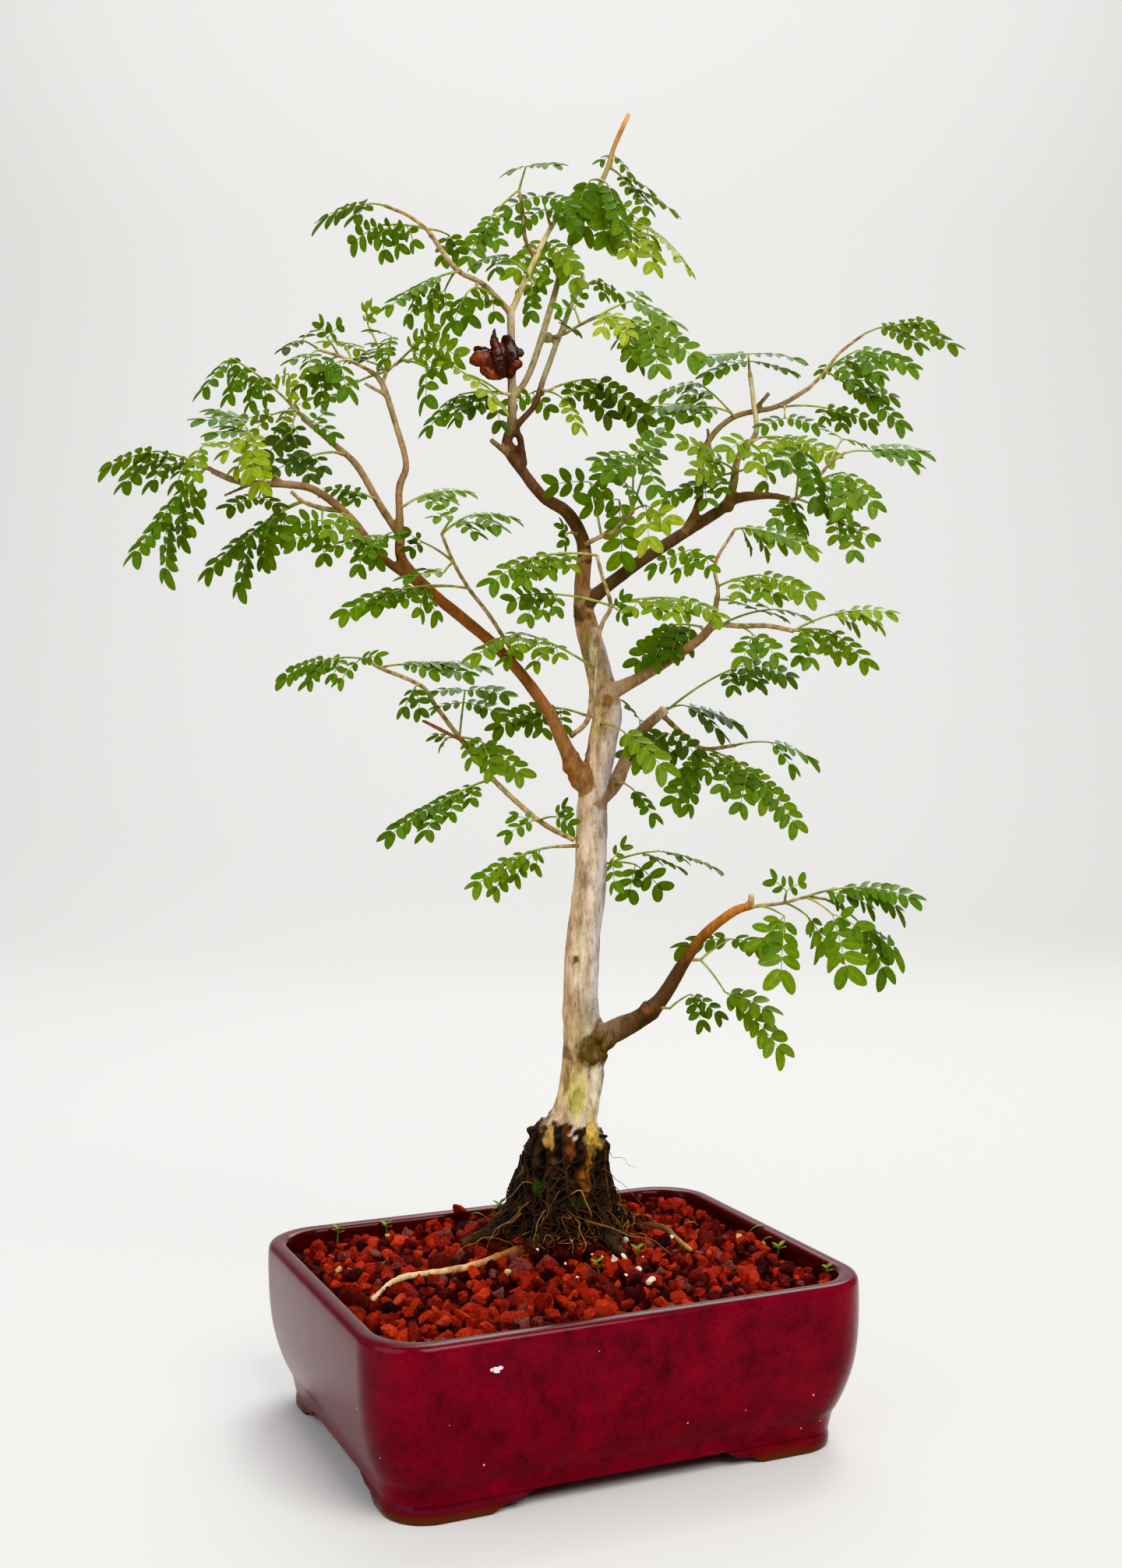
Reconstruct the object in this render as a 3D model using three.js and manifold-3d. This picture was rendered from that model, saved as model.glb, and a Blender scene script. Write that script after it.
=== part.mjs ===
// A rain tree trained as a bonsai, in a glazed rectangular pot with cloud feet.
// Millimetres, +Z up, the pot's long side along X. The tree's routes were read from the front.
import * as THREE from "three";
import { mergeVertices } from "three/addons/utils/BufferGeometryUtils.js";
import Module from "manifold-3d";

const wasm = await Module();
wasm.setup();

// Driving dimensions of the pot
const POT_LENGTH = 254;
const POT_WIDTH = 203;
const POT_CORNER_RADIUS = 29;
const POT_CORNER_STEPS = 4;
const CORNER_RADIUS_PER_INSET = 0.6;
const SMALLEST_CORNER_RADIUS = 4;
const FOOT_HEIGHT = 8.5;
const FOOT_LONG_ARM = 64;
const FOOT_SHORT_ARM = 50;
const FOOT_THICKNESS = 17;
const FOOT_OUTER_INSET = 12.9;
const FOOT_TAPER = 1.2;
const FOOT_CORNER_STEPS = 3;
const FLOOR_TOP = 16;
const DRAIN_HOLE_RADIUS = 12;
const DRAIN_HOLE_SIDES = 12;
const DRAIN_HOLE_OFFSET = 58;

// The pot's walls as [inset from the rim's outline, height]
const POT_OUTSIDE = [
  [12.6, 8.5], [11, 16.5], [8.6, 20.5], [4.6, 31],
  [1.6, 44], [0.2, 60], [0, 80], [1.1, 83], [3.2, 84],
];
const POT_INSIDE = [[7.6, 84], [9.4, 82], [9.9, 76], [11.4, 46], [16, 26], [30, FLOOR_TOP]];

// A foot's lower edge as [share of its length, height]
const FOOT_EDGE = [
  [0, 7.2], [0.05, 4], [0.12, 3.6], [0.18, 0], [0.82, 0], [0.88, 3.6], [0.95, 4], [1, 7.2],
];

// The feet as [name, side along X, side along Y]
const FEET = [
  ["foot_front_left", -1, -1], ["foot_front_right", 1, -1],
  ["foot_back_left", -1, 1], ["foot_back_right", 1, 1],
];

// Drain mesh, a square over each hole
const MESH_SIDE = 36;
const MESH_THICKNESS = 1.2;
const MESH_BAR = 2;
const MESH_CELLS = 3;

// Clearance between touching pieces
const CLEARANCE = 0.35;

// Soil
const SOIL_EDGE_HEIGHT = 77;
const SOIL_MOUND_HEIGHT = 10;
const SOIL_MOUND_REACH = 75;
const SOIL_GRIT_RELIEF = 1.5;
const SOIL_RINGS = 7;
const SOIL_MIDDLE_SHARE = 0.4;
const SOIL_SEED = 7;
// The row of the pot's inside at which the soil ends
const SOIL_TOP_ROW = 2;

// Seed pod: crumpled folds, each a route of [right, up, back, half width, half thickness] from its middle
const POD_MIDDLE = [-30, 540, 0.6];
const POD_SIDES = 6;
const POD_FOLDS = [
  [
    [3.1, -12.2, -3, 2, 1.4], [1.3, -5.6, -5.2, 3, 1.8], [0, 0.5, -5.6, 3, 1.8],
    [-1.5, 6.6, -4.2, 2.2, 1.5], [-1.3, 13.5, -2, 0.5, 0.6],
  ],
  [
    [5.6, -11.7, 0, 2.4, 1.6], [7.1, -3.6, -1.6, 4, 2.2], [6.1, 4.6, -1, 4.2, 2.2],
    [4.6, 11.2, 2, 2.2, 1.4],
  ],
  [[3.5, -1, 1, 3, 2], [9.7, 1.5, -1, 2.8, 1.6], [14, 1.2, 0, 1.5, 1]],
  [[4, -5, 0, 3, 2.2], [9.5, -4.5, -1.6, 3, 1.8], [13, -3.2, -1, 1.7, 1.2]],
  [[4, -9, 1, 2.6, 2], [9.7, -8, 0, 1.7, 1.2]],
  [[2, -5, 0, 5, 2.6], [-5.6, -2.5, -2.6, 5, 2.2], [-10.7, -2.6, -3, 3.8, 1.8], [-14.3, -3.6, -1, 1.4, 1]],
  [[0, -0.5, 1, 2.4, 2], [-7.7, 3, 1, 2.2, 1.4], [-12.5, 3.9, 2, 1.5, 1]],
  [[3, -9, 0, 2.8, 2], [-3, -9.5, -2.6, 3.2, 2], [-8.5, -5.6, -2.6, 2.4, 1.6]],
  [[2.5, -10.5, 0, 2.4, 2.4], [1.5, -5, 0, 5, 5], [1.5, 2, 0, 5, 4.6], [2.6, 7, 0, 2, 2.2]],
  [[-8, -2, 3.6, 4.2, 1.8], [0, -0.6, 4.8, 6, 2.4], [8, -1, 5.6, 4, 2]],
];

// How the front view's readings become places: the eye and the plane in which they were read
const EYE_ACROSS = 3;
const EYE_UP = 350;
const EYE_DISTANCE = 934;
const TRUNK_BACK = 45;
const FRONT_TURN = THREE.MathUtils.degToRad(-24);
const TRUNK_FOOT_READING = [3.5, 90, 0];

// Wood routes: each point is [across, up, back, diameter]
const WOOD_SIDES = 5;
const SHOOT_SIDES = 3;
const LIMBS = [
  { sides: 10, route: [
    [2, 58, 0, 40], [3, 76, 0, 56], [3.5, 92, 0, 56], [4, 102, 0, 53], [5, 116, 0, 44], [7, 131, 0, 36],
    [9.5, 142, 0, 26], [11.5, 150, 0, 23], [14, 165, 0, 22], [14.6, 180, 0, 21.5], [13.5, 200, 0, 18.6],
    [14, 230, 0, 17.6], [18.4, 270, 0, 16.4], [19.5, 310, 1, 15.6], [25, 342, 1, 14.6], [27, 355, 2, 15],
    [22, 380, 1, 13], [16, 402, 0, 11.5], [14, 420, 0, 8], [15.4, 438, 0, 7.4],
  ] },
  { sides: 8, route: [
    [15.4, 434, 0, 7.4], [13.8, 446.5, 1, 7], [5.9, 459.6, 2, 6.6], [-6.4, 467.5, 3, 5.8],
    [-17, 480.7, 4, 5.4],
    [-25, 493, 5, 5.2], [-22.5, 507, 6, 4.6], [-22.6, 534, 8, 4.2], [-23, 564, 8, 4],
  ] },
  { route: [[-16, 484, 4, 3.2], [-18.3, 498, 6, 3.2], [-20, 503.5, 8, 3.2], [-10.4, 515, 11, 3],
    [-7, 525.5, 13, 3], [3, 552.4, 22, 2.8], [14.7, 581.5, 30, 2.4]] },
  { route: [[-22.6, 517, 6, 3], [-13, 532, 14, 3.4], [-1.8, 566.5, 30, 3.2], [6.2, 592.8, 40, 3],
    [25.2, 631.8, 50, 2.8], [30.4, 647, 52, 2.6], [38, 664, 56, 2.4]] },
  { route: [[-23, 562, 8, 3.4], [-37, 576.6, -4, 2.8], [-51.4, 584.7, -15, 2.6],
    [-65.5, 604, -29, 2.4]] },
  { route: [[-23, 562, 8, 3.4], [-14.7, 580.7, 13, 3], [-3.9, 602.8, 20, 2.6], [4.6, 616, 24, 2.2]] },
  { route: [[-10, 590, 17, 2.2], [-15.5, 600, 15, 2.2], [-17.5, 621, 14, 2]] },
  { route: [[-24, 489, 5, 3], [-33.6, 497, -1, 2.6]] },
  // The left main limb and what it forks into
  { route: [[16, 318, 0, 12], [11, 326, -4, 11], [4, 340, -8, 7.4], [-5.4, 359, -14, 6],
    [-25, 384, -24, 5.6],
    [-45.8, 402.6, -34, 5.6], [-64.5, 418, -42, 5.4], [-79.5, 434.7, -46, 5.2], [-80.5, 449, -46, 4.6]] },
  { route: [[-69, 421, -43.4, 4.6], [-79, 428, -46.5, 4.4], [-92, 438, -52, 4], [-106, 456, -58, 3.8],
    [-122, 469.3, -64, 3.6], [-134.4, 473.4, -68, 3.6], [-162.6, 475, -75, 3.2],
    [-178.8, 481, -80, 2.6]] },
  { route: [[-80.5, 447, -46, 4], [-81, 471, -40, 3.4], [-77.4, 484.3, -35, 3.2], [-82.6, 504.4, -27, 3],
    [-90, 526.5, -20, 2.8], [-98, 533.5, -24, 2]] },
  { route: [[-80.5, 447, -46, 4], [-91.4, 463.7, -34, 3.6], [-102.8, 483.4, -18, 3.4],
    [-116, 495.6, -4, 3],
    [-131, 508, 8, 2.6]] },
  // The right main limb and its forks
  { sides: 7, route: [[16, 412, 0, 8], [28, 422, 6, 6.6], [45.5, 435, 14, 6.4], [65.8, 448, 23, 6.2],
    [84.2, 459.6, 31, 6], [94, 466.5, 34, 5.6], [110.5, 468, 27, 3.6], [122, 466.3, 19, 3]] },
  { route: [[89, 462, 32, 5], [92.5, 474, 36, 4.6], [95, 488, 40, 3.4], [104, 500, 47, 3],
    [103, 515, 50, 2.8],
    [100.7, 532, 51, 2.4]] },
  { route: [[67, 449, 23, 4.4], [74.6, 465, 30, 3.6], [77.5, 492, 46, 3.2], [92, 508.2, 54, 3],
    [115, 514, 62, 2.8],
    [132.4, 524, 68, 2.4]] },
  { route: [[104, 513, 59, 2.4], [111, 521, 56, 2.2]] },
  // The right limb from the knot half way up, and the limb behind it
  { route: [[25, 364, 0, 9], [34.3, 368.5, -3, 7.5], [49.4, 376.6, -9, 5.4], [72.6, 391.5, -20, 4.6],
    [81, 400, -23, 4.4]] },
  { route: [[79, 397, -21, 3.4], [82.5, 405, -23, 3], [84.7, 417.5, -27, 2.6]] },
  { route: [[20, 308, 1, 10], [31, 318.4, 6, 8.5], [36, 328.6, 11, 7], [42.7, 343.3, 18, 6],
    [57.5, 357.4, 27, 5]] },
  // The low right limb with its orange tip
  { sides: 7, route: [[14, 178, 0, 15], [28, 187, -3, 12.5], [44.6, 195.4, -11, 10],
    [54.4, 203.8, -16, 8],
    [71.2, 230.5, -28, 5.6], [81, 242, -34, 5], [94.5, 252, -41, 4.4], [104, 254.7, -44.5, 3.6]] },
  { route: [[102, 253, -44, 3.4], [102.7, 261, -44, 3]] },
  // Roots that run over the soil and sink into it
  { sides: 5, route: [[4, 86, -14, 12], [-5, 76.5, -29, 7.5], [-25.4, 70.8, -42, 5.4],
    [-41.7, 64.7, -54, 4.8],
    [-58, 61.4, -60, 4.4], [-82.3, 57.4, -69, 4], [-96.6, 46.4, -97, 3]] },
  { sides: 5, route: [[18, 96, -2, 12], [35.5, 86.5, 4, 5.4], [55.8, 84.5, 9, 4], [64, 78, -9, 3.2],
    [72, 72, -20, 2.6]] },
  { sides: 5, route: [[18, 120, -8, 6], [30, 113, -12, 3], [40, 102, -15, 2.6], [46, 86, -17, 2.4]] },
  { sides: 5, route: [[-8, 104, -6, 18], [-20, 92, -13, 11], [-34, 82, -20, 7], [-50, 76, -24, 4]] },
  { sides: 5, route: [[8, 104, 8, 20], [12, 96, 22, 14], [16, 89, 38, 8], [20, 86, 54, 4]] },
  { sides: 5, route: [[-6, 104, 6, 18], [-18, 94, 16, 12], [-29, 88, 24, 7], [-37, 85, 30, 4]] },
  { sides: 5, route: [[14, 100, -8, 16], [22, 86, -20, 10], [30, 76, -34, 6], [36, 70, -44, 4]] },
];

// Leafy stems. A shoot is a route of its own; each leaf names the shoot point that it grows from, the
// end of its stalk where the last pair of pinnae spreads, the tips of that pair, and its pairs of pinnae.
// Points are [across, up, back].
const LEAFY_STEMS = {
  left_tip: { width: 2.4, shoot: [[-174, 479, -78], [-181, 482.5, -81], [-186, 483, -83]], leaves: [
    [1, [-207, 491, -92], [-236, 480, -106], [-226, 470, -80], 3],
    [1, [-184, 493, -94], [-189, 476, -106], [-170, 495, -86], 1],
    [1, [-200, 459, -84], [-221, 433, -94], [-203, 423, -74], 3],
    [1, [-195, 467, -66], [-182, 466, -54], [-190, 447, -60], 1],
  ] },
  left_middle: { width: 2.4, shoot: [[-151, 468, -74], [-151, 474, -77], [-152, 481, -76]], leaves: [
    [2, [-161, 505, -62], [-188, 506, -70], [-180, 512, -48], 2],
    [2, [-157, 500, -84], [-157, 477, -98], [-174, 487, -92], 2],
    [1, [-154, 467, -68], [-172, 460, -60], [-142, 461, -58], 1],
  ] },
  left_lower_twig: { width: 2.6,
    shoot: [[-110, 460, -60], [-121, 461.5, -59], [-131, 465, -55], [-137, 470, -53]],
    leaves: [
      [1, [-121, 449, -66], [-140, 443, -76], [-120, 433, -62], 2],
      [2, [-157, 449, -56], [-183, 425, -66], [-165, 416, -50], 3],
      [2, [-148, 457, -44], [-151, 431, -38], [-140, 446, -30], 1],
    ] },
  left_upper_tip: { width: 2.2, shoot: [[-129, 506.5, 7], [-134, 511.5, 10], [-138, 516, 12]], leaves: [
    [1, [-126, 506, 0], [-113, 497, -6], [-117, 511, 8], 1],
    [1, [-138, 513, 22], [-143, 501, 30], [-127, 516, 30], 1],
    [1, [-146, 510, 2], [-164, 506, -6], [-158, 499, 8], 1],
    [1, [-137, 501, -8], [-151, 487, -18], [-132, 487, -14], 2],
    [2, [-168, 539, 4], [-184, 519, -10], [-167, 522, 18], 3],
    [2, [-138, 531, 16], [-145, 526, 26], [-136, 517, 8], 1],
  ] },
  left_inner: { width: 2, shoot: [[-109, 489, -14], [-114, 490.5, -17]], leaves: [
    [1, [-131, 487, -22], [-148, 479, -30], [-127, 475, -28], 2],
  ] },
  left_bright: { width: 2, shoot: [[-103, 453, -57], [-106, 456, -62]], leaves: [
    [1, [-111, 459, -68], [-118, 446, -76], [-105, 446, -72], 1],
  ] },
  left_fork: { width: 2, shoot: [[-80, 443, -48], [-83, 446, -52]], leaves: [
    [1, [-97, 447, -62], [-116, 439, -76], [-103, 427, -66], 2],
    [1, [-91, 446, -70], [-98, 436, -82], [-80, 447, -76], 1],
  ] },
  left_upper_side: { width: 2, shoot: [[-92, 464, -34], [-94, 466.5, -39]], leaves: [
    [1, [-105, 470, -44], [-121, 470, -54], [-112, 464, -38], 2],
  ] },
  left_centre: { width: 2, shoot: [[-81, 462, -42], [-78, 463, -44]], leaves: [
    [1, [-65, 469, -34], [-42, 469, -26], [-54, 464, -44], 1],
  ] },
  crown_left_outer: { width: 2,
    shoot: [[-98, 533.5, -24], [-105, 537, -28], [-112, 540, -30], [-122, 543, -36]],
    leaves: [
      [3, [-131, 548, -44], [-142, 542, -54], [-125, 553, -34], 1],
      [2, [-118, 549, -34], [-123, 558, -40], [-110, 556, -26], 1],
      [1, [-110, 547, -18], [-121, 546, -12], [-100, 541, -4], 1],
      [3, [-126, 541, -48], [-138, 536, -60], [-128, 531, -62], 1],
      [1, [-112, 537, -42], [-107, 518, -54], [-120, 531, -54], 1],
      [2, [-122, 534, -20], [-133, 521, -16], [-121, 517, -6], 2],
    ] },
  crown_left_inner: { width: 2, shoot: [[-89.5, 525, -20], [-87, 532, -14], [-80, 538, -6]], leaves: [
    [1, [-112, 521, -26], [-122, 514, -34], [-104, 527, -16], 1],
    [1, [-97, 537, -2], [-107, 538, 8], [-96, 543, 14], 1],
    [1, [-85, 550, -22], [-97, 553, -32], [-89, 541, -36], 2],
    [1, [-83, 535, 4], [-74, 538, 14], [-91, 532, 16], 1],
    [1, [-97, 556, -12], [-99, 567, -14], [-94, 566, -6], 1],
    [2, [-69, 547, -12], [-62, 557, -22], [-48, 538, -26], 2],
    [2, [-67, 534, -16], [-67, 513, -26], [-56, 531, -30], 1],
  ] },
  crown_front: { width: 2, shoot: [[-23, 520, 3], [-28, 521, 0]], leaves: [
    [1, [-50, 520, -4], [-68, 499, -14], [-53, 507, -20], 2],
    [1, [-47, 531, -14], [-60, 537, -22], [-29, 513, -28], 1],
    [1, [-32, 519, -10], [-46, 511, -16], [-28, 502, -16], 1],
  ] },
  crown_far_twig: { width: 2.2, shoot: [[-64, 601, -28], [-66.5, 605, -30], [-76, 612, -36],
    [-88, 617, -44]],
    leaves: [
      [3, [-96, 618, -48], [-124, 607, -60], [-105, 608, -36], 1],
      [1, [-90, 607, -42], [-106, 596, -54], [-88, 589, -34], 3],
      [1, [-55, 602, -16], [-49, 591, -6], [-59, 587, -8], 1],
    ] },
  crown_left_twig: { width: 2, shoot: [[-49, 583.5, -14], [-52, 583, -19]], leaves: [
    [1, [-67, 577, -26], [-89, 562, -38], [-77, 556, -22], 2],
    [1, [-57, 574, -12], [-68, 561, -4], [-56, 558, -12], 1],
  ] },
  crown_low_twig: { width: 2, shoot: [[-40, 578, -7], [-41, 575, -11]], leaves: [
    [1, [-46, 572, -20], [-54, 552, -30], [-45, 555, -24], 1],
    [1, [-33, 572, -3], [-46, 565, 2], [-31, 558, 0], 1],
  ] },
  crown_back_stub: { width: 2, shoot: [[-17.5, 619, 14], [-18.6, 625, 13.5]], leaves: [
    [1, [-37, 606, 4], [-46, 586, -8], [-28, 596, -2], 2],
    [1, [-15, 637, 12], [-26, 633, 4], [4, 637, 4], 1],
  ] },
  crown_fork: { width: 2, shoot: [[-14, 581, 13], [-14, 582, 8.5]], leaves: [
    [1, [-28, 592, 2], [-43, 585, -8], [-31, 582, -12], 1],
    [1, [-12, 577, 2], [-4, 575, -4], [-13, 558, -2], 1],
  ] },
  crown_umbrella: { width: 2, shoot: [[1, 581, 34], [0, 586, 32]], leaves: [
    [1, [-5, 599, 28], [-23, 580, 14], [10, 584, 16], 2],
  ] },
  crown_left_umbrella: { width: 2, shoot: [[-2, 606, 21], [-3.5, 610, 19]], leaves: [
    [1, [-7, 622, 16], [-28, 613, 9], [10, 615, 8], 2],
  ] },
  crown_top_front: { width: 2, shoot: [[24, 630, 50], [23, 630, 45]], leaves: [
    [1, [18, 630, 38], [8, 606, 28], [14, 599, 40], 1],
    [1, [27, 628, 38], [35, 603, 28], [27, 596, 34], 1],
  ] },
  crown_top_back: { width: 2, shoot: [[27, 636, 51], [29, 636, 56]], leaves: [
    [1, [30, 643, 60], [40, 630, 68], [22, 638, 68], 1],
    [1, [40, 626, 62], [63, 612, 70], [49, 613, 78], 2],
  ] },
  crown_right: { width: 2, shoot: [[17, 609, 45], [20, 610, 49]], leaves: [
    [1, [47, 607, 50], [71, 582, 42], [51, 583, 32], 3],
    [1, [33, 618, 58], [46, 606, 64], [30, 600, 60], 1],
  ] },
  crown_cut_tip: { width: 1.8, shoot: [[12, 574, 29], [15.5, 575, 29]], leaves: [
    [1, [20, 579, 26], [36, 568, 22], [26, 569, 36], 1],
  ] },
  crown_right_low: { width: 2, shoot: [[-4, 549.5, 23], [4, 551, 16], [13, 556, 8],
    [22, 560, 4]], leaves: [
    [2, [10, 564, 10], [0, 563, 2], [15, 573, 16], 1],
    [3, [39, 568, 8], [65, 553, 2], [47, 571, 20], 1],
    [2, [28, 562, -8], [39, 549, -18], [24, 551, -16], 1],
    [3, [47, 556, -6], [75, 536, -12], [54, 530, -18], 2],
    [3, [38, 553, 12], [43, 533, 6], [30, 545, 16], 1],
    [1, [6, 554, 6], [3, 558, 0], [12, 552, -2], 1],
  ] },
  heart_top: { width: 2, shoot: [[-8, 523, 12], [-4, 522, 8], [0, 524, 6]], leaves: [
    [1, [4, 518, 0], [17, 523, -8], [13, 501, -8], 1],
    [2, [21, 528, 14], [49, 503, 18], [19, 513, 24], 2],
    [1, [-12, 521, 24], [-24, 513, 32], [-2, 510, 26], 1],
  ] },
  heart_twig: { width: 2.6, shoot: [[14, 442, 0], [24, 447, -9], [31, 450, -12], [36, 455, -15],
    [40, 460, -17]],
    leaves: [
      [1, [18, 475, -8], [-5, 472, -14], [26, 465, 0], 1],
      [3, [33, 466, -8], [35, 431, 0], [13, 462, -12], 1],
      [4, [37, 474, -22], [27, 478, -30], [43, 464, -30], 1],
      [4, [41, 489, -12], [19, 484, -22], [58, 501, 0], 2],
      [4, [48, 484, -26], [53, 468, -36], [23, 479, -38], 1],
      [4, [47, 463, -24], [49, 440, -32], [61, 452, -34], 1],
    ] },
  heart_left: { width: 1.8, shoot: [[12, 448, 0], [8.5, 449, -4]], leaves: [
    [1, [6, 448, -8], [2, 454, -12], [4, 441, -12], 1],
  ] },
  front_twig: { width: 2.7, shoot: [[8, 343, -10], [17.4, 353, -16], [19.5, 379, -21], [24, 400.5, -27],
    [28.8, 411, -31], [24.4, 426.3, -35], [21.7, 437, -38]], leaves: [
    [6, [-11, 436, -48], [-36, 420, -60], [-17, 421, -62], 3],
    [4, [-10, 417, -38], [-25, 412, -46], [-15, 402, -44], 3],
    [2, [-18, 397, -34], [-45, 382, -48], [-20, 388, -50], 3],
    [4, [62, 415, -42], [88, 403, -52], [61, 404, -58], 3],
    [4, [32, 409, -36], [38, 404, -42], [37, 417, -38], 1],
  ] },
  left_front_twig: { width: 2.2, shoot: [[-20.4, 384, -23], [-33.4, 404.7, -40], [-45, 420, -51],
    [-53, 433.7, -62],
    [-59, 448.2, -70]], leaves: [
    [4, [-44, 458, -70], [-18, 455, -62], [-27, 450, -82], 2],
    [4, [-53, 457, -76], [-64, 456, -86], [-60, 463, -68], 1],
    [2, [-82, 419, -64], [-114, 404, -72], [-97, 407, -80], 2],
    [2, [-68, 420, -54], [-71, 405, -62], [-61, 403, -50], 1],
    [3, [-58, 428, -70], [-80, 424, -82], [-71, 429, -58], 1],
    [3, [-69, 444, -62], [-80, 449, -66], [-77, 438, -56], 1],
  ] },
  behind_left: { width: 2, shoot: [[23, 352, 5], [13, 355, 13]], leaves: [
    [1, [-6, 358, 22], [-33, 345, 30], [-7, 343, 34], 2],
  ] },
  lower_left_stem: { width: 3, shoot: [[10, 289, -2], [-8.4, 299, 2], [-32.4, 320.6, 9], [-50, 342.5, 17],
    [-62.4, 359, 24], [-70, 369.5, 28], [-91.4, 378.8, 36], [-97, 383, 39]], leaves: [
    [7, [-119, 383, 44], [-145, 371, 50], [-130, 368, 34], 2],
    [7, [-102, 383, 30], [-114, 369, 24], [-90, 384, 22], 1],
    [6, [-70, 380, 44], [-34, 378, 52], [-42, 373, 38], 2],
    [3, [-47, 367, 10], [-23, 363, 2], [-66, 365, 4], 2],
    [5, [-73, 369, 20], [-80, 354, 12], [-70, 353, 16], 1],
    [3, [-38, 340, 12], [-15, 320, 6], [-32, 322, -2], 2],
    [3, [-57, 342, 22], [-65, 343, 26], [-60, 337, 26], 1],
    [2, [-58, 309, -8], [-90, 288, -20], [-69, 289, -26], 3],
    [1, [-11, 299, -6], [-27, 290, -14], [-24, 301, -2], 1],
    [1, [0, 301, -10], [10, 295, -20], [7, 307, -14], 1],
  ] },
  lower_left_leaf: { width: 2.2, shoot: [[12, 286, -4], [1, 285.5, -10]], leaves: [
    [1, [-22, 279, -18], [-44, 262, -28], [-33, 259, -16], 3],
  ] },
  right_upright_stem: { width: 2.2, shoot: [[84.7, 415, -27], [84.5, 421, -28], [83.3, 433.3, -30],
    [93.4, 450.7, -35]],
    leaves: [
      [1, [106, 427, -38], [137, 413, -46], [108, 414, -52], 2],
      [2, [70, 440, -28], [48, 428, -22], [73, 430, -38], 2],
      [3, [102, 451, -38], [136, 438, -44], [111, 437, -30], 2],
    ] },
  right_limb_left: { width: 2.2, shoot: [[78, 397, -20], [76, 400, -14]], leaves: [
    [1, [61, 401, -12], [40, 377, -6], [50, 379, -20], 3],
  ] },
  right_limb_end: { width: 3.4, shoot: [[79, 398, -22], [86, 401, -25], [96, 400.5, -29],
    [110.8, 400.5, -35],
    [124, 398, -41]], leaves: [
    [1, [112, 409, -16], [132, 404, -8], [93, 416, -6], 2],
    [2, [103, 396, -36], [117, 382, -46], [97, 380, -48], 1],
    [4, [152, 408, -48], [178, 406, -54], [171, 399, -40], 2],
    [4, [143, 398, -34], [164, 378, -28], [141, 386, -20], 2],
    [4, [129, 397, -48], [134, 379, -56], [127, 380, -50], 1],
  ] },
  behind_right_top: { width: 2, shoot: [[57, 357, 27], [60, 358, 30]], leaves: [
    [1, [97, 380, 34], [126, 372, 38], [104, 368, 26], 2],
    [1, [68, 359, 40], [98, 347, 48], [89, 342, 34], 1],
  ] },
  behind_right: { width: 3, shoot: [[56, 354, 27], [69.3, 341.7, 36], [78, 336.5, 42],
    [94, 338.4, 50]], leaves: [
    [3, [112, 340, 56], [137, 329, 62], [126, 323, 50], 1],
    [2, [101, 326, 40], [128, 293, 32], [96, 303, 24], 3],
    [2, [73, 328, 32], [60, 306, 26], [69, 302, 34], 2],
  ] },
  behind_heart: { width: 2, shoot: [[43, 342, 18], [45, 341, 22]], leaves: [
    [1, [44, 352, 34], [36, 360, 42], [60, 334, 44], 1],
    [1, [58, 345, 16], [76, 331, 14], [42, 330, 8], 2],
  ] },
  trunk_front: { width: 1.6, shoot: [[24, 349, -4], [24, 350, -11]], leaves: [
    [1, [35, 346, -22], [60, 322, -32], [46, 327, -26], 1],
  ] },
  trunk_young_leaf: { width: 1.6, shoot: [[30, 317, 2], [35, 319, -1]], leaves: [
    [1, [41, 315, -4], [53, 298, -10], [44, 308, -6], 1],
  ] },
  trunk_low_right: { width: 1.8, shoot: [[20, 276, 0], [29, 277, -1]], leaves: [
    [1, [54, 283, -8], [87, 272, -16], [68, 278, 4], 2],
    [1, [42, 276, 8], [38, 257, 14], [57, 261, 18], 1],
    [1, [30, 279, -12], [31, 262, -18], [38, 287, -16], 1],
  ] },
  low_limb_leaf: { width: 1.8, shoot: [[55, 201, -18], [60, 200.5, -23]], leaves: [
    [1, [71, 208, -28], [78, 189, -36], [88, 194, -32], 1],
  ] },
  low_limb_middle: { width: 1.8, shoot: [[72, 226, -28], [76, 226, -33]], leaves: [
    [1, [89, 209, -42], [116, 196, -50], [122, 173, -46], 1],
    [1, [92, 237, -24], [63, 231, -18], [112, 230, -12], 1],
  ] },
  low_limb_end: { width: 2, shoot: [[101, 253.5, -43.5], [107, 254.5, -46], [120, 256, -46],
    [131, 259, -50], [141, 258, -48]],
    leaves: [
      [3, [158, 264, -58], [192, 256, -66], [183, 249, -50], 3],
      [2, [121, 262, -56], [112, 269, -62], [131, 267, -50], 1],
      [1, [120, 249, -58], [118, 212, -70], [105, 230, -66], 1],
      [2, [132, 249, -40], [148, 223, -44], [139, 229, -30], 1],
      [3, [145, 250, -64], [154, 214, -76], [162, 240, -74], 1],
      [4, [161, 244, -38], [174, 214, -42], [182, 225, -28], 1],
    ] },
  right_shoot: { width: 2.2, shoot: [[118, 466.5, 22], [125, 466.5, 17], [134, 474, 14],
    [142, 484, 12], [150, 490, 12]],
    leaves: [
      [1, [122, 464, 6], [114, 452, -4], [127, 443, -6], 2],
      [1, [151, 453, 4], [166, 444, 0], [156, 435, -8], 2],
      [2, [150, 480, -4], [168, 460, -12], [150, 456, -20], 2],
      [1, [128, 492, 4], [138, 460, -12], [116, 481, -8], 1],
      [4, [162, 491, 16], [195, 489, 22], [190, 482, 8], 1],
      [3, [149, 497, 22], [162, 493, 30], [139, 502, 30], 1],
    ] },
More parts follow.
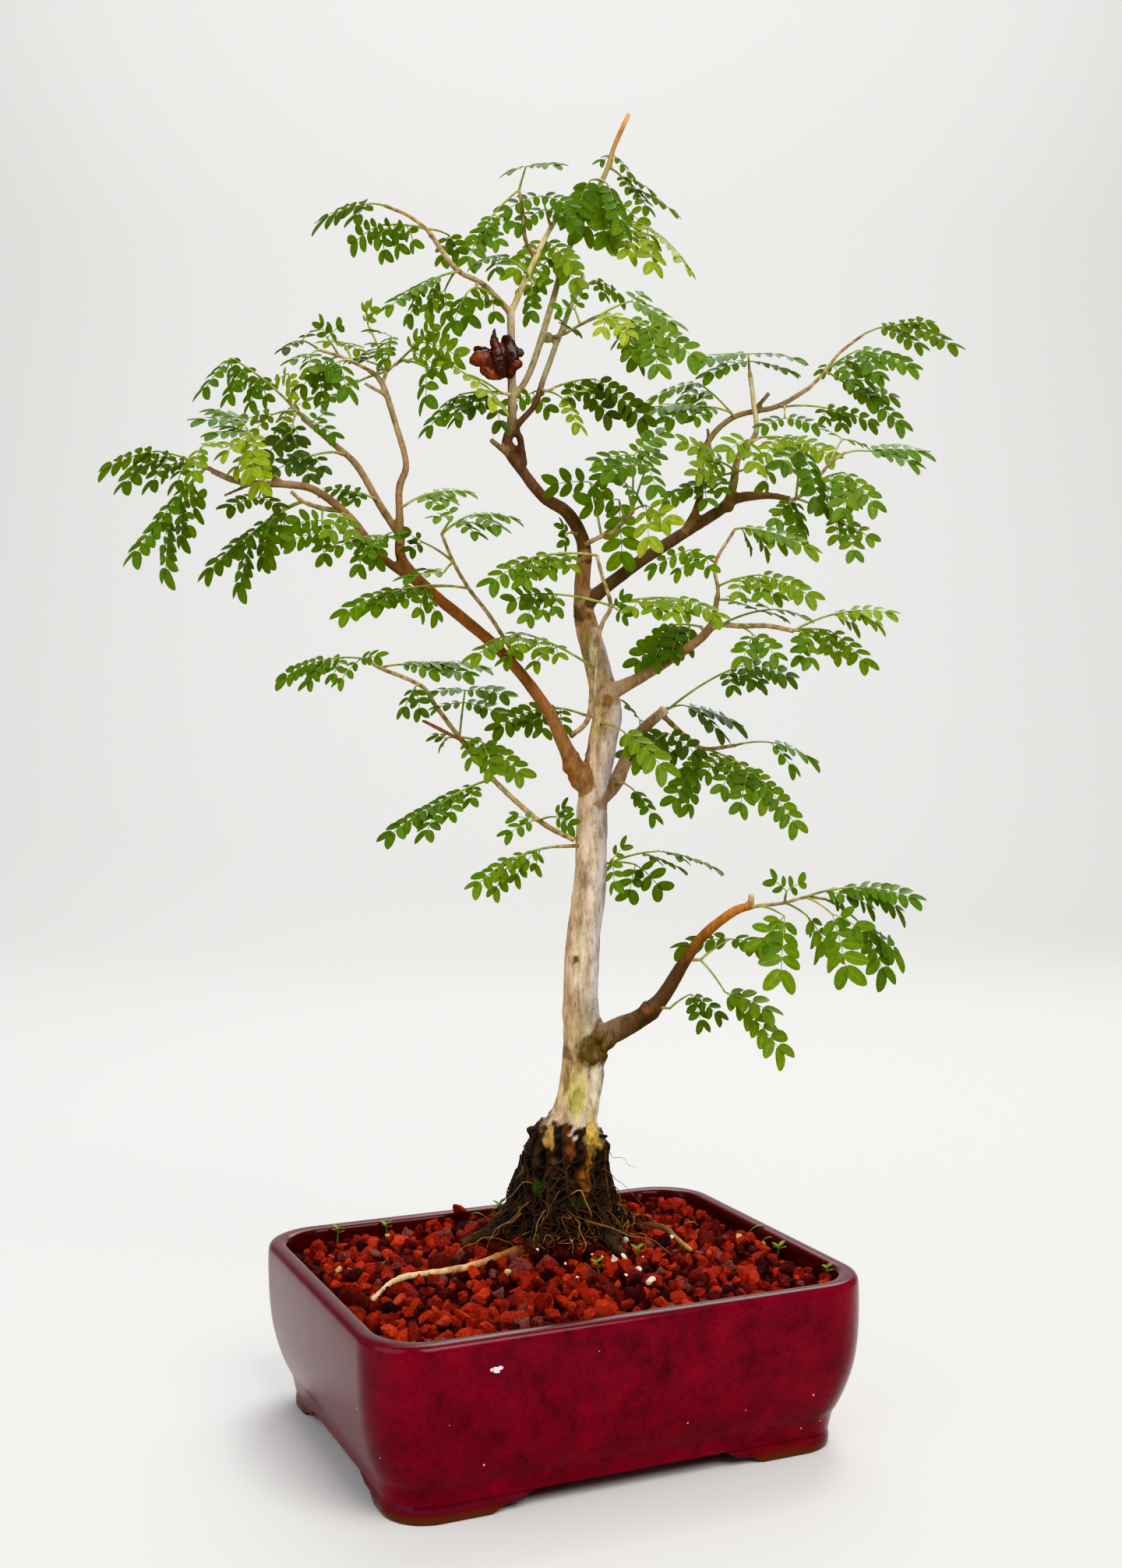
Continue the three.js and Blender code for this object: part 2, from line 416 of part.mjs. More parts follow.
  right_heart: { width: 2.2, shoot: [[91, 471, 36], [94, 480, 34], [97, 492, 34],
    [106, 498, 32]], leaves: [
    [1, [77, 474, 24], [54, 462, 18], [79, 463, 10], 2],
    [1, [84, 486, 20], [64, 496, 12], [72, 477, 4], 2],
    [2, [100, 497, 20], [104, 480, 8], [88, 489, 6], 1],
    [1, [112, 483, 46], [108, 470, 54], [132, 478, 56], 1],
    [3, [124, 497, 30], [146, 486, 20], [118, 482, 18], 2],
  ] },
  right_far_stem: { width: 2.2, shoot: [[131, 523, 67.5], [140, 532, 71], [147, 541.3, 74],
    [160, 551.4, 79]], leaves: [
    [1, [156, 521, 76], [178, 517, 82], [182, 502, 68], 2],
    [1, [157, 543, 64], [188, 532, 56], [169, 528, 48], 2],
    [1, [142, 536, 82], [137, 530, 88], [148, 530, 92], 1],
    [3, [177, 556, 86], [209, 543, 94], [197, 556, 74], 2],
  ] },
  right_upper: { width: 2, shoot: [[117, 514, 62], [119, 514, 57]], leaves: [
    [1, [146, 512, 52], [167, 503, 46], [149, 502, 62], 2],
    [1, [119, 508, 46], [106, 502, 38], [138, 502, 40], 1],
  ] },
  right_crown: { width: 2, shoot: [[101, 529, 50.5], [100.4, 534.5, 50]], leaves: [
    [1, [100, 541, 49], [72, 535, 42], [129, 537, 44], 2],
  ] },
  right_upper_left: { width: 2, shoot: [[93, 508, 54], [91, 511, 50]], leaves: [
    [1, [74, 526, 60], [48, 516, 66], [66, 517, 50], 2],
    [1, [75, 514, 44], [46, 511, 36], [56, 505, 30], 2],
  ] },
};

// Pinnae. Widths are shares of a pinna's own half width, places shares of its leaflet pitch.
const LEAFLET_PITCH = 14;
const MOST_LEAFLET_PAIRS = 2;
const MOST_PINNA_PAIRS = 2;
const BLADE_HALF_THICKNESS = 0.65;
const LARGEST_PINNA_HALF_WIDTH = 8;
const SMALLEST_PINNA_HALF_WIDTH = 4;
const PINNA_WIDTH_TO_LENGTH = 0.27;
const PINNA_RISE = 0.06;
const PINNA_TIP_SHARE = 0.15;
const LEAFLET_SAG = 0.14;
const LEAFLET_LEAN = 0.12;
const FIRST_LEAFLET_WIDTH = 0.8;
const LAST_LEAFLET_WIDTH = 0.9;
const LAST_TIP_AHEAD = 0.6;
const LAST_TIP_WIDTH = 0.62;
const LAST_NOTCH_AHEAD = 0.34;
const NOTCH_FROM_RIB = 0.9;

// Leaf stalks and how the pairs of pinnae sit on them
const STALK_HALF_WIDTH = 0.8;
const STALK_RISE = 0.05;
const LONG_STALK = 24;
const STALK_FOOT = 2.2;
const HIGHEST_FOOT_SHARE = 0.3;
const KNOT_HALF_THICKNESS = 0.715;
const CROTCH_AHEAD = 1.6;
const BASE_SUNK = 0.8;
const PINNA_START = 1.4;
const PAIR_SPACING_TO_REACH = 0.3;
const PINNATE_SHARE_OF_STALK = 0.62;
const LOWER_PAIR_LOSS = 0.14;
const LOWER_PAIR_LEAN = 0.16;
const SHOOT_TAPER = 0.35;

// The way a blade faces, as parts of upward, frontward and away from the trunk
const FACE_UP = 0.75;
const FACE_FRONT = 0.45;
const FACE_OUT = 0.35;

// A leaf takes the plane of its end pinnae unless they are close, or its stalk stands up from that plane
const NARROW_FORK = 0.64;
const UPRIGHT_BLADE = 0.3;
const FLAT_STALK = 0.2;
const STEEP_STALK = 0.81;

// Below these a direction is too near another to be measured against it, and two points are one
const NEARLY_PARALLEL = 0.3;
const SAME_POINT = 1e-4;

// Finishes: [colour, roughness]
const FINISHES = {
  glaze: ["#6d1a1c", 0.18],
  mesh: ["#1f2421", 0.6],
  lava: ["#8c3a2b", 0.95],
  bark: ["#b3a189", 0.85],
  pod: ["#4a1c12", 0.55],
  leaf: ["#4d8a1f", 0.6],
};

const UP = new THREE.Vector3(0, 0, 1);
const turned = (x, y, z) => new THREE.Vector3(x, y, z).applyAxisAngle(UP, FRONT_TURN);
const FRONT = turned(0, -1, 0);

// A front-view reading [across, up, back] as a point in the part's frame
function place([across, up, back]) {
  const spread = 1 + back / EYE_DISTANCE;
  const x = EYE_ACROSS + (across - EYE_ACROSS) * spread;
  const z = EYE_UP + (up - EYE_UP) * spread;
  return turned(x, TRUNK_BACK + back, z);
}

const TRUNK_FOOT = place(TRUNK_FOOT_READING);

// Seeded random numbers from 0 to 1
const RANDOM_FACTOR = 1664525;
const RANDOM_STEP = 1013904223;
const RANDOM_RANGE = 2 ** 32;
function randomSource(seed) {
  let state = seed;
  return () => {
    state = (state * RANDOM_FACTOR + RANDOM_STEP) % RANDOM_RANGE;
    return state / RANDOM_RANGE;
  };
}

function geometryOf(points, triangles) {
  const geometry = new THREE.BufferGeometry();
  const flat = points.flatMap((point) => [point.x, point.y, point.z]);
  geometry.setAttribute("position", new THREE.Float32BufferAttribute(flat, 3));
  geometry.setIndex(triangles.flat());
  return geometry;
}

// A closed body through rings of equal count, counter-clockwise seen from the last ring's side
function loft(rings) {
  const count = rings[0].length;
  const points = rings.flat();
  const triangles = [];
  for (let ring = 0; ring + 1 < rings.length; ring += 1) {
    for (let i = 0; i < count; i += 1) {
      const here = ring * count + i;
      const next = ring * count + ((i + 1) % count);
      triangles.push([here, next, next + count], [here, next + count, here + count]);
    }
  }
  const last = (rings.length - 1) * count;
  for (let i = 1; i + 1 < count; i += 1) {
    triangles.push([0, i + 1, i], [last, last + i, last + i + 1]);
  }
  return geometryOf(points, triangles);
}

// Solids for joining and cutting
function solidOf(geometry) {
  const bare = geometry.index ? geometry.clone() : mergeVertices(geometry.clone());
  bare.deleteAttribute("normal");
  bare.deleteAttribute("uv");
  const merged = mergeVertices(bare, SAME_POINT);
  const mesh = new wasm.Mesh({
    numProp: 3,
    vertProperties: new Float32Array(merged.attributes.position.array),
    triVerts: new Uint32Array(merged.index.array),
  });
  return new wasm.Manifold(mesh);
}

function geometryFrom(solid) {
  const mesh = solid.getMesh();
  const geometry = new THREE.BufferGeometry();
  geometry.setAttribute("position", new THREE.BufferAttribute(Float32Array.from(mesh.vertProperties), 3));
  geometry.setIndex(new THREE.BufferAttribute(Uint32Array.from(mesh.triVerts), 1));
  return geometry;
}

const joined = (solids) => solids.reduce((whole, solid) => whole.add(solid));

function largestPiece(solid) {
  const pieces = solid.decompose();
  return pieces.reduce((best, piece) => (piece.volume() > best.volume() ? piece : best));
}

// A round, tapering limb along a route; every route point has its own diameter
function limb(points, diameters, sides) {
  const along = points.map((point, i) => {
    const before = points[Math.max(i - 1, 0)];
    const after = points[Math.min(i + 1, points.length - 1)];
    return after.clone().sub(before).normalize();
  });
  let side = new THREE.Vector3(1, 0, 0).cross(along[0]);
  if (side.length() < NEARLY_PARALLEL) {
    side = new THREE.Vector3(0, 1, 0).cross(along[0]);
  }
  const rings = points.map((point, i) => {
    side.addScaledVector(along[i], -side.dot(along[i])).normalize();
    const other = along[i].clone().cross(side);
    return Array.from({ length: sides }, (_, k) => {
      const angle = (2 * Math.PI * k) / sides;
      const radius = diameters[i] / 2;
      return point.clone()
        .addScaledVector(side, radius * Math.cos(angle))
        .addScaledVector(other, radius * Math.sin(angle));
    });
  });
  return loft(rings);
}

// Wood: the trunk, its roots and its main limbs, grown by `extra` all round
function woodSolid(extra) {
  return joined(LIMBS.map(({ sides = WOOD_SIDES, route }) => {
    const points = route.map(place);
    const diameters = route.map((row) => row[3] + 2 * extra);
    return solidOf(limb(points, diameters, sides));
  }));
}

const cornerRadius = (inset) => (
  Math.max(POT_CORNER_RADIUS - inset * CORNER_RADIUS_PER_INSET, SMALLEST_CORNER_RADIUS)
);

// Rounded rectangle, counter-clockwise from above, inset from the rim's outline
function panRing(inset, height) {
  const radius = cornerRadius(inset);
  const halfLength = POT_LENGTH / 2 - inset;
  const halfWidth = POT_WIDTH / 2 - inset;
  const ring = [];
  for (let corner = 0; corner < 4; corner += 1) {
    const centreX = (corner === 0 || corner === 3 ? 1 : -1) * (halfLength - radius);
    const centreY = (corner < 2 ? 1 : -1) * (halfWidth - radius);
    for (let step = 0; step <= POT_CORNER_STEPS; step += 1) {
      const angle = (Math.PI / 2) * (corner + step / POT_CORNER_STEPS);
      const x = centreX + radius * Math.cos(angle);
      const y = centreY + radius * Math.sin(angle);
      ring.push(new THREE.Vector3(x, y, height));
    }
  }
  return ring;
}

// One cloud foot: a band round a corner whose lower edge rises to the body in scallops at both ends
function footGeometry(signX, signY) {
  const outerX = POT_LENGTH / 2 - FOOT_OUTER_INSET;
  const outerY = POT_WIDTH / 2 - FOOT_OUTER_INSET;
  const radius = cornerRadius(FOOT_OUTER_INSET);
  const straightX = FOOT_LONG_ARM - radius;
  const straightY = FOOT_SHORT_ARM - radius;
  const arc = (Math.PI / 2) * radius;
  const length = straightX + arc + straightY;
  const station = (distance) => {
    if (distance < straightX) {
      return [outerX - radius - (straightX - distance), outerY, 0, 1];
    }
    if (distance < straightX + arc) {
      const angle = Math.PI / 2 - (distance - straightX) / radius;
      const [cos, sin] = [Math.cos(angle), Math.sin(angle)];
      return [outerX - radius + radius * cos, outerY - radius + radius * sin, cos, sin];
    }
    return [outerX, outerY - radius - (distance - straightX - arc), 1, 0];
  };
  const turns = Array.from({ length: FOOT_CORNER_STEPS + 1 }, (_, i) => (
    (straightX + (arc * i) / FOOT_CORNER_STEPS) / length
  ));
  const shares = [...FOOT_EDGE.map(([share]) => share), ...turns].sort((a, b) => a - b);
  const edgeHeight = (share) => {
    const after = FOOT_EDGE.findIndex(([at]) => at >= share);
    if (after <= 0) {
      return FOOT_EDGE[0][1];
    }
    const [[fromShare, fromHeight], [toShare, toHeight]] = [FOOT_EDGE[after - 1], FOOT_EDGE[after]];
    return THREE.MathUtils.mapLinear(share, fromShare, toShare, fromHeight, toHeight);
  };
  const top = FOOT_HEIGHT - CLEARANCE;
  const rings = shares.map((share) => {
    const [x, y, normalX, normalY] = station(share * length);
    const low = edgeHeight(share);
    const section = [[-FOOT_TAPER, top], [0, low], [-FOOT_THICKNESS, low], [-FOOT_THICKNESS, top]];
    const ring = section.map(([out, z]) => new THREE.Vector3(
      signX * (x + normalX * out), signY * (y + normalY * out), z,
    ));
    return signX * signY > 0 ? ring.reverse() : ring;
  });
  return loft(rings);
}

function potGeometry() {
  const walls = [...POT_OUTSIDE, ...POT_INSIDE].map(([inset, height]) => panRing(inset, height));
  const holes = [-1, 1].map((side) => {
    const hole = new THREE.CylinderGeometry(
      DRAIN_HOLE_RADIUS, DRAIN_HOLE_RADIUS, FLOOR_TOP * 2, DRAIN_HOLE_SIDES,
    );
    hole.rotateX(Math.PI / 2).translate(side * DRAIN_HOLE_OFFSET, 0, FLOOR_TOP / 2);
    return solidOf(hole);
  });
  return geometryFrom(solidOf(loft(walls)).subtract(joined(holes)));
}

function drainMeshGeometry() {
  const cell = (MESH_SIDE - MESH_BAR * (MESH_CELLS + 1)) / MESH_CELLS;
  const cells = [];
  for (let row = 0; row < MESH_CELLS; row += 1) {
    for (let column = 0; column < MESH_CELLS; column += 1) {
      const x = (column - (MESH_CELLS - 1) / 2) * (cell + MESH_BAR);
      const y = (row - (MESH_CELLS - 1) / 2) * (cell + MESH_BAR);
      cells.push(solidOf(new THREE.BoxGeometry(cell, cell, MESH_THICKNESS * 3).translate(x, y, 0)));
    }
  }
  const square = solidOf(new THREE.BoxGeometry(MESH_SIDE, MESH_SIDE, MESH_THICKNESS));
  return geometryFrom(square.subtract(joined(cells)));
}

function soilHeight(x, y) {
  const distance = Math.hypot(x - TRUNK_FOOT.x, y - TRUNK_FOOT.y);
  return SOIL_EDGE_HEIGHT + SOIL_MOUND_HEIGHT * Math.exp(-((distance / SOIL_MOUND_REACH) ** 2));
}

function soilGeometry(woodAndRoom) {
  const random = randomSource(SOIL_SEED);
  const inside = POT_INSIDE.slice(SOIL_TOP_ROW).reverse();
  const rings = inside.map(([inset, height]) => panRing(inset + CLEARANCE, height + CLEARANCE));
  const rim = rings[rings.length - 1];
  for (let ring = 1; ring <= SOIL_RINGS; ring += 1) {
    const share = 1 - ring / (SOIL_RINGS + SOIL_MIDDLE_SHARE);
    rings.push(rim.map((point) => {
      const x = point.x * share;
      const y = point.y * share;
      return new THREE.Vector3(x, y, soilHeight(x, y) + SOIL_GRIT_RELIEF * (random() - 0.5) * 2);
    }));
  }
  const meshRooms = [-1, 1].map((side) => {
    const roomSide = MESH_SIDE + 2 * CLEARANCE;
    const room = new THREE.BoxGeometry(roomSide, roomSide, MESH_THICKNESS * 2);
    room.translate(side * DRAIN_HOLE_OFFSET, 0, FLOOR_TOP + 2 * CLEARANCE);
    return solidOf(room);
  });
  const bed = solidOf(loft(rings)).subtract(joined(meshRooms)).subtract(woodAndRoom);
  return geometryFrom(largestPiece(bed));
}

// One fold of the seed pod, its broad side to the front
function foldSolid(route) {
  const middle = place(POD_MIDDLE);
  const points = route.map(([right, up, back]) => middle.clone().add(turned(right, back, up)));
  const rings = route.map(([, , , half, thick], i) => {
    const before = points[Math.max(i - 1, 0)];
    const along = points[Math.min(i + 1, points.length - 1)].clone().sub(before).normalize();
    const broad = along.clone().cross(FRONT).normalize();
    const thin = along.clone().cross(broad);
    return Array.from({ length: POD_SIDES }, (_, k) => {
      const angle = (2 * Math.PI * k) / POD_SIDES;
      return points[i].clone()
        .addScaledVector(broad, half * Math.cos(angle))
        .addScaledVector(thin, thick * Math.sin(angle));
    });
  });
  return solidOf(loft(rings));
}

// Leaves. A blade is a plane tree of rib points; round each rib point goes a ring of edge points and
// further ribs, counter-clockwise from above. Over and under faces are split alike and meet at the edge.
class Blade {
  points = [];

  triangles = [];

  edge(point) {
    this.points.push(point);
    return this.points.length - 1;
  }

  rib(point, face, half = BLADE_HALF_THICKNESS) {
    const over = this.edge(point.clone().addScaledVector(face, half));
    const under = this.edge(point.clone().addScaledVector(face, -half));
    return { over, under, ring: [] };
  }

  weave(rib, before, after) {
    const ring = [before, ...rib.ring, after];
    for (let i = 0; i + 1 < ring.length; i += 1) {
      const here = ring[i];
      const next = ring[i + 1];
      if (typeof next === "object") {
        this.triangles.push([rib.over, here, next.over], [rib.under, next.under, here]);
        this.weave(next, here, ring[i + 2]);
      } else if (typeof here === "object") {
        this.triangles.push([rib.over, here.over, next], [rib.under, next, here.under]);
      } else {
        this.triangles.push([rib.over, here, next], [rib.under, next, here]);
      }
    }
  }

  geometry() {
    return geometryOf(this.points, this.triangles);
  }
}

// The way a blade faces: up, to the front and away from the trunk
function facing(point) {
  const outward = new THREE.Vector3(point.x - TRUNK_FOOT.x, point.y - TRUNK_FOOT.y, 0).normalize();
  return UP.clone().multiplyScalar(FACE_UP)
    .addScaledVector(FRONT, FACE_FRONT)
    .addScaledVector(outward, FACE_OUT);
}

// A curve between two points that rises by `lift` in its middle
function arch(from, to, lift) {
  const middle = from.clone().add(to).multiplyScalar(0.5).addScaledVector(UP, 2 * lift);
  return new THREE.QuadraticBezierCurve3(from, middle, to);
}

function frameOn(curve, share, face) {
  const origin = curve.getPoint(share);
  const along = curve.getTangent(share);
  const upward = face.clone().addScaledVector(along, -face.dot(along)).normalize();
  const left = upward.clone().cross(along);
  const at = (ahead, aside, above = 0) => origin.clone()
    .addScaledVector(along, ahead)
    .addScaledVector(left, aside)
    .addScaledVector(upward, above);
  return { origin, along, upward, left, at };
}

// The face of the plane in which a leaf's two end pinnae lie, or the usual face where they hardly give one
function faceOfFork(one, two, along, usual) {
  const face = one.clone().cross(two);
  const wide = face.length() > NARROW_FORK;
  face.normalize();
  const onStalk = Math.abs(face.dot(along));
  const onUsual = Math.abs(face.dot(usual));
  const upright = onUsual < UPRIGHT_BLADE && onStalk < FLAT_STALK;
  if (!wide || upright || onStalk > STEEP_STALK) {
    return usual;
  }
  return face.multiplyScalar(Math.sign(face.dot(usual)));
}

// The face of a leaf at the end of its stalk, and which of its two end pinnae goes left
function spreadOf(stalk, tipOne, tipTwo) {
  const fork = stalk.getPoint(1);
  const along = stalk.getTangent(1);
  const toward = (tip) => tip.clone().sub(fork).normalize();
  const face = faceOfFork(toward(tipOne), toward(tipTwo), along, facing(fork).normalize());
  const left = face.clone().cross(along).normalize();
  const ahead = left.clone().cross(face);
  const turn = (tip) => Math.atan2(toward(tip).dot(left), toward(tip).dot(ahead));
  const [leftTip, rightTip] = turn(tipOne) > turn(tipTwo) ? [tipOne, tipTwo] : [tipTwo, tipOne];
  return { face, leftTip, rightTip };
}

// A pinna: returns its first rib, whose ring holds the rest
function pinna(blade, from, tip, face, most) {
  const length = from.distanceTo(tip);
  const pairs = THREE.MathUtils.clamp(Math.round(length / LEAFLET_PITCH), 1, most);
  const pitch = length / (pairs + PINNA_TIP_SHARE);
  const half = THREE.MathUtils.clamp(
    length * PINNA_WIDTH_TO_LENGTH, SMALLEST_PINNA_HALF_WIDTH, LARGEST_PINNA_HALF_WIDTH,
  );
  const curve = arch(from, tip, length * PINNA_RISE);
  const ribs = [];
  for (let pair = 0; pair < pairs; pair += 1) {
    const frame = frameOn(curve, ((pair + 0.5) * pitch) / length, face);
    const rib = blade.rib(frame.origin, frame.upward);
    const last = pair === pairs - 1;
    const sag = -half * LEAFLET_SAG;
    const growth = (1 - FIRST_LEAFLET_WIDTH) * (pair / pairs);
    const width = half * (last ? LAST_LEAFLET_WIDTH : FIRST_LEAFLET_WIDTH + growth);
    const near = last ? -LEAFLET_LEAN : LEAFLET_LEAN;
    ribs.push({
      rib,
      leaflet: (side) => (last
        ? [
          blade.edge(frame.at(near * pitch, side * width, sag)),
          blade.edge(frame.at(LAST_TIP_AHEAD * pitch, side * width * LAST_TIP_WIDTH, sag)),
        ]
        : [blade.edge(frame.at(near * pitch, side * width, sag))]),
      notch: (side) => (last
        ? blade.edge(frame.at(LAST_NOTCH_AHEAD * pitch, 0))
        : blade.edge(frameOn(curve, ((pair + 1) * pitch) / length, face).at(0, side * NOTCH_FROM_RIB))),
    });
  }
  // Fill the rings from the tip back: right leaflet, what lies ahead, left leaflet
  for (let pair = pairs - 1; pair >= 0; pair -= 1) {
    const { rib, leaflet, notch } = ribs[pair];
    const right = leaflet(-1);
    const left = leaflet(1).reverse();
    const ahead = pair === pairs - 1
      ? [notch(0)]
      : [notch(-1), ribs[pair + 1].rib, notch(1)];
    rib.ring = [...right, ...ahead, ...left];
  }
  return ribs[0].rib;
}

// A compound leaf: stalk, then pairs of pinnae, the last pair between the two given tips
function leafSolid(base, fork, tipOne, tipTwo, pairs) {
  const blade = new Blade();
  const length = base.distanceTo(fork);
  const stalk = arch(base, fork, length * STALK_RISE);
  const reach = Math.max(fork.distanceTo(tipOne), fork.distanceTo(tipTwo));
  const spacing = Math.min(
    reach * PAIR_SPACING_TO_REACH, (length * PINNATE_SHARE_OF_STALK) / Math.max(pairs - 1, 1),
  );
  const { face, leftTip, rightTip } = spreadOf(stalk, tipOne, tipTwo);
  const along = stalk.getTangent(1);
  const knots = [];
  for (let pair = 0; pair < pairs; pair += 1) {
    const fromEnd = pairs - 1 - pair;
    const frame = frameOn(stalk, 1 - (fromEnd * spacing) / length, face);
    const rib = blade.rib(frame.origin, face, KNOT_HALF_THICKNESS);
    const most = Math.max(MOST_LEAFLET_PAIRS - fromEnd, 1);
    const side = (tip, sign) => {
      const offset = tip.clone().sub(fork).multiplyScalar(1 - LOWER_PAIR_LOSS * fromEnd);
      offset.addScaledVector(along, -LOWER_PAIR_LEAN * fromEnd * offset.length());
      const end = frame.origin.clone().add(offset);
      const outward = offset.clone().normalize();
      const start = frame.origin.clone().addScaledVector(outward, PINNA_START);
      const ahead = outward.clone().cross(face).setLength(sign);
      const notch = (way) => blade.edge(start.clone().addScaledVector(ahead, way * NOTCH_FROM_RIB));
      return { back: notch(-1), rib: pinna(blade, start, end, face, most), front: () => notch(1), ahead };
    };
    knots.push({ rib, right: side(rightTip, -1), left: side(leftTip, 1) });
  }
  for (let pair = pairs - 1; pair >= 0; pair -= 1) {
    const { rib, right, left } = knots[pair];
    const crotch = right.ahead.clone().add(left.ahead).setLength(CROTCH_AHEAD);
    const ahead = pair === pairs - 1
      ? [blade.edge(crotch.add(fork))]
      : [right.front(), knots[pair + 1].rib, left.front()];
    rib.ring = [right.back, right.rib, ...ahead, left.rib, left.back];
  }
  const beside = (frame, sign) => blade.edge(frame.at(0, sign * STALK_HALF_WIDTH));
  const foot = frameOn(stalk, Math.min(STALK_FOOT / length, HIGHEST_FOOT_SHARE), face);
  const root = blade.rib(foot.origin, foot.upward, KNOT_HALF_THICKNESS);
  const firstPairShare = 1 - ((pairs - 1) * spacing) / length;
  if (length * firstPairShare > LONG_STALK) {
    const middle = frameOn(stalk, firstPairShare / 2, face);
    const heart = blade.rib(middle.origin, middle.upward, BLADE_HALF_THICKNESS);
    heart.ring = [beside(middle, -1), knots[0].rib, beside(middle, 1)];
    root.ring = [beside(foot, -1), heart, beside(foot, 1)];
  } else {
    root.ring = [beside(foot, -1), knots[0].rib, beside(foot, 1)];
  }
  const end = blade.edge(frameOn(stalk, 0, face).at(-BASE_SUNK, 0));
  blade.weave(root, end, end);
  return solidOf(blade.geometry());
}

// A leafy stem: its shoot and leaves in one body, clear of the wood that carries it
function leafyStemGeometry({ width, shoot, leaves }, woodAndRoom) {
  const points = shoot.map(place);
  const diameters = points.map((_, i) => width * (1 - (SHOOT_TAPER * i) / points.length));
  const last = points.length - 1;
  const back = points[last - 1].clone().sub(points[last]).setLength(BASE_SUNK);
  const parts = leaves.map(([at, fork, tipOne, tipTwo, pairs]) => {
    const base = at === last ? points[at].clone().add(back) : points[at];
    const drawn = Math.min(pairs, MOST_PINNA_PAIRS);
    return leafSolid(base, place(fork), place(tipOne), place(tipTwo), drawn);
  });
  const stem = solidOf(limb(points, diameters, SHOOT_SIDES));
  const whole = joined([stem, ...parts]).subtract(woodAndRoom);
  return geometryFrom(largestPiece(whole));
}

function named(name, geometry, [color, roughness]) {
  const mesh = new THREE.Mesh(geometry, new THREE.MeshStandardMaterial({ color, roughness, metalness: 0 }));
  mesh.name = name;
  return mesh;
}

const wood = woodSolid(0);
const woodAndRoom = woodSolid(CLEARANCE);
const bonsai = new THREE.Group();
bonsai.add(named("pot", potGeometry(), FINISHES.glaze));
for (const [name, signX, signY] of FEET) {
  bonsai.add(named(name, footGeometry(signX, signY), FINISHES.glaze));
}
for (const [name, side] of [["drain_mesh_left", -1], ["drain_mesh_right", 1]]) {
  const mesh = named(name, drainMeshGeometry(), FINISHES.mesh);
  mesh.position.set(side * DRAIN_HOLE_OFFSET, 0, FLOOR_TOP + CLEARANCE + MESH_THICKNESS / 2);
  bonsai.add(mesh);
}
bonsai.add(named("soil", soilGeometry(woodAndRoom), FINISHES.lava));
bonsai.add(named("trunk", geometryFrom(largestPiece(wood)), FINISHES.bark));
const pod = joined(POD_FOLDS.map(foldSolid)).subtract(woodAndRoom);
bonsai.add(named("seed_pod", geometryFrom(largestPiece(pod)), FINISHES.pod));
for (const [name, stem] of Object.entries(LEAFY_STEMS)) {
  bonsai.add(named(`leaves_${name}`, leafyStemGeometry(stem, woodAndRoom), FINISHES.leaf));
}

// The origin lies under the middle of the whole, on the surface that the feet stand on
const box = new THREE.Box3().setFromObject(bonsai);
const middle = box.getCenter(new THREE.Vector3());
bonsai.position.set(-middle.x, -middle.y, -box.min.z);

export default bonsai;
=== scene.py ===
# A rain tree trained as a bonsai in a glazed pot. Tables are in millimetres, Blender's objects in metres.
import math

import bpy
import numpy as np
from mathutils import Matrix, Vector, kdtree


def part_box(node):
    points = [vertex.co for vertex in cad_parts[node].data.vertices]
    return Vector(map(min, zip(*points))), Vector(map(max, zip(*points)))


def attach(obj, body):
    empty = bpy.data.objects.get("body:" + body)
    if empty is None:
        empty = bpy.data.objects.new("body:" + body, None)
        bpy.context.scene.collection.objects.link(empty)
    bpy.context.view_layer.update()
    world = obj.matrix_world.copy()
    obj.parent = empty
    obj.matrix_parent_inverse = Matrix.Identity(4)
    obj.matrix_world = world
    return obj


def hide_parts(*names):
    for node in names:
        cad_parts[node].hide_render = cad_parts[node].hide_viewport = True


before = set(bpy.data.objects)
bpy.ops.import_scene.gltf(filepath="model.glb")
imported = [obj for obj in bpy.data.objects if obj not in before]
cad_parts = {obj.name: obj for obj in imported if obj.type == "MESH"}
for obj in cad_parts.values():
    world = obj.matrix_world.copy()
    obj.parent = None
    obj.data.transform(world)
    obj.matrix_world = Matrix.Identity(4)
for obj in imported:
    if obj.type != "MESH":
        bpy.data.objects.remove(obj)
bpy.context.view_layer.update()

MM = 0.001
UP = np.array([0.0, 0.0, 1.0])

# How the front view's readings become places: the eye and the plane in which they were read
EYE_ACROSS = 3.0
EYE_UP = 350.0
EYE_DISTANCE = 934.0
TRUNK_BACK = 45.0
FRONT_TURN = math.radians(-24.0)

# Camera
LENS_MM = 41.1
SENSOR_MM = 36.0
CAMERA_PITCH = math.radians(-1.95)

# Made-up relief: its waves, and how far their lengths stray
LUMP_WAVES = 9
LUMP_STRAY = [0.6, 1.6]

# Pot. Its outline is [inset, height] rows, and a foot's lower edge [share of the foot's length, height]
POT_LENGTH = 254.0
POT_WIDTH = 203.0
POT_CORNER_RADIUS = 29.0
CORNER_TIGHTENING = 0.6
SMALLEST_CORNER = 4
POT_CORNER_STEPS = 14
POT_OUTSIDE = [
    [12.6, 8.5], [11, 16.5], [8.6, 20.5], [4.6, 31],
    [1.6, 44], [0.2, 60], [0, 80], [1.1, 83], [3.2, 84],
]
POT_INSIDE = [[7.6, 84], [9.4, 82], [9.9, 76], [11.4, 46], [16, 26], [30, 16]]
PROFILE_ROUNDS = 3
CORNER_CUT = 0.25
RIM_TOP_SLACK = 0.2
RIM_EDGE_HEIGHT = 83.0
# How far in from the west end its painted shade and sheen fade out
WEST_SHADE_FADE = 14
POT_WAVES = 0.35
POT_WAVES_FULL_HEIGHT = 40
FOOT_HEIGHT = 8.5
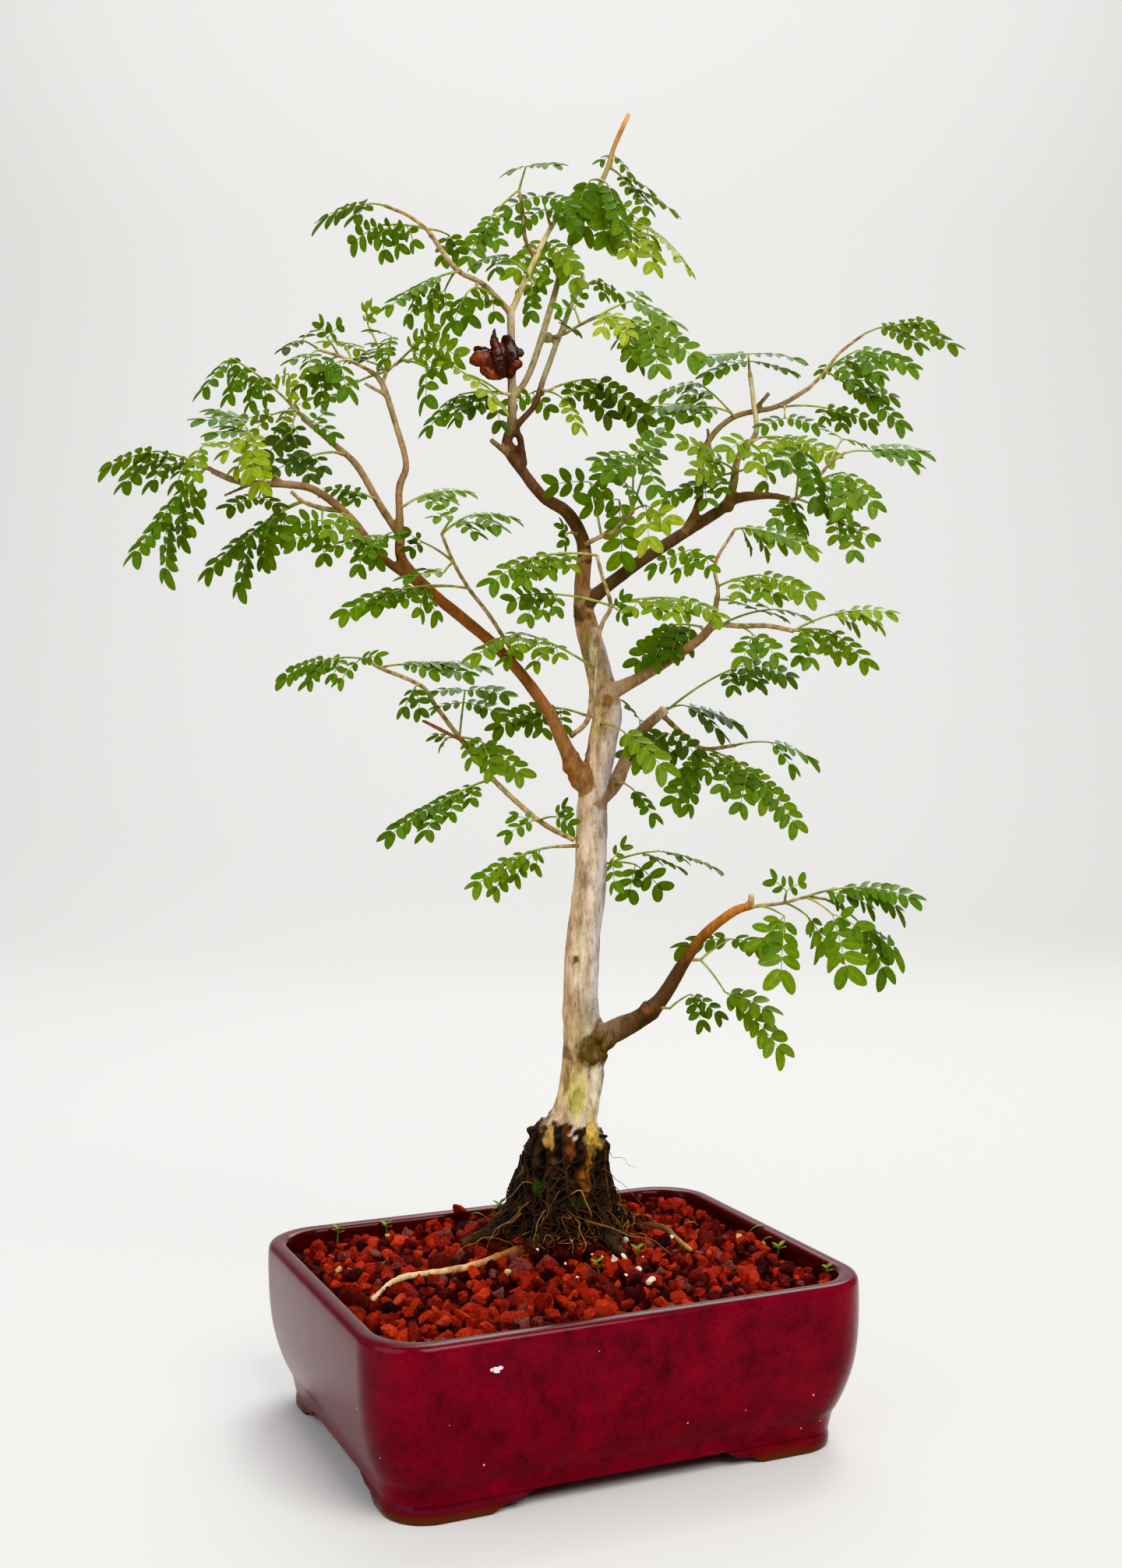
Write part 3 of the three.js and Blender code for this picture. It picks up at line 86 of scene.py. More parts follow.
FOOT_LONG_ARM = 64.0
FOOT_SHORT_ARM = 50.0
FOOT_THICKNESS = 17.0
FOOT_OUTER_INSET = 12.9
FOOT_SUNK = 1.5
FOOT_NECK = 0.6
FOOT_SWELL = 0.3
FOOT_LIP = 0.1
FOOT_ROUNDING = 0.7
FOOT_LIP_HEIGHT = 0.8
FOOT_NODES = ["foot_front_left", "foot_front_right", "foot_back_left", "foot_back_right"]
FOOT_STEPS = 64
FOOT_EDGE = [[0, 7.2], [0.05, 4], [0.12, 3.6], [0.18, 0], [0.82, 0], [0.88, 3.6], [0.95, 4], [1, 7.2]]
DRAIN_HOLE_RADIUS = 12.0
DRAIN_HOLE_OFFSET = 58.0
DRAIN_HOLE_SIDES = 48
FLOOR_TOP = 16.0
CHIP_FLATNESS = 0.9

# Soil and its grit. The soil's side is [inset, height] rows. Single pairs are the least and the most of a
# random draw, and the spread of the grit's sizes is the two numbers of a beta draw
SOIL_EDGE_HEIGHT = 77.0
SOIL_MOUND_HEIGHT = 10.0
SOIL_MOUND_REACH = 75.0
SOIL_INSET = 10.2
SOIL_SIDE = [[30.5, 16.6], [16.5, 26.5], [12, 46], [SOIL_INSET, 74]]
SOIL_RINGS = 24
SOIL_UNDER_GRIT = 4.5
SOIL_ROUGHNESS = 0.8
GRIT_SPACING = 6.6
GRIT_ROW_SHARE = 0.87
GRIT_JITTER = 2.8
GRIT_SMALLEST = 2.1
GRIT_LARGEST = 7.0
GRIT_SIZE_SPREAD = [1.5, 2.2]
GRIT_RISE = [-1.6, 3.4]
GRIT_ROOM = 3.0
STONE_FLATS = 10
STONE_FLAT_DEPTH = [0.4, 0.78]
STONE_STRETCH = [0.75, 1.3]
STONE_ROUGHNESS = 0.045
STONE_REACH = 0.8
STONE_KEEPS_CLEAR = 0.75
STONE_SINKS = 0.2
PALE_STONE_SCALE = 0.8
PALE_STONE_RISE = 0.7
OLD_SOIL_REACH = 46.0
OLD_SOIL_CRUMBS = 320
CRUMB_START = 22
CRUMB_STRAY = [0.8, 1.1]
CRUMB_SIZES = [0.9, 2.4]
CRUMB_RISE = [-0.5, 1.6]
CRUMB_SHADES = [0.0, 0.22]
SIGHT_NEAR = -150.0
SIGHT_FAR = 170.0
SIGHT_ROUNDS = 24
SIGHT_STEP = 2.0

# Seedlings and grass in the grit. Pairs are the least and the most of a random draw, but the stem's are its
# first and last radius
SPROUT_HEIGHTS = [4, 8]
SPROUT_UPRIGHT = 5
SPROUT_STEM_RADII = [0.5, 0.35]
SPROUT_STEM_POINTS = 6
SPROUT_STEM_ARCH = 0.4
SPROUT_SUNK = 2
SPROUT_LEAVES = 4
SPROUT_LEAF_TURN = 1.7
SPROUT_LEAF_STRAY = 0.6
SPROUT_LEAF_RISE = 0.5
SPROUT_LEAF_DROP = 0.15
SPROUT_LEAF_LENGTHS = [3.4, 5.4]
SPROUT_LEAF_WIDTH = 2.6
SPROUT_SHADES = [0.55, 0.8]
GRASS_POINTS = 9
GRASS_WIDTH = 1.1
GRASS_LEAN = 0.8
GRASS_RISE = 0.35
GRASS_ARCH = 0.2

# Wood
WOOD_VOXEL = 0.95
WOOD_STEP = 3.0
TRUNK_SIDES = 28
LIMB_SIDES = 14
STUB_SIDES = 12
STUB_TIP_DIVISOR = 2.3
THIN_WOOD_GAIN = 0.2
THINNEST_WOOD = 1.1
KNOT_SHAPE = [1, 1, 1.25]
SOFTEN_ROUNDS = 3
PALE_ROOT_SCALE = 0.74
FLARE_TOP = 138.0
FLARE_EDGE = 2.0
FLARE_REACH = 46
FLARE_STEP = 0.8
FLARE_FURROWS = 13
FURROW_SWERVE = 2.2
FURROW_SHARE = 0.6
FIBRE_SHARE = 0.6
THICKEST_BARK = 12
FORKS_START = 400
FRONTAL_STEEPNESS = 2.5
SWELLS = 0.04
RIPPLES = 0.03
FLARE_LIE = 1.1
FLARE_GRAIN = 0.5
PALE_ROOT_LUMPS = 0.35
ARM_LUMPS = 0.9
ARM_FINE_LUMPS = 0.6
ROUGH_SPOT_REACH = 1.3
SCAR_SQUASH = 0.8
SCAR_WOBBLE = 0.35
SCAR_EDGE = 0.35
SCAR_HOLLOW_SIZE = 0.75
SCAR_HOLLOW_DEPTH = 0.9
PATCH_WOBBLE = 0.34
PATCH_FINE_WOBBLE = 0.2
PATCH_REACH = 1.08
PATCH_FADE = 0.35
# How strongly the trunk's sides take their painted warm and cool light
SIDE_LIGHT_TINT = 0.8
STREAK_TINT = 0.65

# Fine roots. Pairs are the least and the most of a random draw, and those of the shade spreads the two
# numbers of a beta draw
THIN_TUBE_SIDES = 5
FLARE_FIBRES = 260
FIBRE_HEIGHTS = [92, 132]
FIBRE_KNOTS = [6, 15]
FIBRE_DROP = 2.6
FIBRE_LIFT = 0.25
FIBRE_SEARCH = 30.0
FIBRE_SEARCH_PAST = 4.0
FIBRE_RADII = [0.25, 0.7]
FIBRE_DRIFT = 0.05
FIBRE_STRAY = 0.07
FIBRE_SHADE_SPREAD = [0.8, 3.0]
FIBRE_SHADE_SCALE = 0.7
MAT_ROOTS = 230
MAT_ROOT_KNOTS = 9
MAT_ROOT_STARTS = [23, 27]
MAT_ROOT_REACH = [28, 50]
MAT_ROOT_MIDDLE = 26
MAT_ROOT_DRIFT = 22
MAT_ROOT_HEIGHTS = [84, 110]
MAT_ROOT_RADII = [0.18, 0.45]
MAT_ROOT_END_SUNK = 3
MAT_ROOT_LIFT = 0.6
MAT_ROOT_WRIGGLE = 1.7
MAT_ROOT_SHADE_SPREAD = [0.9, 2.0]
LOOSE_ROOT_SCALE = 0.72
LOOSE_ROOT_KNOT_STEP = 5.0
LOOSE_ROOT_WRIGGLE = 0.8
LOOSE_ROOT_SHADES = [0.4, 0.85]
ROOT_TAPER = 0.45
ROOT_STEP = 1.8

# Leaves
LEAFLET_SPACING = 5.6
LEAFLET_PAIRS = [2, 8]
LEAFLET_LENGTHS = [6, 11]
LEAFLET_BASE_LENGTH = 5.2
LEAFLET_GROWTH = 0.17
LARGE_LEAFLET_SCALE = 1.2
LEAFLET_PAST_RIB = 0.62
FIRST_LEAFLET_SHARE = 0.62
LEAFLET_WIDTHS = [0.5, 0.58]
LEAFLET_SPREAD = 62
LEAFLET_SPREAD_STRAY = 6
LEAFLET_TILT_STRAY = 5
LEAFLET_HANG = [0.02, 0.16]
LEAFLET_ROLL = [0.0, 0.25]
LEAFLET_FACE_STRAY = 0.08
LEAFLET_LENGTH_STRAY = [0.92, 1.06]
END_LEAFLET_SPREAD = 34
LEAFLET_DROOP = 0.16
LEAFLET_FOLD = 0.16
LEAFLET_DEPTH = 0.5
LEAFLET_ALONG = [0.0, 0.09, 0.28, 0.52, 0.76, 0.93, 1.0]
LEAFLET_WIDE = [0.0, 0.55, 0.92, 1.0, 0.84, 0.45, 0.0]
TONE_SPREAD = 0.05
PINNA_ARCH = 0.06
PINNA_STEPS = 41
PINNA_LOOK = 0.8
PINNA_SPACING = 0.3
PINNAE_SHARE = 0.62
LOWER_PINNA_LOSS = 0.14
LOWER_PINNA_LEAN = 0.16
LARGE_LEAF_REACH = 22
STALK_ARCH = 0.05
STALK_STEPS = 15
STALK_RADIUS = 0.55
STALK_TAPER = [1.3, 0.8]
RIB_RADIUS = 0.34
RIB_TAPER = 0.7
SHOOT_TAPER = 0.35
SHOOT_STEP = 2.0
SHOOT_JOINTS = 0.08
FACE_UP = 0.75
FACE_FRONT = 0.45
FACE_OUT = 0.35
NARROW_FORK = 0.64
UPRIGHT_BLADE = 0.3
FLAT_STALK = 0.2
STEEP_STALK = 0.81

# Wood routes from the thick end, each point [across, up, back, diameter]. The skin leaves out the hair root
LIMBS = {
    "trunk": [
        [2, 58, 0, 40], [3, 76, 0, 56], [3.5, 92, 0, 56], [4, 102, 0, 53], [5, 116, 0, 44],
        [7, 131, 0, 36], [9.5, 142, 0, 26], [11.5, 150, 0, 23], [14, 165, 0, 22], [14.6, 180, 0, 21.5],
        [13.5, 200, 0, 18.6], [14, 230, 0, 17.6], [18.4, 270, 0, 16.4], [19.5, 310, 1, 15.6],
        [25, 342, 1, 14.6], [27, 355, 2, 15], [22, 380, 1, 13], [16, 402, 0, 11.5], [14, 420, 0, 8],
        [15.4, 438, 0, 7.4],
    ],
    "leader": [
        [15.4, 434, 0, 7.4], [13.8, 446.5, 1, 7], [5.9, 459.6, 2, 6.6], [-6.4, 467.5, 3, 5.8],
        [-17, 480.7, 4, 5.4], [-25, 493, 5, 5.2], [-22.5, 507, 6, 4.6], [-22.6, 534, 8, 4.2],
        [-23, 564, 8, 4],
    ],
    "cut_twig": [
        [-16, 484, 4, 3.2], [-18.3, 498, 6, 3.2], [-20, 503.5, 8, 3.2], [-10.4, 515, 11, 3],
        [-7, 525.5, 13, 3], [3, 552.4, 22, 2.8], [14.7, 581.5, 30, 2.4],
    ],
    "top_twig": [
        [-22.6, 517, 6, 3], [-13, 532, 14, 3.4], [-1.8, 566.5, 30, 3.2], [6.2, 592.8, 40, 3],
        [25.2, 631.8, 50, 2.8], [30.4, 647, 52, 2.6], [38, 664, 56, 2.4],
    ],
    "crown_left": [
        [-23, 562, 8, 3.4], [-37, 576.6, -4, 2.8], [-51.4, 584.7, -15, 2.6], [-65.5, 604, -29, 2.4],
    ],
    "crown_middle": [
        [-23, 562, 8, 3.4], [-14.7, 580.7, 13, 3], [-3.9, 602.8, 20, 2.6], [4.6, 616, 24, 2.2],
    ],
    "crown_stub": [
        [-10, 590, 17, 2.2], [-15.5, 600, 15, 2.2], [-17.5, 621, 14, 2],
    ],
    "leader_stub": [
        [-24, 489, 5, 3], [-33.6, 497, -1, 2.6],
    ],
    "left_main": [
        [16, 318, 0, 12], [11, 326, -4, 11], [4, 340, -8, 7.4], [-5.4, 359, -14, 6], [-25, 384, -24, 5.6],
        [-45.8, 402.6, -34, 5.6], [-64.5, 418, -42, 5.4], [-79.5, 434.7, -46, 5.2],
        [-80.5, 449, -46, 4.6],
    ],
    "left_tip": [
        [-69, 421, -43.4, 4.6], [-79, 428, -46.5, 4.4], [-92, 438, -52, 4], [-106, 456, -58, 3.8],
        [-122, 469.3, -64, 3.6], [-134.4, 473.4, -68, 3.6], [-162.6, 475, -75, 3.2],
        [-178.8, 481, -80, 2.6],
    ],
    "left_upright": [
        [-80.5, 447, -46, 4], [-81, 471, -40, 3.4], [-77.4, 484.3, -35, 3.2], [-82.6, 504.4, -27, 3],
        [-90, 526.5, -20, 2.8], [-98, 533.5, -24, 2],
    ],
    "left_upper": [
        [-80.5, 447, -46, 4], [-91.4, 463.7, -34, 3.6], [-102.8, 483.4, -18, 3.4], [-116, 495.6, -4, 3],
        [-131, 508, 8, 2.6],
    ],
    "right_main": [
        [16, 412, 0, 8], [28, 422, 6, 6.6], [45.5, 435, 14, 6.4], [65.8, 448, 23, 6.2],
        [84.2, 459.6, 31, 6], [94, 466.5, 34, 5.6], [110.5, 468, 27, 3.6], [122, 466.3, 19, 3],
    ],
    "right_upright": [
        [89, 462, 32, 5], [92.5, 474, 36, 4.6], [95, 488, 40, 3.4], [104, 500, 47, 3],
        [103, 515, 50, 2.8], [100.7, 532, 51, 2.4],
    ],
    "right_far": [
        [67, 449, 23, 4.4], [74.6, 465, 30, 3.6], [77.5, 492, 46, 3.2], [92, 508.2, 54, 3],
        [115, 514, 62, 2.8], [132.4, 524, 68, 2.4],
    ],
    "right_stub": [
        [104, 513, 59, 2.4], [111, 521, 56, 2.2],
    ],
    "middle_right": [
        [25, 364, 0, 9], [34.3, 368.5, -3, 7.5], [49.4, 376.6, -9, 5.4], [72.6, 391.5, -20, 4.6],
        [81, 400, -23, 4.4],
    ],
    "middle_twig": [
        [79, 397, -21, 3.4], [82.5, 405, -23, 3], [84.7, 417.5, -27, 2.6],
    ],
    "behind_right": [
        [20, 308, 1, 10], [31, 318.4, 6, 8.5], [36, 328.6, 11, 7], [42.7, 343.3, 18, 6],
        [57.5, 357.4, 27, 5],
    ],
    "low_right": [
        [14, 178, 0, 15], [28, 187, -3, 12.5], [44.6, 195.4, -11, 10], [54.4, 203.8, -16, 8],
        [71.2, 230.5, -28, 5.6], [81, 242, -34, 5], [94.5, 252, -41, 4.4], [104, 254.7, -44.5, 3.6],
    ],
    "low_right_tip": [
        [102, 253, -44, 3.4], [102.7, 261, -44, 3],
    ],
    "pale_root": [
        [4, 86, -14, 12], [-5, 76.5, -29, 7.5], [-25.4, 70.8, -42, 5.4], [-41.7, 64.7, -54, 4.8],
        [-58, 61.4, -60, 4.4], [-82.3, 57.4, -69, 4], [-96.6, 46.4, -97, 3],
    ],
    "right_root": [
        [18, 96, -2, 12], [35.5, 86.5, 4, 5.4], [55.8, 84.5, 9, 4], [64, 78, -9, 3.2], [72, 72, -20, 2.6],
    ],
    "hair_root": [
        [18, 120, -8, 6], [30, 113, -12, 3], [40, 102, -15, 2.6], [46, 86, -17, 2.4],
    ],
    "front_left_arm": [
        [-8, 104, -6, 18], [-20, 92, -13, 11], [-34, 82, -20, 7], [-50, 76, -24, 4],
    ],
    "back_arm": [
        [8, 104, 8, 20], [12, 96, 22, 14], [16, 89, 38, 8], [20, 86, 54, 4],
    ],
    "back_left_arm": [
        [-6, 104, 6, 18], [-18, 94, 16, 12], [-29, 88, 24, 7], [-37, 85, 30, 4],
    ],
    "front_right_arm": [
        [14, 100, -8, 16], [22, 86, -20, 10], [30, 76, -34, 6], [36, 70, -44, 4],
    ],
}
PALE_ROOT = "pale_root"
HAIR_ROOT = "hair_root"
ROOT_ARMS = ["front_left_arm", "back_arm", "back_left_arm", "front_right_arm"]
SURFACE_ROOTS = [PALE_ROOT, "right_root", *ROOT_ARMS]

# Leafy stems: the shoot's width, its points and its leaves. A leaf is the shoot's point that it starts from,
# the fork of its end pinnae, their two tips, its pairs of pinnae, and how green it is: 0 is a dark old leaf,
# 1 a yellow-green young one
LEAFY_STEMS = {
    "left_tip": [2.4, [[-174, 479, -78], [-181, 482.5, -81], [-186, 483, -83]], [
        [1, [-207, 491, -92], [-236, 480, -106], [-226, 470, -80], 3, 0.5],
        [1, [-184, 493, -94], [-189, 476, -106], [-170, 495, -86], 1, 0.75],
        [1, [-200, 459, -84], [-221, 433, -94], [-203, 423, -74], 3, 0.5],
        [1, [-195, 467, -66], [-182, 466, -54], [-190, 447, -60], 1, 0.5],
    ]],
    "left_middle": [2.4, [[-151, 468, -74], [-151, 474, -77], [-152, 481, -76]], [
        [2, [-161, 505, -62], [-188, 506, -70], [-180, 512, -48], 2, 0.5],
        [2, [-157, 500, -84], [-157, 477, -98], [-174, 487, -92], 2, 0.72],
        [1, [-154, 467, -68], [-172, 460, -60], [-142, 461, -58], 1, 0.2],
    ]],
    "left_lower_twig": [2.6, [[-110, 460, -60], [-121, 461.5, -59], [-131, 465, -55], [-137, 470, -53]], [
        [1, [-121, 449, -66], [-140, 443, -76], [-120, 433, -62], 2, 0.45],
        [2, [-157, 449, -56], [-183, 425, -66], [-165, 416, -50], 3, 0.45],
        [2, [-148, 457, -44], [-151, 431, -38], [-140, 446, -30], 1, 0.45],
    ]],
    "left_upper_tip": [2.2, [[-129, 506.5, 7], [-134, 511.5, 10], [-138, 516, 12]], [
        [1, [-126, 506, 0], [-113, 497, -6], [-117, 511, 8], 1, 0.4],
        [1, [-138, 513, 22], [-143, 501, 30], [-127, 516, 30], 1, 0.7],
        [1, [-146, 510, 2], [-164, 506, -6], [-158, 499, 8], 1, 0.75],
        [1, [-137, 501, -8], [-151, 487, -18], [-132, 487, -14], 2, 0.15],
        [2, [-168, 539, 4], [-184, 519, -10], [-167, 522, 18], 3, 0.5],
        [2, [-138, 531, 16], [-145, 526, 26], [-136, 517, 8], 1, 0.8],
    ]],
    "left_inner": [2, [[-109, 489, -14], [-114, 490.5, -17]], [
        [1, [-131, 487, -22], [-148, 479, -30], [-127, 475, -28], 2, 0.15],
    ]],
    "left_bright": [2, [[-103, 453, -57], [-106, 456, -62]], [
        [1, [-111, 459, -68], [-118, 446, -76], [-105, 446, -72], 1, 0.68],
    ]],
    "left_fork": [2, [[-80, 443, -48], [-83, 446, -52]], [
        [1, [-97, 447, -62], [-116, 439, -76], [-103, 427, -66], 2, 0.45],
        [1, [-91, 446, -70], [-98, 436, -82], [-80, 447, -76], 1, 0.45],
    ]],
    "left_upper_side": [2, [[-92, 464, -34], [-94, 466.5, -39]], [
        [1, [-105, 470, -44], [-121, 470, -54], [-112, 464, -38], 2, 0.45],
    ]],
    "left_centre": [2, [[-81, 462, -42], [-78, 463, -44]], [
        [1, [-65, 469, -34], [-42, 469, -26], [-54, 464, -44], 2, 0.45],
    ]],
    "crown_left_outer": [2, [[-98, 533.5, -24], [-105, 537, -28], [-112, 540, -30], [-122, 543, -36]], [
        [3, [-131, 548, -44], [-142, 542, -54], [-125, 553, -34], 1, 0.15],
        [2, [-118, 549, -34], [-123, 558, -40], [-110, 556, -26], 1, 0.5],
        [1, [-110, 547, -18], [-121, 546, -12], [-100, 541, -4], 1, 0.9],
        [3, [-126, 541, -48], [-138, 536, -60], [-128, 531, -62], 1, 0.5],
        [1, [-112, 537, -42], [-107, 518, -54], [-120, 531, -54], 1, 0.45],
        [2, [-122, 534, -20], [-133, 521, -16], [-121, 517, -6], 2, 0.2],
    ]],
    "crown_left_inner": [2, [[-89.5, 525, -20], [-87, 532, -14], [-80, 538, -6]], [
        [1, [-112, 521, -26], [-122, 514, -34], [-104, 527, -16], 1, 0.45],
        [1, [-97, 537, -2], [-107, 538, 8], [-96, 543, 14], 1, 0.15],
        [1, [-85, 550, -22], [-97, 553, -32], [-89, 541, -36], 2, 0.5],
        [1, [-83, 535, 4], [-74, 538, 14], [-91, 532, 16], 1, 0.15],
        [1, [-97, 556, -12], [-99, 567, -14], [-94, 566, -6], 1, 0.66],
        [2, [-69, 547, -12], [-62, 557, -22], [-48, 538, -26], 2, 0.62],
        [2, [-67, 534, -16], [-67, 513, -26], [-56, 531, -30], 1, 0.5],
    ]],
    "crown_front": [2, [[-23, 520, 3], [-28, 521, 0]], [
        [1, [-50, 520, -4], [-68, 499, -14], [-53, 507, -20], 2, 0.45],
        [1, [-47, 531, -14], [-60, 537, -22], [-29, 513, -28], 1, 0.9],
        [1, [-32, 519, -10], [-46, 511, -16], [-28, 502, -16], 1, 0.15],
    ]],
    "crown_far_twig": [2.2, [[-64, 601, -28], [-66.5, 605, -30], [-76, 612, -36], [-88, 617, -44]], [
        [3, [-96, 618, -48], [-124, 607, -60], [-105, 608, -36], 1, 0.45],
        [1, [-90, 607, -42], [-106, 596, -54], [-88, 589, -34], 3, 0.45],
        [1, [-55, 602, -16], [-49, 591, -6], [-59, 587, -8], 1, 0.45],
    ]],
    "crown_left_twig": [2, [[-49, 583.5, -14], [-52, 583, -19]], [
        [1, [-67, 577, -26], [-89, 562, -38], [-77, 556, -22], 2, 0.45],
        [1, [-57, 574, -12], [-68, 561, -4], [-56, 558, -12], 1, 0.45],
    ]],
    "crown_low_twig": [2, [[-40, 578, -7], [-41, 575, -11]], [
        [1, [-46, 572, -20], [-54, 552, -30], [-45, 555, -24], 1, 0.45],
        [1, [-33, 572, -3], [-46, 565, 2], [-31, 558, 0], 1, 0.45],
    ]],
    "crown_back_stub": [2, [[-17.5, 619, 14], [-18.6, 625, 13.5]], [
        [1, [-37, 606, 4], [-46, 586, -8], [-28, 596, -2], 2, 0.45],
        [1, [-15, 637, 12], [-26, 633, 4], [4, 637, 4], 1, 0.45],
    ]],
    "crown_fork": [2, [[-14, 581, 13], [-14, 582, 8.5]], [
        [1, [-28, 592, 2], [-43, 585, -8], [-31, 582, -12], 1, 0.45],
        [1, [-12, 577, 2], [-4, 575, -4], [-13, 558, -2], 1, 0.45],
    ]],
    "crown_umbrella": [2, [[1, 581, 34], [0, 586, 32]], [
        [1, [-5, 599, 28], [-23, 580, 14], [10, 584, 16], 2, 0.66],
    ]],
    "crown_left_umbrella": [2, [[-2, 606, 21], [-3.5, 610, 19]], [
        [1, [-7, 622, 16], [-28, 613, 9], [10, 615, 8], 2, 0.45],
    ]],
    "crown_top_front": [2, [[24, 630, 50], [23, 630, 45]], [
        [1, [18, 630, 38], [8, 606, 28], [14, 599, 40], 1, 0.45],
        [1, [27, 628, 38], [35, 603, 28], [27, 596, 34], 1, 0.45],
    ]],
    "crown_top_back": [2, [[27, 636, 51], [29, 636, 56]], [
        [1, [30, 643, 60], [40, 630, 68], [22, 638, 68], 1, 0.45],
        [1, [40, 626, 62], [63, 612, 70], [49, 613, 78], 2, 0.45],
    ]],
    "crown_right": [2, [[17, 609, 45], [20, 610, 49]], [
        [1, [47, 607, 50], [71, 582, 42], [51, 583, 32], 3, 0.8],
        [1, [33, 618, 58], [46, 606, 64], [30, 600, 60], 1, 0.5],
    ]],
    "crown_cut_tip": [1.8, [[12, 574, 29], [15.5, 575, 29]], [
        [1, [20, 579, 26], [36, 568, 22], [26, 569, 36], 1, 0.45],
    ]],
    "crown_right_low": [2, [[-4, 549.5, 23], [4, 551, 16], [13, 556, 8], [22, 560, 4]], [
        [2, [10, 564, 10], [0, 563, 2], [15, 573, 16], 1, 0.5],
        [3, [39, 568, 8], [65, 553, 2], [47, 571, 20], 1, 0.5],
        [2, [28, 562, -8], [39, 549, -18], [24, 551, -16], 1, 0.8],
        [3, [47, 556, -6], [75, 536, -12], [54, 530, -18], 2, 0.5],
        [3, [38, 553, 12], [43, 533, 6], [30, 545, 16], 1, 0.5],
        [1, [6, 554, 6], [3, 558, 0], [12, 552, -2], 1, 0.2],
    ]],
    "heart_top": [2, [[-8, 523, 12], [-4, 522, 8], [0, 524, 6]], [
        [1, [4, 518, 0], [17, 523, -8], [13, 501, -8], 1, 0.8],
        [2, [21, 528, 14], [49, 503, 18], [19, 513, 24], 2, 0.15],
        [1, [-12, 521, 24], [-24, 513, 32], [-2, 510, 26], 1, 0.3],
    ]],
    "heart_twig": [2.6, [[14, 442, 0], [24, 447, -9], [31, 450, -12], [36, 455, -15], [40, 460, -17]], [
        [1, [18, 475, -8], [-5, 472, -14], [26, 465, 0], 1, 0.4],
        [3, [33, 466, -8], [35, 431, 0], [13, 462, -12], 1, 0.5],
        [4, [37, 474, -22], [27, 478, -30], [43, 464, -30], 1, 0.4],
        [4, [41, 489, -12], [19, 484, -22], [58, 501, 0], 2, 0.5],
        [4, [48, 484, -26], [53, 468, -36], [23, 479, -38], 1, 0.4],
        [4, [47, 463, -24], [49, 440, -32], [61, 452, -34], 1, 0.85],
    ]],
    "heart_left": [1.8, [[12, 448, 0], [8.5, 449, -4]], [
        [1, [6, 448, -8], [2, 454, -12], [4, 441, -12], 1, 0.3],
    ]],
    "front_twig": [
        2.7, [[8, 343, -10], [17.4, 353, -16], [19.5, 379, -21], [24, 400.5, -27], [28.8, 411, -31],
         [24.4, 426.3, -35], [21.7, 437, -38]], [
            [6, [-11, 436, -48], [-36, 420, -60], [-17, 421, -62], 3, 0.66],
            [4, [-10, 417, -38], [-25, 412, -46], [-15, 402, -44], 3, 0.5],
            [2, [-18, 397, -34], [-45, 382, -48], [-20, 388, -50], 3, 0.66],
            [4, [62, 415, -42], [88, 403, -52], [61, 404, -58], 3, 0.66],
            [4, [32, 409, -36], [38, 404, -42], [37, 417, -38], 1, 0.4],
        ],
    ],
    "left_front_twig": [
        2.2, [[-20.4, 384, -23], [-33.4, 404.7, -40], [-45, 420, -51], [-53, 433.7, -62],
         [-59, 448.2, -70]], [
            [4, [-44, 458, -70], [-18, 455, -62], [-27, 450, -82], 2, 0.5],
            [4, [-53, 457, -76], [-64, 456, -86], [-60, 463, -68], 1, 0.5],
            [2, [-82, 419, -64], [-114, 404, -72], [-97, 407, -80], 2, 0.6],
            [2, [-68, 420, -54], [-71, 405, -62], [-61, 403, -50], 1, 0.5],
            [3, [-58, 428, -70], [-80, 424, -82], [-71, 429, -58], 1, 0.5],
            [3, [-69, 444, -62], [-80, 449, -66], [-77, 438, -56], 1, 0.15],
        ],
    ],
    "behind_left": [2, [[23, 352, 5], [13, 355, 13]], [
        [1, [-6, 358, 22], [-33, 345, 30], [-7, 343, 34], 2, 0.25],
    ]],
    "lower_left_stem": [
        3, [[10, 289, -2], [-8.4, 299, 2], [-32.4, 320.6, 9], [-50, 342.5, 17], [-62.4, 359, 24],
         [-70, 369.5, 28], [-91.4, 378.8, 36], [-97, 383, 39]], [
            [7, [-119, 383, 44], [-145, 371, 50], [-130, 368, 34], 2, 0.45],
            [7, [-102, 383, 30], [-114, 369, 24], [-90, 384, 22], 1, 0.45],
            [6, [-70, 380, 44], [-34, 378, 52], [-42, 373, 38], 2, 0.45],
            [3, [-47, 367, 10], [-23, 363, 2], [-66, 365, 4], 2, 0.45],
            [5, [-73, 369, 20], [-80, 354, 12], [-70, 353, 16], 1, 0.45],
            [3, [-38, 340, 12], [-15, 320, 6], [-32, 322, -2], 2, 0.45],
            [3, [-57, 342, 22], [-65, 343, 26], [-60, 337, 26], 1, 0.45],
            [2, [-58, 309, -8], [-90, 288, -20], [-69, 289, -26], 3, 0.45],
            [1, [-11, 299, -6], [-27, 290, -14], [-24, 301, -2], 1, 0.45],
            [1, [0, 301, -10], [10, 295, -20], [7, 307, -14], 1, 0.45],
        ],
    ],
    "lower_left_leaf": [2.2, [[12, 286, -4], [1, 285.5, -10]], [
        [1, [-22, 279, -18], [-44, 262, -28], [-33, 259, -16], 3, 0.6],
    ]],
    "right_upright_stem": [
        2.2, [[84.7, 415, -27], [84.5, 421, -28], [83.3, 433.3, -30], [93.4, 450.7, -35]], [
            [1, [106, 427, -38], [137, 413, -46], [108, 414, -52], 2, 0.65],
            [2, [70, 440, -28], [48, 428, -22], [73, 430, -38], 2, 0.5],
            [3, [102, 451, -38], [136, 438, -44], [111, 437, -30], 2, 0.6],
        ],
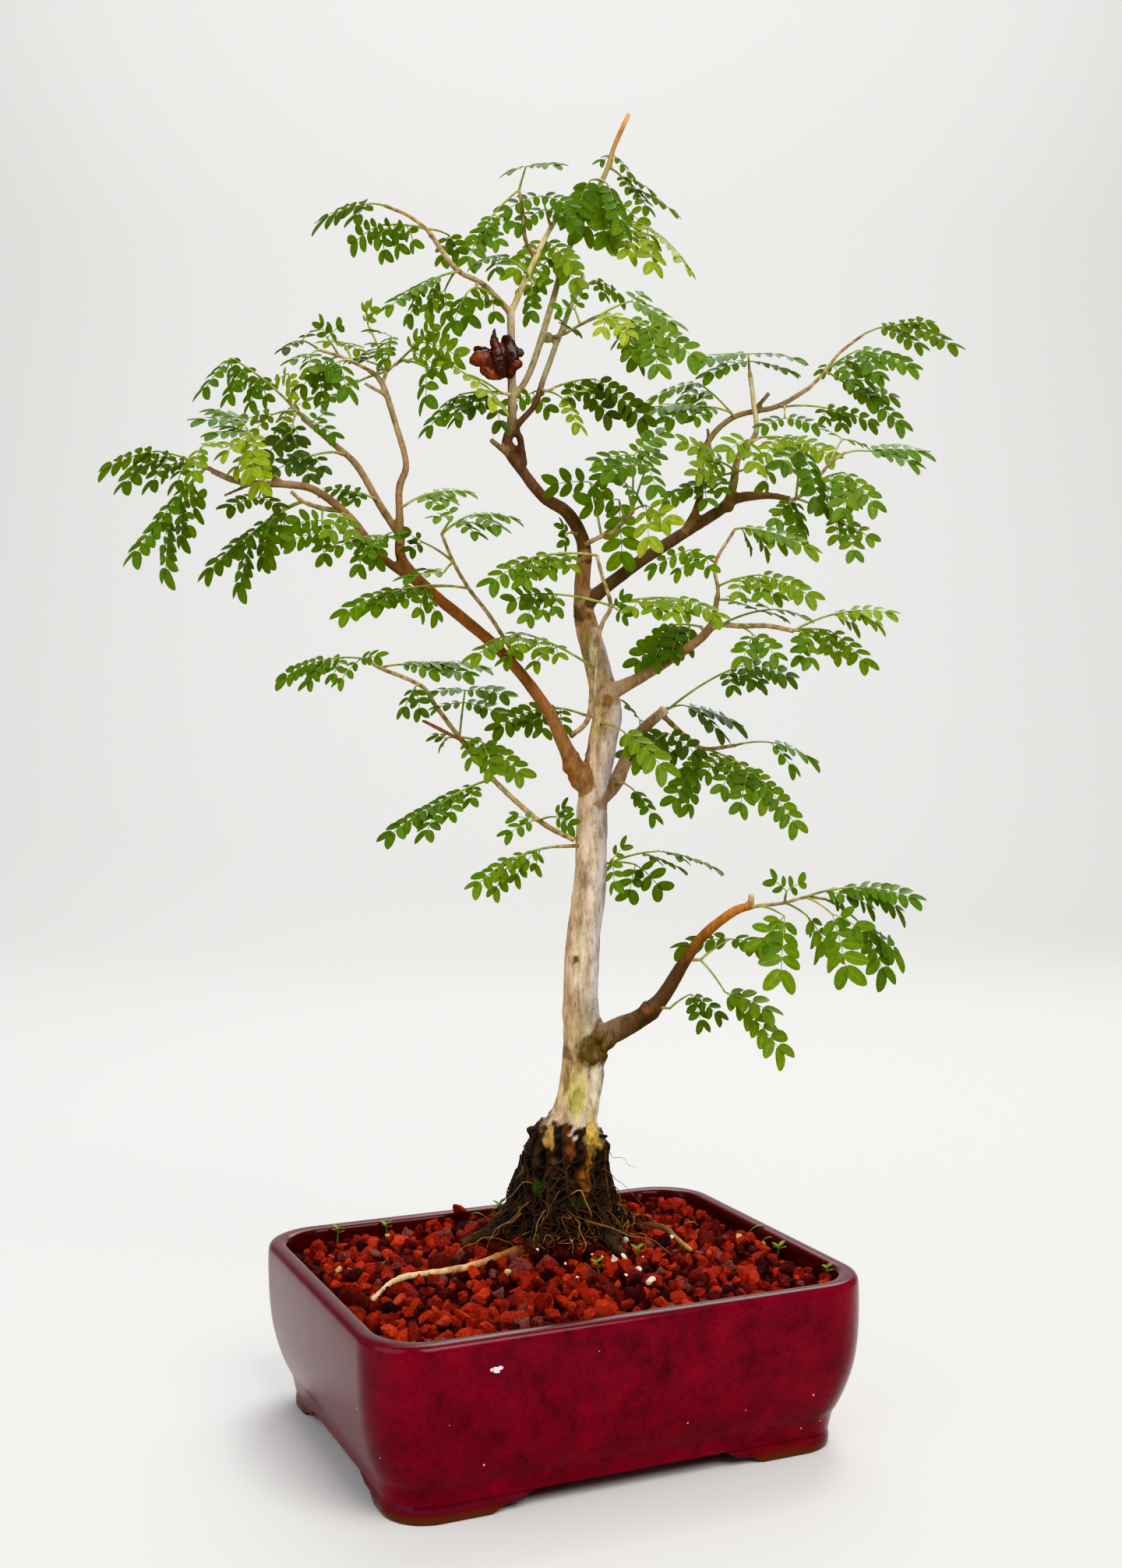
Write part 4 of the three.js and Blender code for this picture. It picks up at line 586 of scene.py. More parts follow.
    ],
    "right_limb_left": [2.2, [[78, 397, -20], [76, 400, -14]], [
        [1, [61, 401, -12], [40, 377, -6], [50, 379, -20], 3, 0.45],
    ]],
    "right_limb_end": [
        3.4, [[79, 398, -22], [86, 401, -25], [96, 400.5, -29], [110.8, 400.5, -35], [124, 398, -41]], [
            [1, [112, 409, -16], [132, 404, -8], [93, 416, -6], 2, 0.5],
            [2, [103, 396, -36], [117, 382, -46], [97, 380, -48], 1, 0.5],
            [4, [152, 408, -48], [178, 406, -54], [171, 399, -40], 2, 0.65],
            [4, [143, 398, -34], [164, 378, -28], [141, 386, -20], 2, 0.6],
            [4, [129, 397, -48], [134, 379, -56], [127, 380, -50], 1, 0.5],
        ],
    ],
    "behind_right_top": [2, [[57, 357, 27], [60, 358, 30]], [
        [1, [97, 380, 34], [126, 372, 38], [104, 368, 26], 2, 0.3],
        [1, [68, 359, 40], [98, 347, 48], [89, 342, 34], 1, 0.25],
    ]],
    "behind_right": [3, [[56, 354, 27], [69.3, 341.7, 36], [78, 336.5, 42], [94, 338.4, 50]], [
        [3, [112, 340, 56], [137, 329, 62], [126, 323, 50], 1, 0.45],
        [2, [101, 326, 40], [128, 293, 32], [96, 303, 24], 3, 0.45],
        [2, [73, 328, 32], [60, 306, 26], [69, 302, 34], 2, 0.45],
    ]],
    "behind_heart": [2, [[43, 342, 18], [45, 341, 22]], [
        [1, [44, 352, 34], [36, 360, 42], [60, 334, 44], 1, 0.2],
        [1, [58, 345, 16], [76, 331, 14], [42, 330, 8], 2, 0.2],
    ]],
    "trunk_front": [1.6, [[24, 349, -4], [24, 350, -11]], [
        [1, [35, 346, -22], [60, 322, -32], [46, 327, -26], 1, 0.75],
    ]],
    "trunk_young_leaf": [1.6, [[30, 317, 2], [35, 319, -1]], [
        [1, [41, 315, -4], [53, 298, -10], [44, 308, -6], 1, 0.45],
    ]],
    "trunk_low_right": [1.8, [[20, 276, 0], [29, 277, -1]], [
        [1, [54, 283, -8], [87, 272, -16], [68, 278, 4], 2, 0.45],
        [1, [42, 276, 8], [38, 257, 14], [57, 261, 18], 1, 0.45],
        [1, [30, 279, -12], [31, 262, -18], [38, 287, -16], 1, 0.45],
    ]],
    "low_limb_leaf": [1.8, [[55, 201, -18], [60, 200.5, -23]], [
        [1, [71, 208, -28], [78, 189, -36], [88, 194, -32], 1, 0.45],
    ]],
    "low_limb_middle": [1.8, [[72, 226, -28], [76, 226, -33]], [
        [1, [89, 209, -42], [116, 196, -50], [122, 173, -46], 1, 0.65],
        [1, [92, 237, -24], [63, 231, -18], [112, 230, -12], 1, 0.5],
    ]],
    "low_limb_end": [
        2, [[101, 253.5, -43.5], [107, 254.5, -46], [120, 256, -46], [131, 259, -50], [141, 258, -48]], [
            [3, [158, 264, -58], [192, 256, -66], [183, 249, -50], 3, 0.55],
            [2, [121, 262, -56], [112, 269, -62], [131, 267, -50], 1, 0.5],
            [1, [120, 249, -58], [118, 212, -70], [105, 230, -66], 1, 0.62],
            [2, [132, 249, -40], [148, 223, -44], [139, 229, -30], 1, 0.55],
            [3, [145, 250, -64], [154, 214, -76], [162, 240, -74], 1, 0.6],
            [4, [161, 244, -38], [174, 214, -42], [182, 225, -28], 1, 0.5],
        ],
    ],
    "right_shoot": [
        2.2, [[118, 466.5, 22], [125, 466.5, 17], [134, 474, 14], [142, 484, 12], [150, 490, 12]], [
            [1, [122, 464, 6], [114, 452, -4], [127, 443, -6], 2, 0.5],
            [1, [151, 453, 4], [166, 444, 0], [156, 435, -8], 2, 0.5],
            [2, [150, 480, -4], [168, 460, -12], [150, 456, -20], 2, 0.55],
            [1, [128, 492, 4], [138, 460, -12], [116, 481, -8], 1, 0.25],
            [4, [162, 491, 16], [195, 489, 22], [190, 482, 8], 1, 0.55],
            [3, [149, 497, 22], [162, 493, 30], [139, 502, 30], 1, 0.5],
        ],
    ],
    "right_heart": [2.2, [[91, 471, 36], [94, 480, 34], [97, 492, 34], [106, 498, 32]], [
        [1, [77, 474, 24], [54, 462, 18], [79, 463, 10], 2, 0.5],
        [1, [84, 486, 20], [64, 496, 12], [72, 477, 4], 2, 0.66],
        [2, [100, 497, 20], [104, 480, 8], [88, 489, 6], 1, 0.8],
        [1, [112, 483, 46], [108, 470, 54], [132, 478, 56], 1, 0.5],
        [3, [124, 497, 30], [146, 486, 20], [118, 482, 18], 2, 0.68],
    ]],
    "right_far_stem": [2.2, [[131, 523, 67.5], [140, 532, 71], [147, 541.3, 74], [160, 551.4, 79]], [
        [1, [156, 521, 76], [178, 517, 82], [182, 502, 68], 2, 0.45],
        [1, [157, 543, 64], [188, 532, 56], [169, 528, 48], 2, 0.45],
        [1, [142, 536, 82], [137, 530, 88], [148, 530, 92], 1, 0.45],
        [3, [177, 556, 86], [209, 543, 94], [197, 556, 74], 2, 0.45],
    ]],
    "right_upper": [2, [[117, 514, 62], [119, 514, 57]], [
        [1, [146, 512, 52], [167, 503, 46], [149, 502, 62], 2, 0.45],
        [1, [119, 508, 46], [106, 502, 38], [138, 502, 40], 1, 0.45],
    ]],
    "right_crown": [2, [[101, 529, 50.5], [100.4, 534.5, 50]], [
        [1, [100, 541, 49], [72, 535, 42], [129, 537, 44], 2, 0.45],
    ]],
    "right_upper_left": [2, [[93, 508, 54], [91, 511, 50]], [
        [1, [74, 526, 60], [48, 516, 66], [66, 517, 50], 2, 0.45],
        [1, [75, 514, 44], [46, 511, 36], [56, 505, 30], 2, 0.45],
    ]],
}

# Chips in the glaze, where the front view shows them: [across, up, radius]
GLAZE_CHIPS = [
    [-33.4, 8.3, 1.3], [-31.4, 9, 1.7], [-29.4, 9.3, 1.5], [-30.2, 7.6, 1], [-27.9, 9.6, 0.9],
    [-37.7, -42.4, 0.6], [-92.6, -38.4, 0.5], [-104.8, -11.9, 0.6], [70.1, -19.7, 0.6], [100.6, -12.8, 0.4],
    [136.4, -4.6, 0.7], [140, -18.4, 0.4], [129.9, -22.5, 0.5], [-56, -20.9, 0.3], [23.3, 18.6, 0.35],
]

# Stones among the grit, where the front view shows them: [across, up, radius]
PERLITE = [
    [-8.2, 82.9, 1.5], [-4.7, 80.1, 1.1], [-0.1, 80.1, 1.3], [-15.3, 82.9, 1.2], [-9.6, 71.7, 1.6],
    [26.3, 89.3, 2], [24.2, 87.2, 1.6], [36.9, 76.6, 2.3], [32.7, 73.4, 1.6], [30.9, 66, 2.7],
    [36.2, 67.4, 2.1], [24.9, 67.8, 1.4], [44, 61.1, 2.2], [50.3, 53.9, 2.9], [11.5, 56.9, 1.3],
    [5.2, 64.6, 1.3], [61.2, 78.4, 1.6], [46.1, 67.8, 1.2], [37.3, 58.3, 1.2], [19.6, 69.5, 1.1],
    [12.9, 76.2, 1.2], [8.7, 75.9, 1.6], [-25.5, 58.8, 1.8], [28.3, 89.1, 1.5],
]
DARK_STONES = [
    [-9.3, 68.8, 2.6], [41.8, 55.4, 3.6], [2.4, 52.6, 2.6], [-88.2, 42, 5], [106.6, 61.1, 5],
    [69.7, 93.5, 4], [40.6, 55.5, 3.4], [58.5, 67.8, 4],
]
TAN_STONES = [
    [96.6, 77.4, 2.8], [110, 79.7, 1.6], [-114, 59.9, 3], [-88.2, 79, 1.8], [-25.1, 58.6, 2.4],
]
DUSTY_STONES = [
    [-56.8, 81.2, 5.4], [-30, 49.9, 5.6], [91, 63.3, 4.8], [-22.1, 68.9, 4], [-83.7, 64.4, 4.6],
]
ROCK_ON_RIM = [-50.8, 98.6, 4.6]
SPROUTS = [[-114.9, 86.9], [-88.5, 95], [23.3, 60.5], [43.7, 68.6], [116.9, 88.9], [141.3, 72.7], [-30, 90]]
GRASS_BLADES = [[100.6, 88.9, 14], [108, 83, 9], [-35, 88, 12], [66, 84, 10]]

# Patches of bark, and one painted highlight: [across, up, half width, half height, colour, strength, whether
# the front alone has it]
BARK_PATCHES = [
    [10.5, 157, 7, 16, "#c9b878", 0.9, True], [11.5, 152, 4, 9, "#a3a048", 0.7, True],
    [21.5, 159, 3.4, 18, "#ddd3bb", 0.95, True], [18.5, 136, 3.6, 11, "#c9ac58", 0.9, True],
    [18.8, 121, 2.6, 9, "#a87c36", 0.7, True], [15.5, 109, 2.6, 9, "#8a5526", 0.8, True],
    [-3, 132, 2.6, 7, "#b58e4c", 0.85, True], [-7, 145, 5, 7, "#4c3928", 0.8, False],
    [8, 125, 2.6, 5, "#7d431a", 0.65, True], [0, 117, 2.6, 4, "#6a3a17", 0.55, True],
    [6, 136, 2.4, 4, "#6a3212", 0.6, True], [12, 112, 2, 4, "#8a5122", 0.45, True],
    # The pale streak at -17.5 across, 116 up is a painted highlight on the flare's left edge
    [-17.5, 116, 1.2, 8, "#b09c74", 0.6, True], [-8, 106, 4, 5, "#2b4d12", 0.7, True],
    [-20, 96, 4, 2.6, "#3a5218", 0.6, True], [10, 97, 9, 3, "#26300f", 0.6, True],
    [21.5, 179, 10, 9.5, "#54441f", 0.95, False], [13, 171, 3, 6, "#7a5c40", 0.6, True],
    [5.5, 164, 1.8, 10, "#85603e", 0.7, True], [0, 152, 1.6, 8, "#8a6a4a", 0.6, True],
    [12.5, 240, 1.6, 26, "#8f8a4a", 0.55, True], [17.5, 222, 1.2, 12, "#a59a5c", 0.5, True],
    [10.5, 226, 2.3, 2.6, "#5c3818", 0.9, True], [5, 290, 3, 3.6, "#9a4f28", 0.8, True],
    [5, 322, 5.4, 8, "#9a5a28", 0.9, False], [13, 333, 5, 7, "#74502c", 0.85, True],
    [22, 350, 4, 9, "#c8b878", 0.6, True], [27, 361, 4, 4, "#7a5228", 0.85, False],
    [15.5, 300, 2.6, 1.2, "#c8a672", 0.6, True], [13, 407, 5.5, 4, "#4a3220", 0.9, False],
    [20, 380, 2, 14, "#ece6dc", 0.5, True], [-26, 388, 3.4, 4, "#8c4a22", 0.8, False],
    [-60, 417, 4, 4, "#9a5a34", 0.7, False], [48, 200, 4.4, 2.6, "#84492c", 0.55, False],
    [86, 461, 5, 4, "#4a3420", 0.7, False], [-8, 345, 4, 7, "#8c5a34", 0.7, False],
    [57.5, 357.4, 2.6, 2.6, "#d9c6a0", 0.9, False], [102.7, 260.5, 1.9, 1.6, "#e0d2b0", 0.9, False],
]

# Fine roots in the open: [across, up, back] points and a radius
LOOSE_ROOTS = [
    [[[24, 126, -10], [32, 123.5, -9], [38, 118, -9], [44, 116.6, -9]], 0.35],
    [[
        [22, 118, -10], [28.6, 114, -12], [35.5, 108.4, -13], [41, 103.5, -14], [44.5, 95, -15],
        [47.3, 87, -16],
    ], 0.35],
    [[[-12, 108, -20], [-18, 109, -23], [-22, 103, -25], [-27, 100, -27]], 0.55],
    [[[-14, 98, -24], [-20, 92, -29], [-28, 84, -33], [-36, 80, -37]], 0.55],
    [[[2, 104, -27], [-2, 97, -31], [-6, 88, -35], [-9, 81, -37]], 0.6],
    [[[8, 102, -26], [14, 104, -28], [17, 99, -31], [20, 92, -33]], 0.5],
    [[[6, 94, -28], [14, 89, -34], [20, 82, -38], [24, 78, -40]], 0.7],
    [[[10, 90, -30], [13, 82, -37], [15, 76, -42], [13, 70, -46]], 0.7],
    [[[22, 96, -18], [29, 92, -20], [34, 86, -22], [37, 80, -26]], 0.8],
    [[[16, 88, -30], [28, 84, -32], [40, 80, -32], [52, 77, -34], [60, 72, -38]], 0.9],
    [[[-18, 92, -26], [-30, 83, -34], [-42, 76, -40], [-52, 72, -48]], 0.7],
]

# Knots and healed cuts on the wood: [across, up, back, radius]
KNOTS = [
    [17, 176, -7, 6], [11, 184, -4, 5], [20, 190, 2, 6], [-3.5, 549.5, 21, 2.6], [25, 357, -2, 4.6],
    [13, 407, -2, 3.6], [48, 200, -10, 3.6], [-80, 432, -46, 3.2], [90, 463, 33, 3.4], [-23, 492, 4, 3],
]

# Ring scars of lost twigs on the front of the wood: [across, up, radius, rise]
SCARS = [
    [10.5, 226, 2.2, 0.9], [7, 290, 3.4, 0.4], [7, 322, 4, 0.6], [14, 331, 2.8, 0.5], [20, 180, 5, 0.9],
    [27, 361, 3.4, 0.6], [-26, 388, 2.6, 0.5], [48, 201, 2.6, 0.5], [18, 250, 2, 0.3],
    [57.5, 357.4, 2.4, 0.5],
]

# Knobbly bark where limbs leave the trunk: [across, up, half width, half height, rise]
ROUGH_SPOTS = [
    [20, 179, 12, 10, 1.5], [6, 322, 8, 9, 0.7], [26, 358, 7, 8, 0.6], [14, 407, 7, 6, 0.6],
    [50, 200, 6, 6, 0.7], [12, 120, 24, 16, 0.5], [-10, 131, 7, 9, 2.2], [24, 131, 5, 9, 1.6],
]

# Short stubs and twigs: [start, end, diameter]
STUBS = [
    [[-45, 339, 16], [-69.5, 351.5, 12], 2.6], [[-158, 474, -73], [-172, 468, -70], 2.2],
    [[-88, 520, -22], [-99, 526, -24], 2.4], [[-140, 474, -70], [-147, 479, -74], 2.2],
    [[80.5, 490, 46], [79, 503, 46], 2.4],
]

# Bark colours along each limb, from its start to its end, as [share, colour]
USUAL_BARK = [[0.0, "#7d6040"], [1.0, "#8b7a58"]]
ROOT_BARK = [[0.0, "#160e08"], [0.6, "#25180c"], [1.0, "#3a2614"]]
LIMB_BARK = {
    "trunk": [
        [0.0, "#5b4a3b"], [0.1, "#6a5847"], [0.17, "#ab9784"], [0.24, "#c3b29c"], [0.3, "#a08f70"],
        [0.36, "#9b8a6a"], [0.42, "#c4b39e"], [0.55, "#cab9a6"], [0.7, "#c2ae99"], [0.85, "#a0835f"],
        [1.0, "#825e3c"],
    ],
    # The leader's dark browns up to its middle are partly its bark and partly painted shade under the leaves
    "leader": [[0.0, "#573d29"], [0.3, "#5a3f2c"], [0.55, "#4e3524"], [0.68, "#8a7a60"], [1.0, "#b0a184"]],
    "cut_twig": [[0.0, "#4a3020"], [0.35, "#54392a"], [0.5, "#a09878"], [1.0, "#aaa07a"]],
    "top_twig": [[0.0, "#8f8460"], [0.45, "#a09870"], [0.8, "#8c8654"], [0.93, "#a8763f"], [1.0, "#c9a26c"]],
    "crown_left": [[0.0, "#a88f68"], [1.0, "#a99a78"]],
    "crown_middle": [[0.0, "#b3a878"], [1.0, "#bdb184"]],
    "left_main": [[0.0, "#8d6a48"], [0.3, "#8a5b38"], [0.7, "#84522f"], [1.0, "#7d5836"]],
    "left_tip": [[0.0, "#7d5634"], [0.5, "#86684a"], [1.0, "#8d7a5c"]],
    "left_upright": [[0.0, "#7d6040"], [1.0, "#95845f"]],
    # The right main limb's dark browns are partly its bark and partly painted shade under the leaves
    "right_main": [[0.0, "#48331f"], [0.5, "#493722"], [1.0, "#6d5438"]],
    "right_upright": [[0.0, "#6b5232"], [0.6, "#a09468"], [1.0, "#bcb588"]],
    "right_far": [[0.0, "#6b5232"], [1.0, "#8d7c58"]],
    "middle_right": [[0.0, "#a58a6c"], [1.0, "#8a6a4a"]],
    "behind_right": [[0.0, "#9a826a"], [0.8, "#7d6648"], [1.0, "#cdbd9c"]],
    "low_right": [
        [0.0, "#8b765c"], [0.35, "#4d3a28"], [0.6, "#5a4028"], [0.85, "#a8672f"], [1.0, "#b97f40"],
    ],
    "low_right_tip": [[0.0, "#a8672f"], [1.0, "#c9b48a"]],
    "pale_root": [
        [0.0, "#1a110a"], [0.2, "#3a2716"], [0.36, "#8a5c30"], [0.5, "#c09a70"], [0.75, "#d8bd98"],
        [1.0, "#c8a882"],
    ],
    "right_root": [[0.0, "#1c120a"], [0.5, "#4a3018"], [1.0, "#a07a40"]],
}

# Leaf greens from dark to young, and lava grit from dark to bright
LEAF_GREENS = [
    [0.0, "#1e340b"], [0.25, "#33500e"], [0.5, "#527814"], [0.75, "#839a28"], [1.0, "#bac246"],
]
GRIT_REDS = [
    [0.0, "#161011"], [0.12, "#311012"], [0.3, "#541814"], [0.5, "#7a221a"], [0.7, "#98291b"],
    [0.88, "#b03a25"], [0.95, "#7a4742"], [1.0, "#6e4240"],
]

# Kinds of grit: dark, red, bright and dusty. The shades of each, and its share of the fresh and the old grit
GRIT_SHADES = [[0.04, 0.34], [0.36, 0.7], [0.68, 0.9], [0.95, 1.0]]
GRIT_KINDS = [0.3, 0.42, 0.24, 0.04]
OLD_GRIT_KINDS = [0.62, 0.3, 0.03, 0.05]

CHIP_COLOURS = [[0.0, "#a98f8c"], [1.0, "#e2d6e0"]]
PALE_STONES = [[0.0, "#8a6a4a"], [0.3, "#b8905c"], [0.6, "#cdbb98"], [1.0, "#dcd3bd"]]
ROOT_COLOURS = [[0.0, "#140d08"], [0.35, "#3a2615"], [0.65, "#7a5029"], [0.88, "#b58a4c"], [1.0, "#94492c"]]

# The seed pod's folds, each a route of [right, up, back, half width, half thickness] from its middle, and
# how orange each is
POD_MIDDLE = [-30, 540, 0.6]
POD_STEP = 0.5
POD_SIDES = 22
POD_ROUND_END = 1.8
POD_BLUNTNESS = 0.97
POD_EDGE_SHARPNESS = 6
POD_WRINKLE = 0.4
POD_FOLDS = [
    [
        [3.1, -12.2, -3, 2, 1.4], [1.3, -5.6, -5.2, 3, 1.8], [0, 0.5, -5.6, 3, 1.8],
        [-1.5, 6.6, -4.2, 2.2, 1.5], [-1.3, 13.5, -2, 0.5, 0.6],
    ],
    [
        [5.6, -11.7, 0, 2.4, 1.6], [7.1, -3.6, -1.6, 4, 2.2], [6.1, 4.6, -1, 4.2, 2.2],
        [4.6, 11.2, 2, 2.2, 1.4],
    ],
    [[3.5, -1, 1, 3, 2], [9.7, 1.5, -1, 2.8, 1.6], [14, 1.2, 0, 1.5, 1]],
    [[4, -5, 0, 3, 2.2], [9.5, -4.5, -1.6, 3, 1.8], [13, -3.2, -1, 1.7, 1.2]],
    [[4, -9, 1, 2.6, 2], [9.7, -8, 0, 1.7, 1.2]],
    [[2, -5, 0, 5, 2.6], [-5.6, -2.5, -2.6, 5, 2.2], [-10.7, -2.6, -3, 3.8, 1.8], [-14.3, -3.6, -1, 1.4, 1]],
    [[0, -0.5, 1, 2.4, 2], [-7.7, 3, 1, 2.2, 1.4], [-12.5, 3.9, 2, 1.5, 1]],
    [[3, -9, 0, 2.8, 2], [-3, -9.5, -2.6, 3.2, 2], [-8.5, -5.6, -2.6, 2.4, 1.6]],
    [[2.5, -10.5, 0, 2.4, 2.4], [1.5, -5, 0, 5, 5], [1.5, 2, 0, 5, 4.6], [2.6, 7, 0, 2, 2.2]],
    [[-8, -2, 3.6, 4.2, 1.8], [0, -0.6, 4.8, 6, 2.4], [8, -1, 5.6, 4, 2]],
]
POD_ORANGE = [0.08, 0.0, 0.12, 0.25, 0.55, 0.5, 0.1, 0.85, 0.1, 0.05]

# Paper sweep: from the pot's middle, how far its floor and backdrop reach
FLOOR_FRONT = -4000
FLOOR_BACK = 1800
FLOOR_BEND = 1500
FLOOR_BEND_START = 0.05
FLOOR_BEND_STEPS = 16
FLOOR_HALF_WIDTH = 5000
BACKDROP_TOP = 6000

# Light: [name, place, what it aims at, size in metres, watts, colour], with places [across, back, up]
SKY_COLOUR = (0.96, 0.98, 1.0, 1.0)
SKY_STRENGTH = 0.62
LAMPS = [
    ["key", [700, -1100, 1500], [0, 40, 350], 1.2, 42, (1.0, 0.98, 0.95)],
    ["fill", [-1100, -900, 800], [0, 40, 300], 1.4, 18, (0.92, 0.96, 1.0)],
    ["back", [300, 1100, 1300], [0, 40, 400], 1.0, 16, (1.0, 1.0, 1.0)],
    ["backdrop", [0, 1300, 3000], [0, 3300, 700], 2.0, 90, (1.0, 1.0, 1.0)],
]

low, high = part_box("pot")
POT_CENTRE = np.array([(low.x + high.x) / 2, (low.y + high.y) / 2, 0.0]) / MM


def turn(vector):
    """A front-view direction or offset turned into the shared frame."""
    cos, sin = math.cos(FRONT_TURN), math.sin(FRONT_TURN)
    x, y, z = vector
    return np.array([x * cos - y * sin, x * sin + y * cos, z])


FRONT = turn([0, -1, 0])


def place(reading):
    """A front-view reading [across, up, back] as a point in the shared frame, in millimetres."""
    across, up, back = reading[:3]
    spread = 1 + back / EYE_DISTANCE
    x = EYE_ACROSS + (across - EYE_ACROSS) * spread
    z = EYE_UP + (up - EYE_UP) * spread
    return turn([x, TRUNK_BACK + back, z]) + POT_CENTRE


TRUNK_FOOT = place([3.5, 90, 0])
EYE = turn([EYE_ACROSS, TRUNK_BACK - EYE_DISTANCE, EYE_UP]) + POT_CENTRE


def unit(vector):
    return vector / np.linalg.norm(vector)


def from_foot(points):
    """How far points lie from the trunk's axis at its foot."""
    offset = np.asarray(points)[..., :2] - TRUNK_FOOT[:2]
    return np.hypot(offset[..., 0], offset[..., 1])


def compass(angle):
    return np.array([math.cos(angle), math.sin(angle), 0])


def linear(code):
    """A #rrggbb colour as linear RGBA."""
    channels = [int(code[i:i + 2], 16) / 255 for i in (1, 3, 5)]
    return [c / 12.92 if c <= 0.04045 else ((c + 0.055) / 1.055) ** 2.4 for c in channels] + [1.0]


def ramp_colour(stops, share):
    shares = [stop[0] for stop in stops]
    colours = np.array([linear(stop[1]) for stop in stops])
    return np.array([np.interp(share, shares, colours[:, channel]) for channel in range(4)])


class Piece:
    """Points and faces gathered for one object, with a shade and a rim per point and a material per face."""

    def __init__(self):
        self.points = []
        self.faces = []
        self.shades = []
        self.rims = []
        self.slots = []
        self.count = 0

    def add(self, points, faces, shade=0.5, slot=0, rim=0.5):
        points = np.asarray(points, float)
        self.points.append(points)
        self.faces.extend([[index + self.count for index in face] for face in faces])
        self.shades.append(np.broadcast_to(shade, len(points)))
        self.rims.append(np.broadcast_to(rim, len(points)))
        self.slots.extend([slot] * len(faces))
        self.count += len(points)

    def make(self, name, materials, smooth=True):
        mesh = bpy.data.meshes.new(name)
        mesh.from_pydata((np.vstack(self.points) * MM).tolist(), [], self.faces)
        for label, values in (("shade", self.shades), ("rim", self.rims)):
            layer = mesh.attributes.new(label, "FLOAT", "POINT")
            layer.data.foreach_set("value", np.concatenate(values).astype(np.float32))
        mesh.polygons.foreach_set("material_index", self.slots)
        mesh.polygons.foreach_set("use_smooth", [smooth] * len(self.faces))
        for material in materials:
            mesh.materials.append(material)
        mesh.update()
        piece = bpy.data.objects.new(name, mesh)
        bpy.context.scene.collection.objects.link(piece)
        return piece


# Curves and tubes


def smooth_route(rows, step):
    """A Catmull-Rom curve through the rows, sampled about every `step` along it."""
    rows = np.asarray(rows, float)
    padded = np.vstack([2 * rows[0] - rows[1], rows, 2 * rows[-1] - rows[-2]])
    samples = []
    for i in range(len(rows) - 1):
        before, start, end, after = padded[i:i + 4]
        count = max(int(round(np.linalg.norm(end[:3] - start[:3]) / step)), 1)
        for t in np.arange(count) / count:
            samples.append(0.5 * (
                2 * start + (end - before) * t
                + (2 * before - 5 * start + 4 * end - after) * t ** 2
                + (3 * start - before - 3 * end + after) * t ** 3
            ))
    samples.append(rows[-1])
    return np.array(samples)


def circle(sides):
    return 2 * math.pi * np.arange(sides) / sides


def tube(points, radii, sides):
    """A round tube with closed ends along the points: its points and faces."""
    points = np.asarray(points, float)
    along = np.gradient(points, axis=0)
    along /= np.linalg.norm(along, axis=1)[:, None]
    side = np.cross([1.0, 0.0, 0.0], along[0])
    if np.linalg.norm(side) < 0.3:
        side = np.cross([0.0, 1.0, 0.0], along[0])
    angles = circle(sides)
    rings = []
    for centre, ahead, radius in zip(points, along, radii):
        side = unit(side - ahead * side.dot(ahead))
        other = np.cross(ahead, side)
        rings.append(centre + radius * (np.outer(np.cos(angles), side) + np.outer(np.sin(angles), other)))
    return np.vstack(rings), loft_faces(len(rings), sides)


def loft_faces(rings, count):
    """The faces between rings of `count` points each, and a cap on each end."""
    faces = []
    for ring in range(rings - 1):
        for i in range(count):
            here = ring * count + i
            beyond = ring * count + (i + 1) % count
            faces.append([here, beyond, beyond + count, here + count])
    faces.append(list(range(count))[::-1])
    faces.append([(rings - 1) * count + i for i in range(count)])
    return faces


def arch(start, end, lift, count):
    """Points on a curve from start to end that rises by `lift` in its middle."""
    middle = (start + end) / 2 + UP * 2 * lift
    t = np.linspace(0, 1, count)[:, None]
    return (1 - t) ** 2 * start + 2 * t * (1 - t) * middle + t ** 2 * end


def length_along(points):
    """The distance from the first point to each, along them."""
    return np.concatenate([[0], np.cumsum(np.linalg.norm(np.diff(points, axis=0), axis=1))])


def lumps(points, wavelength, seed):
    """Smooth made-up relief, mostly from -1 to 1, by a sum of waves in random directions."""
    random = np.random.default_rng(seed)
    total = np.zeros(len(points))
    for _ in range(LUMP_WAVES):
        direction = unit(random.normal(size=3)) * 2 * math.pi / (wavelength * random.uniform(*LUMP_STRAY))
        total += np.sin(points @ direction + random.uniform(0, 2 * math.pi))
    return total / (LUMP_WAVES / 2)


def apply_modifier(piece, modifier):
    with bpy.context.temp_override(object=piece, active_object=piece, selected_objects=[piece]):
        bpy.ops.object.modifier_apply(modifier=modifier)


# Materials


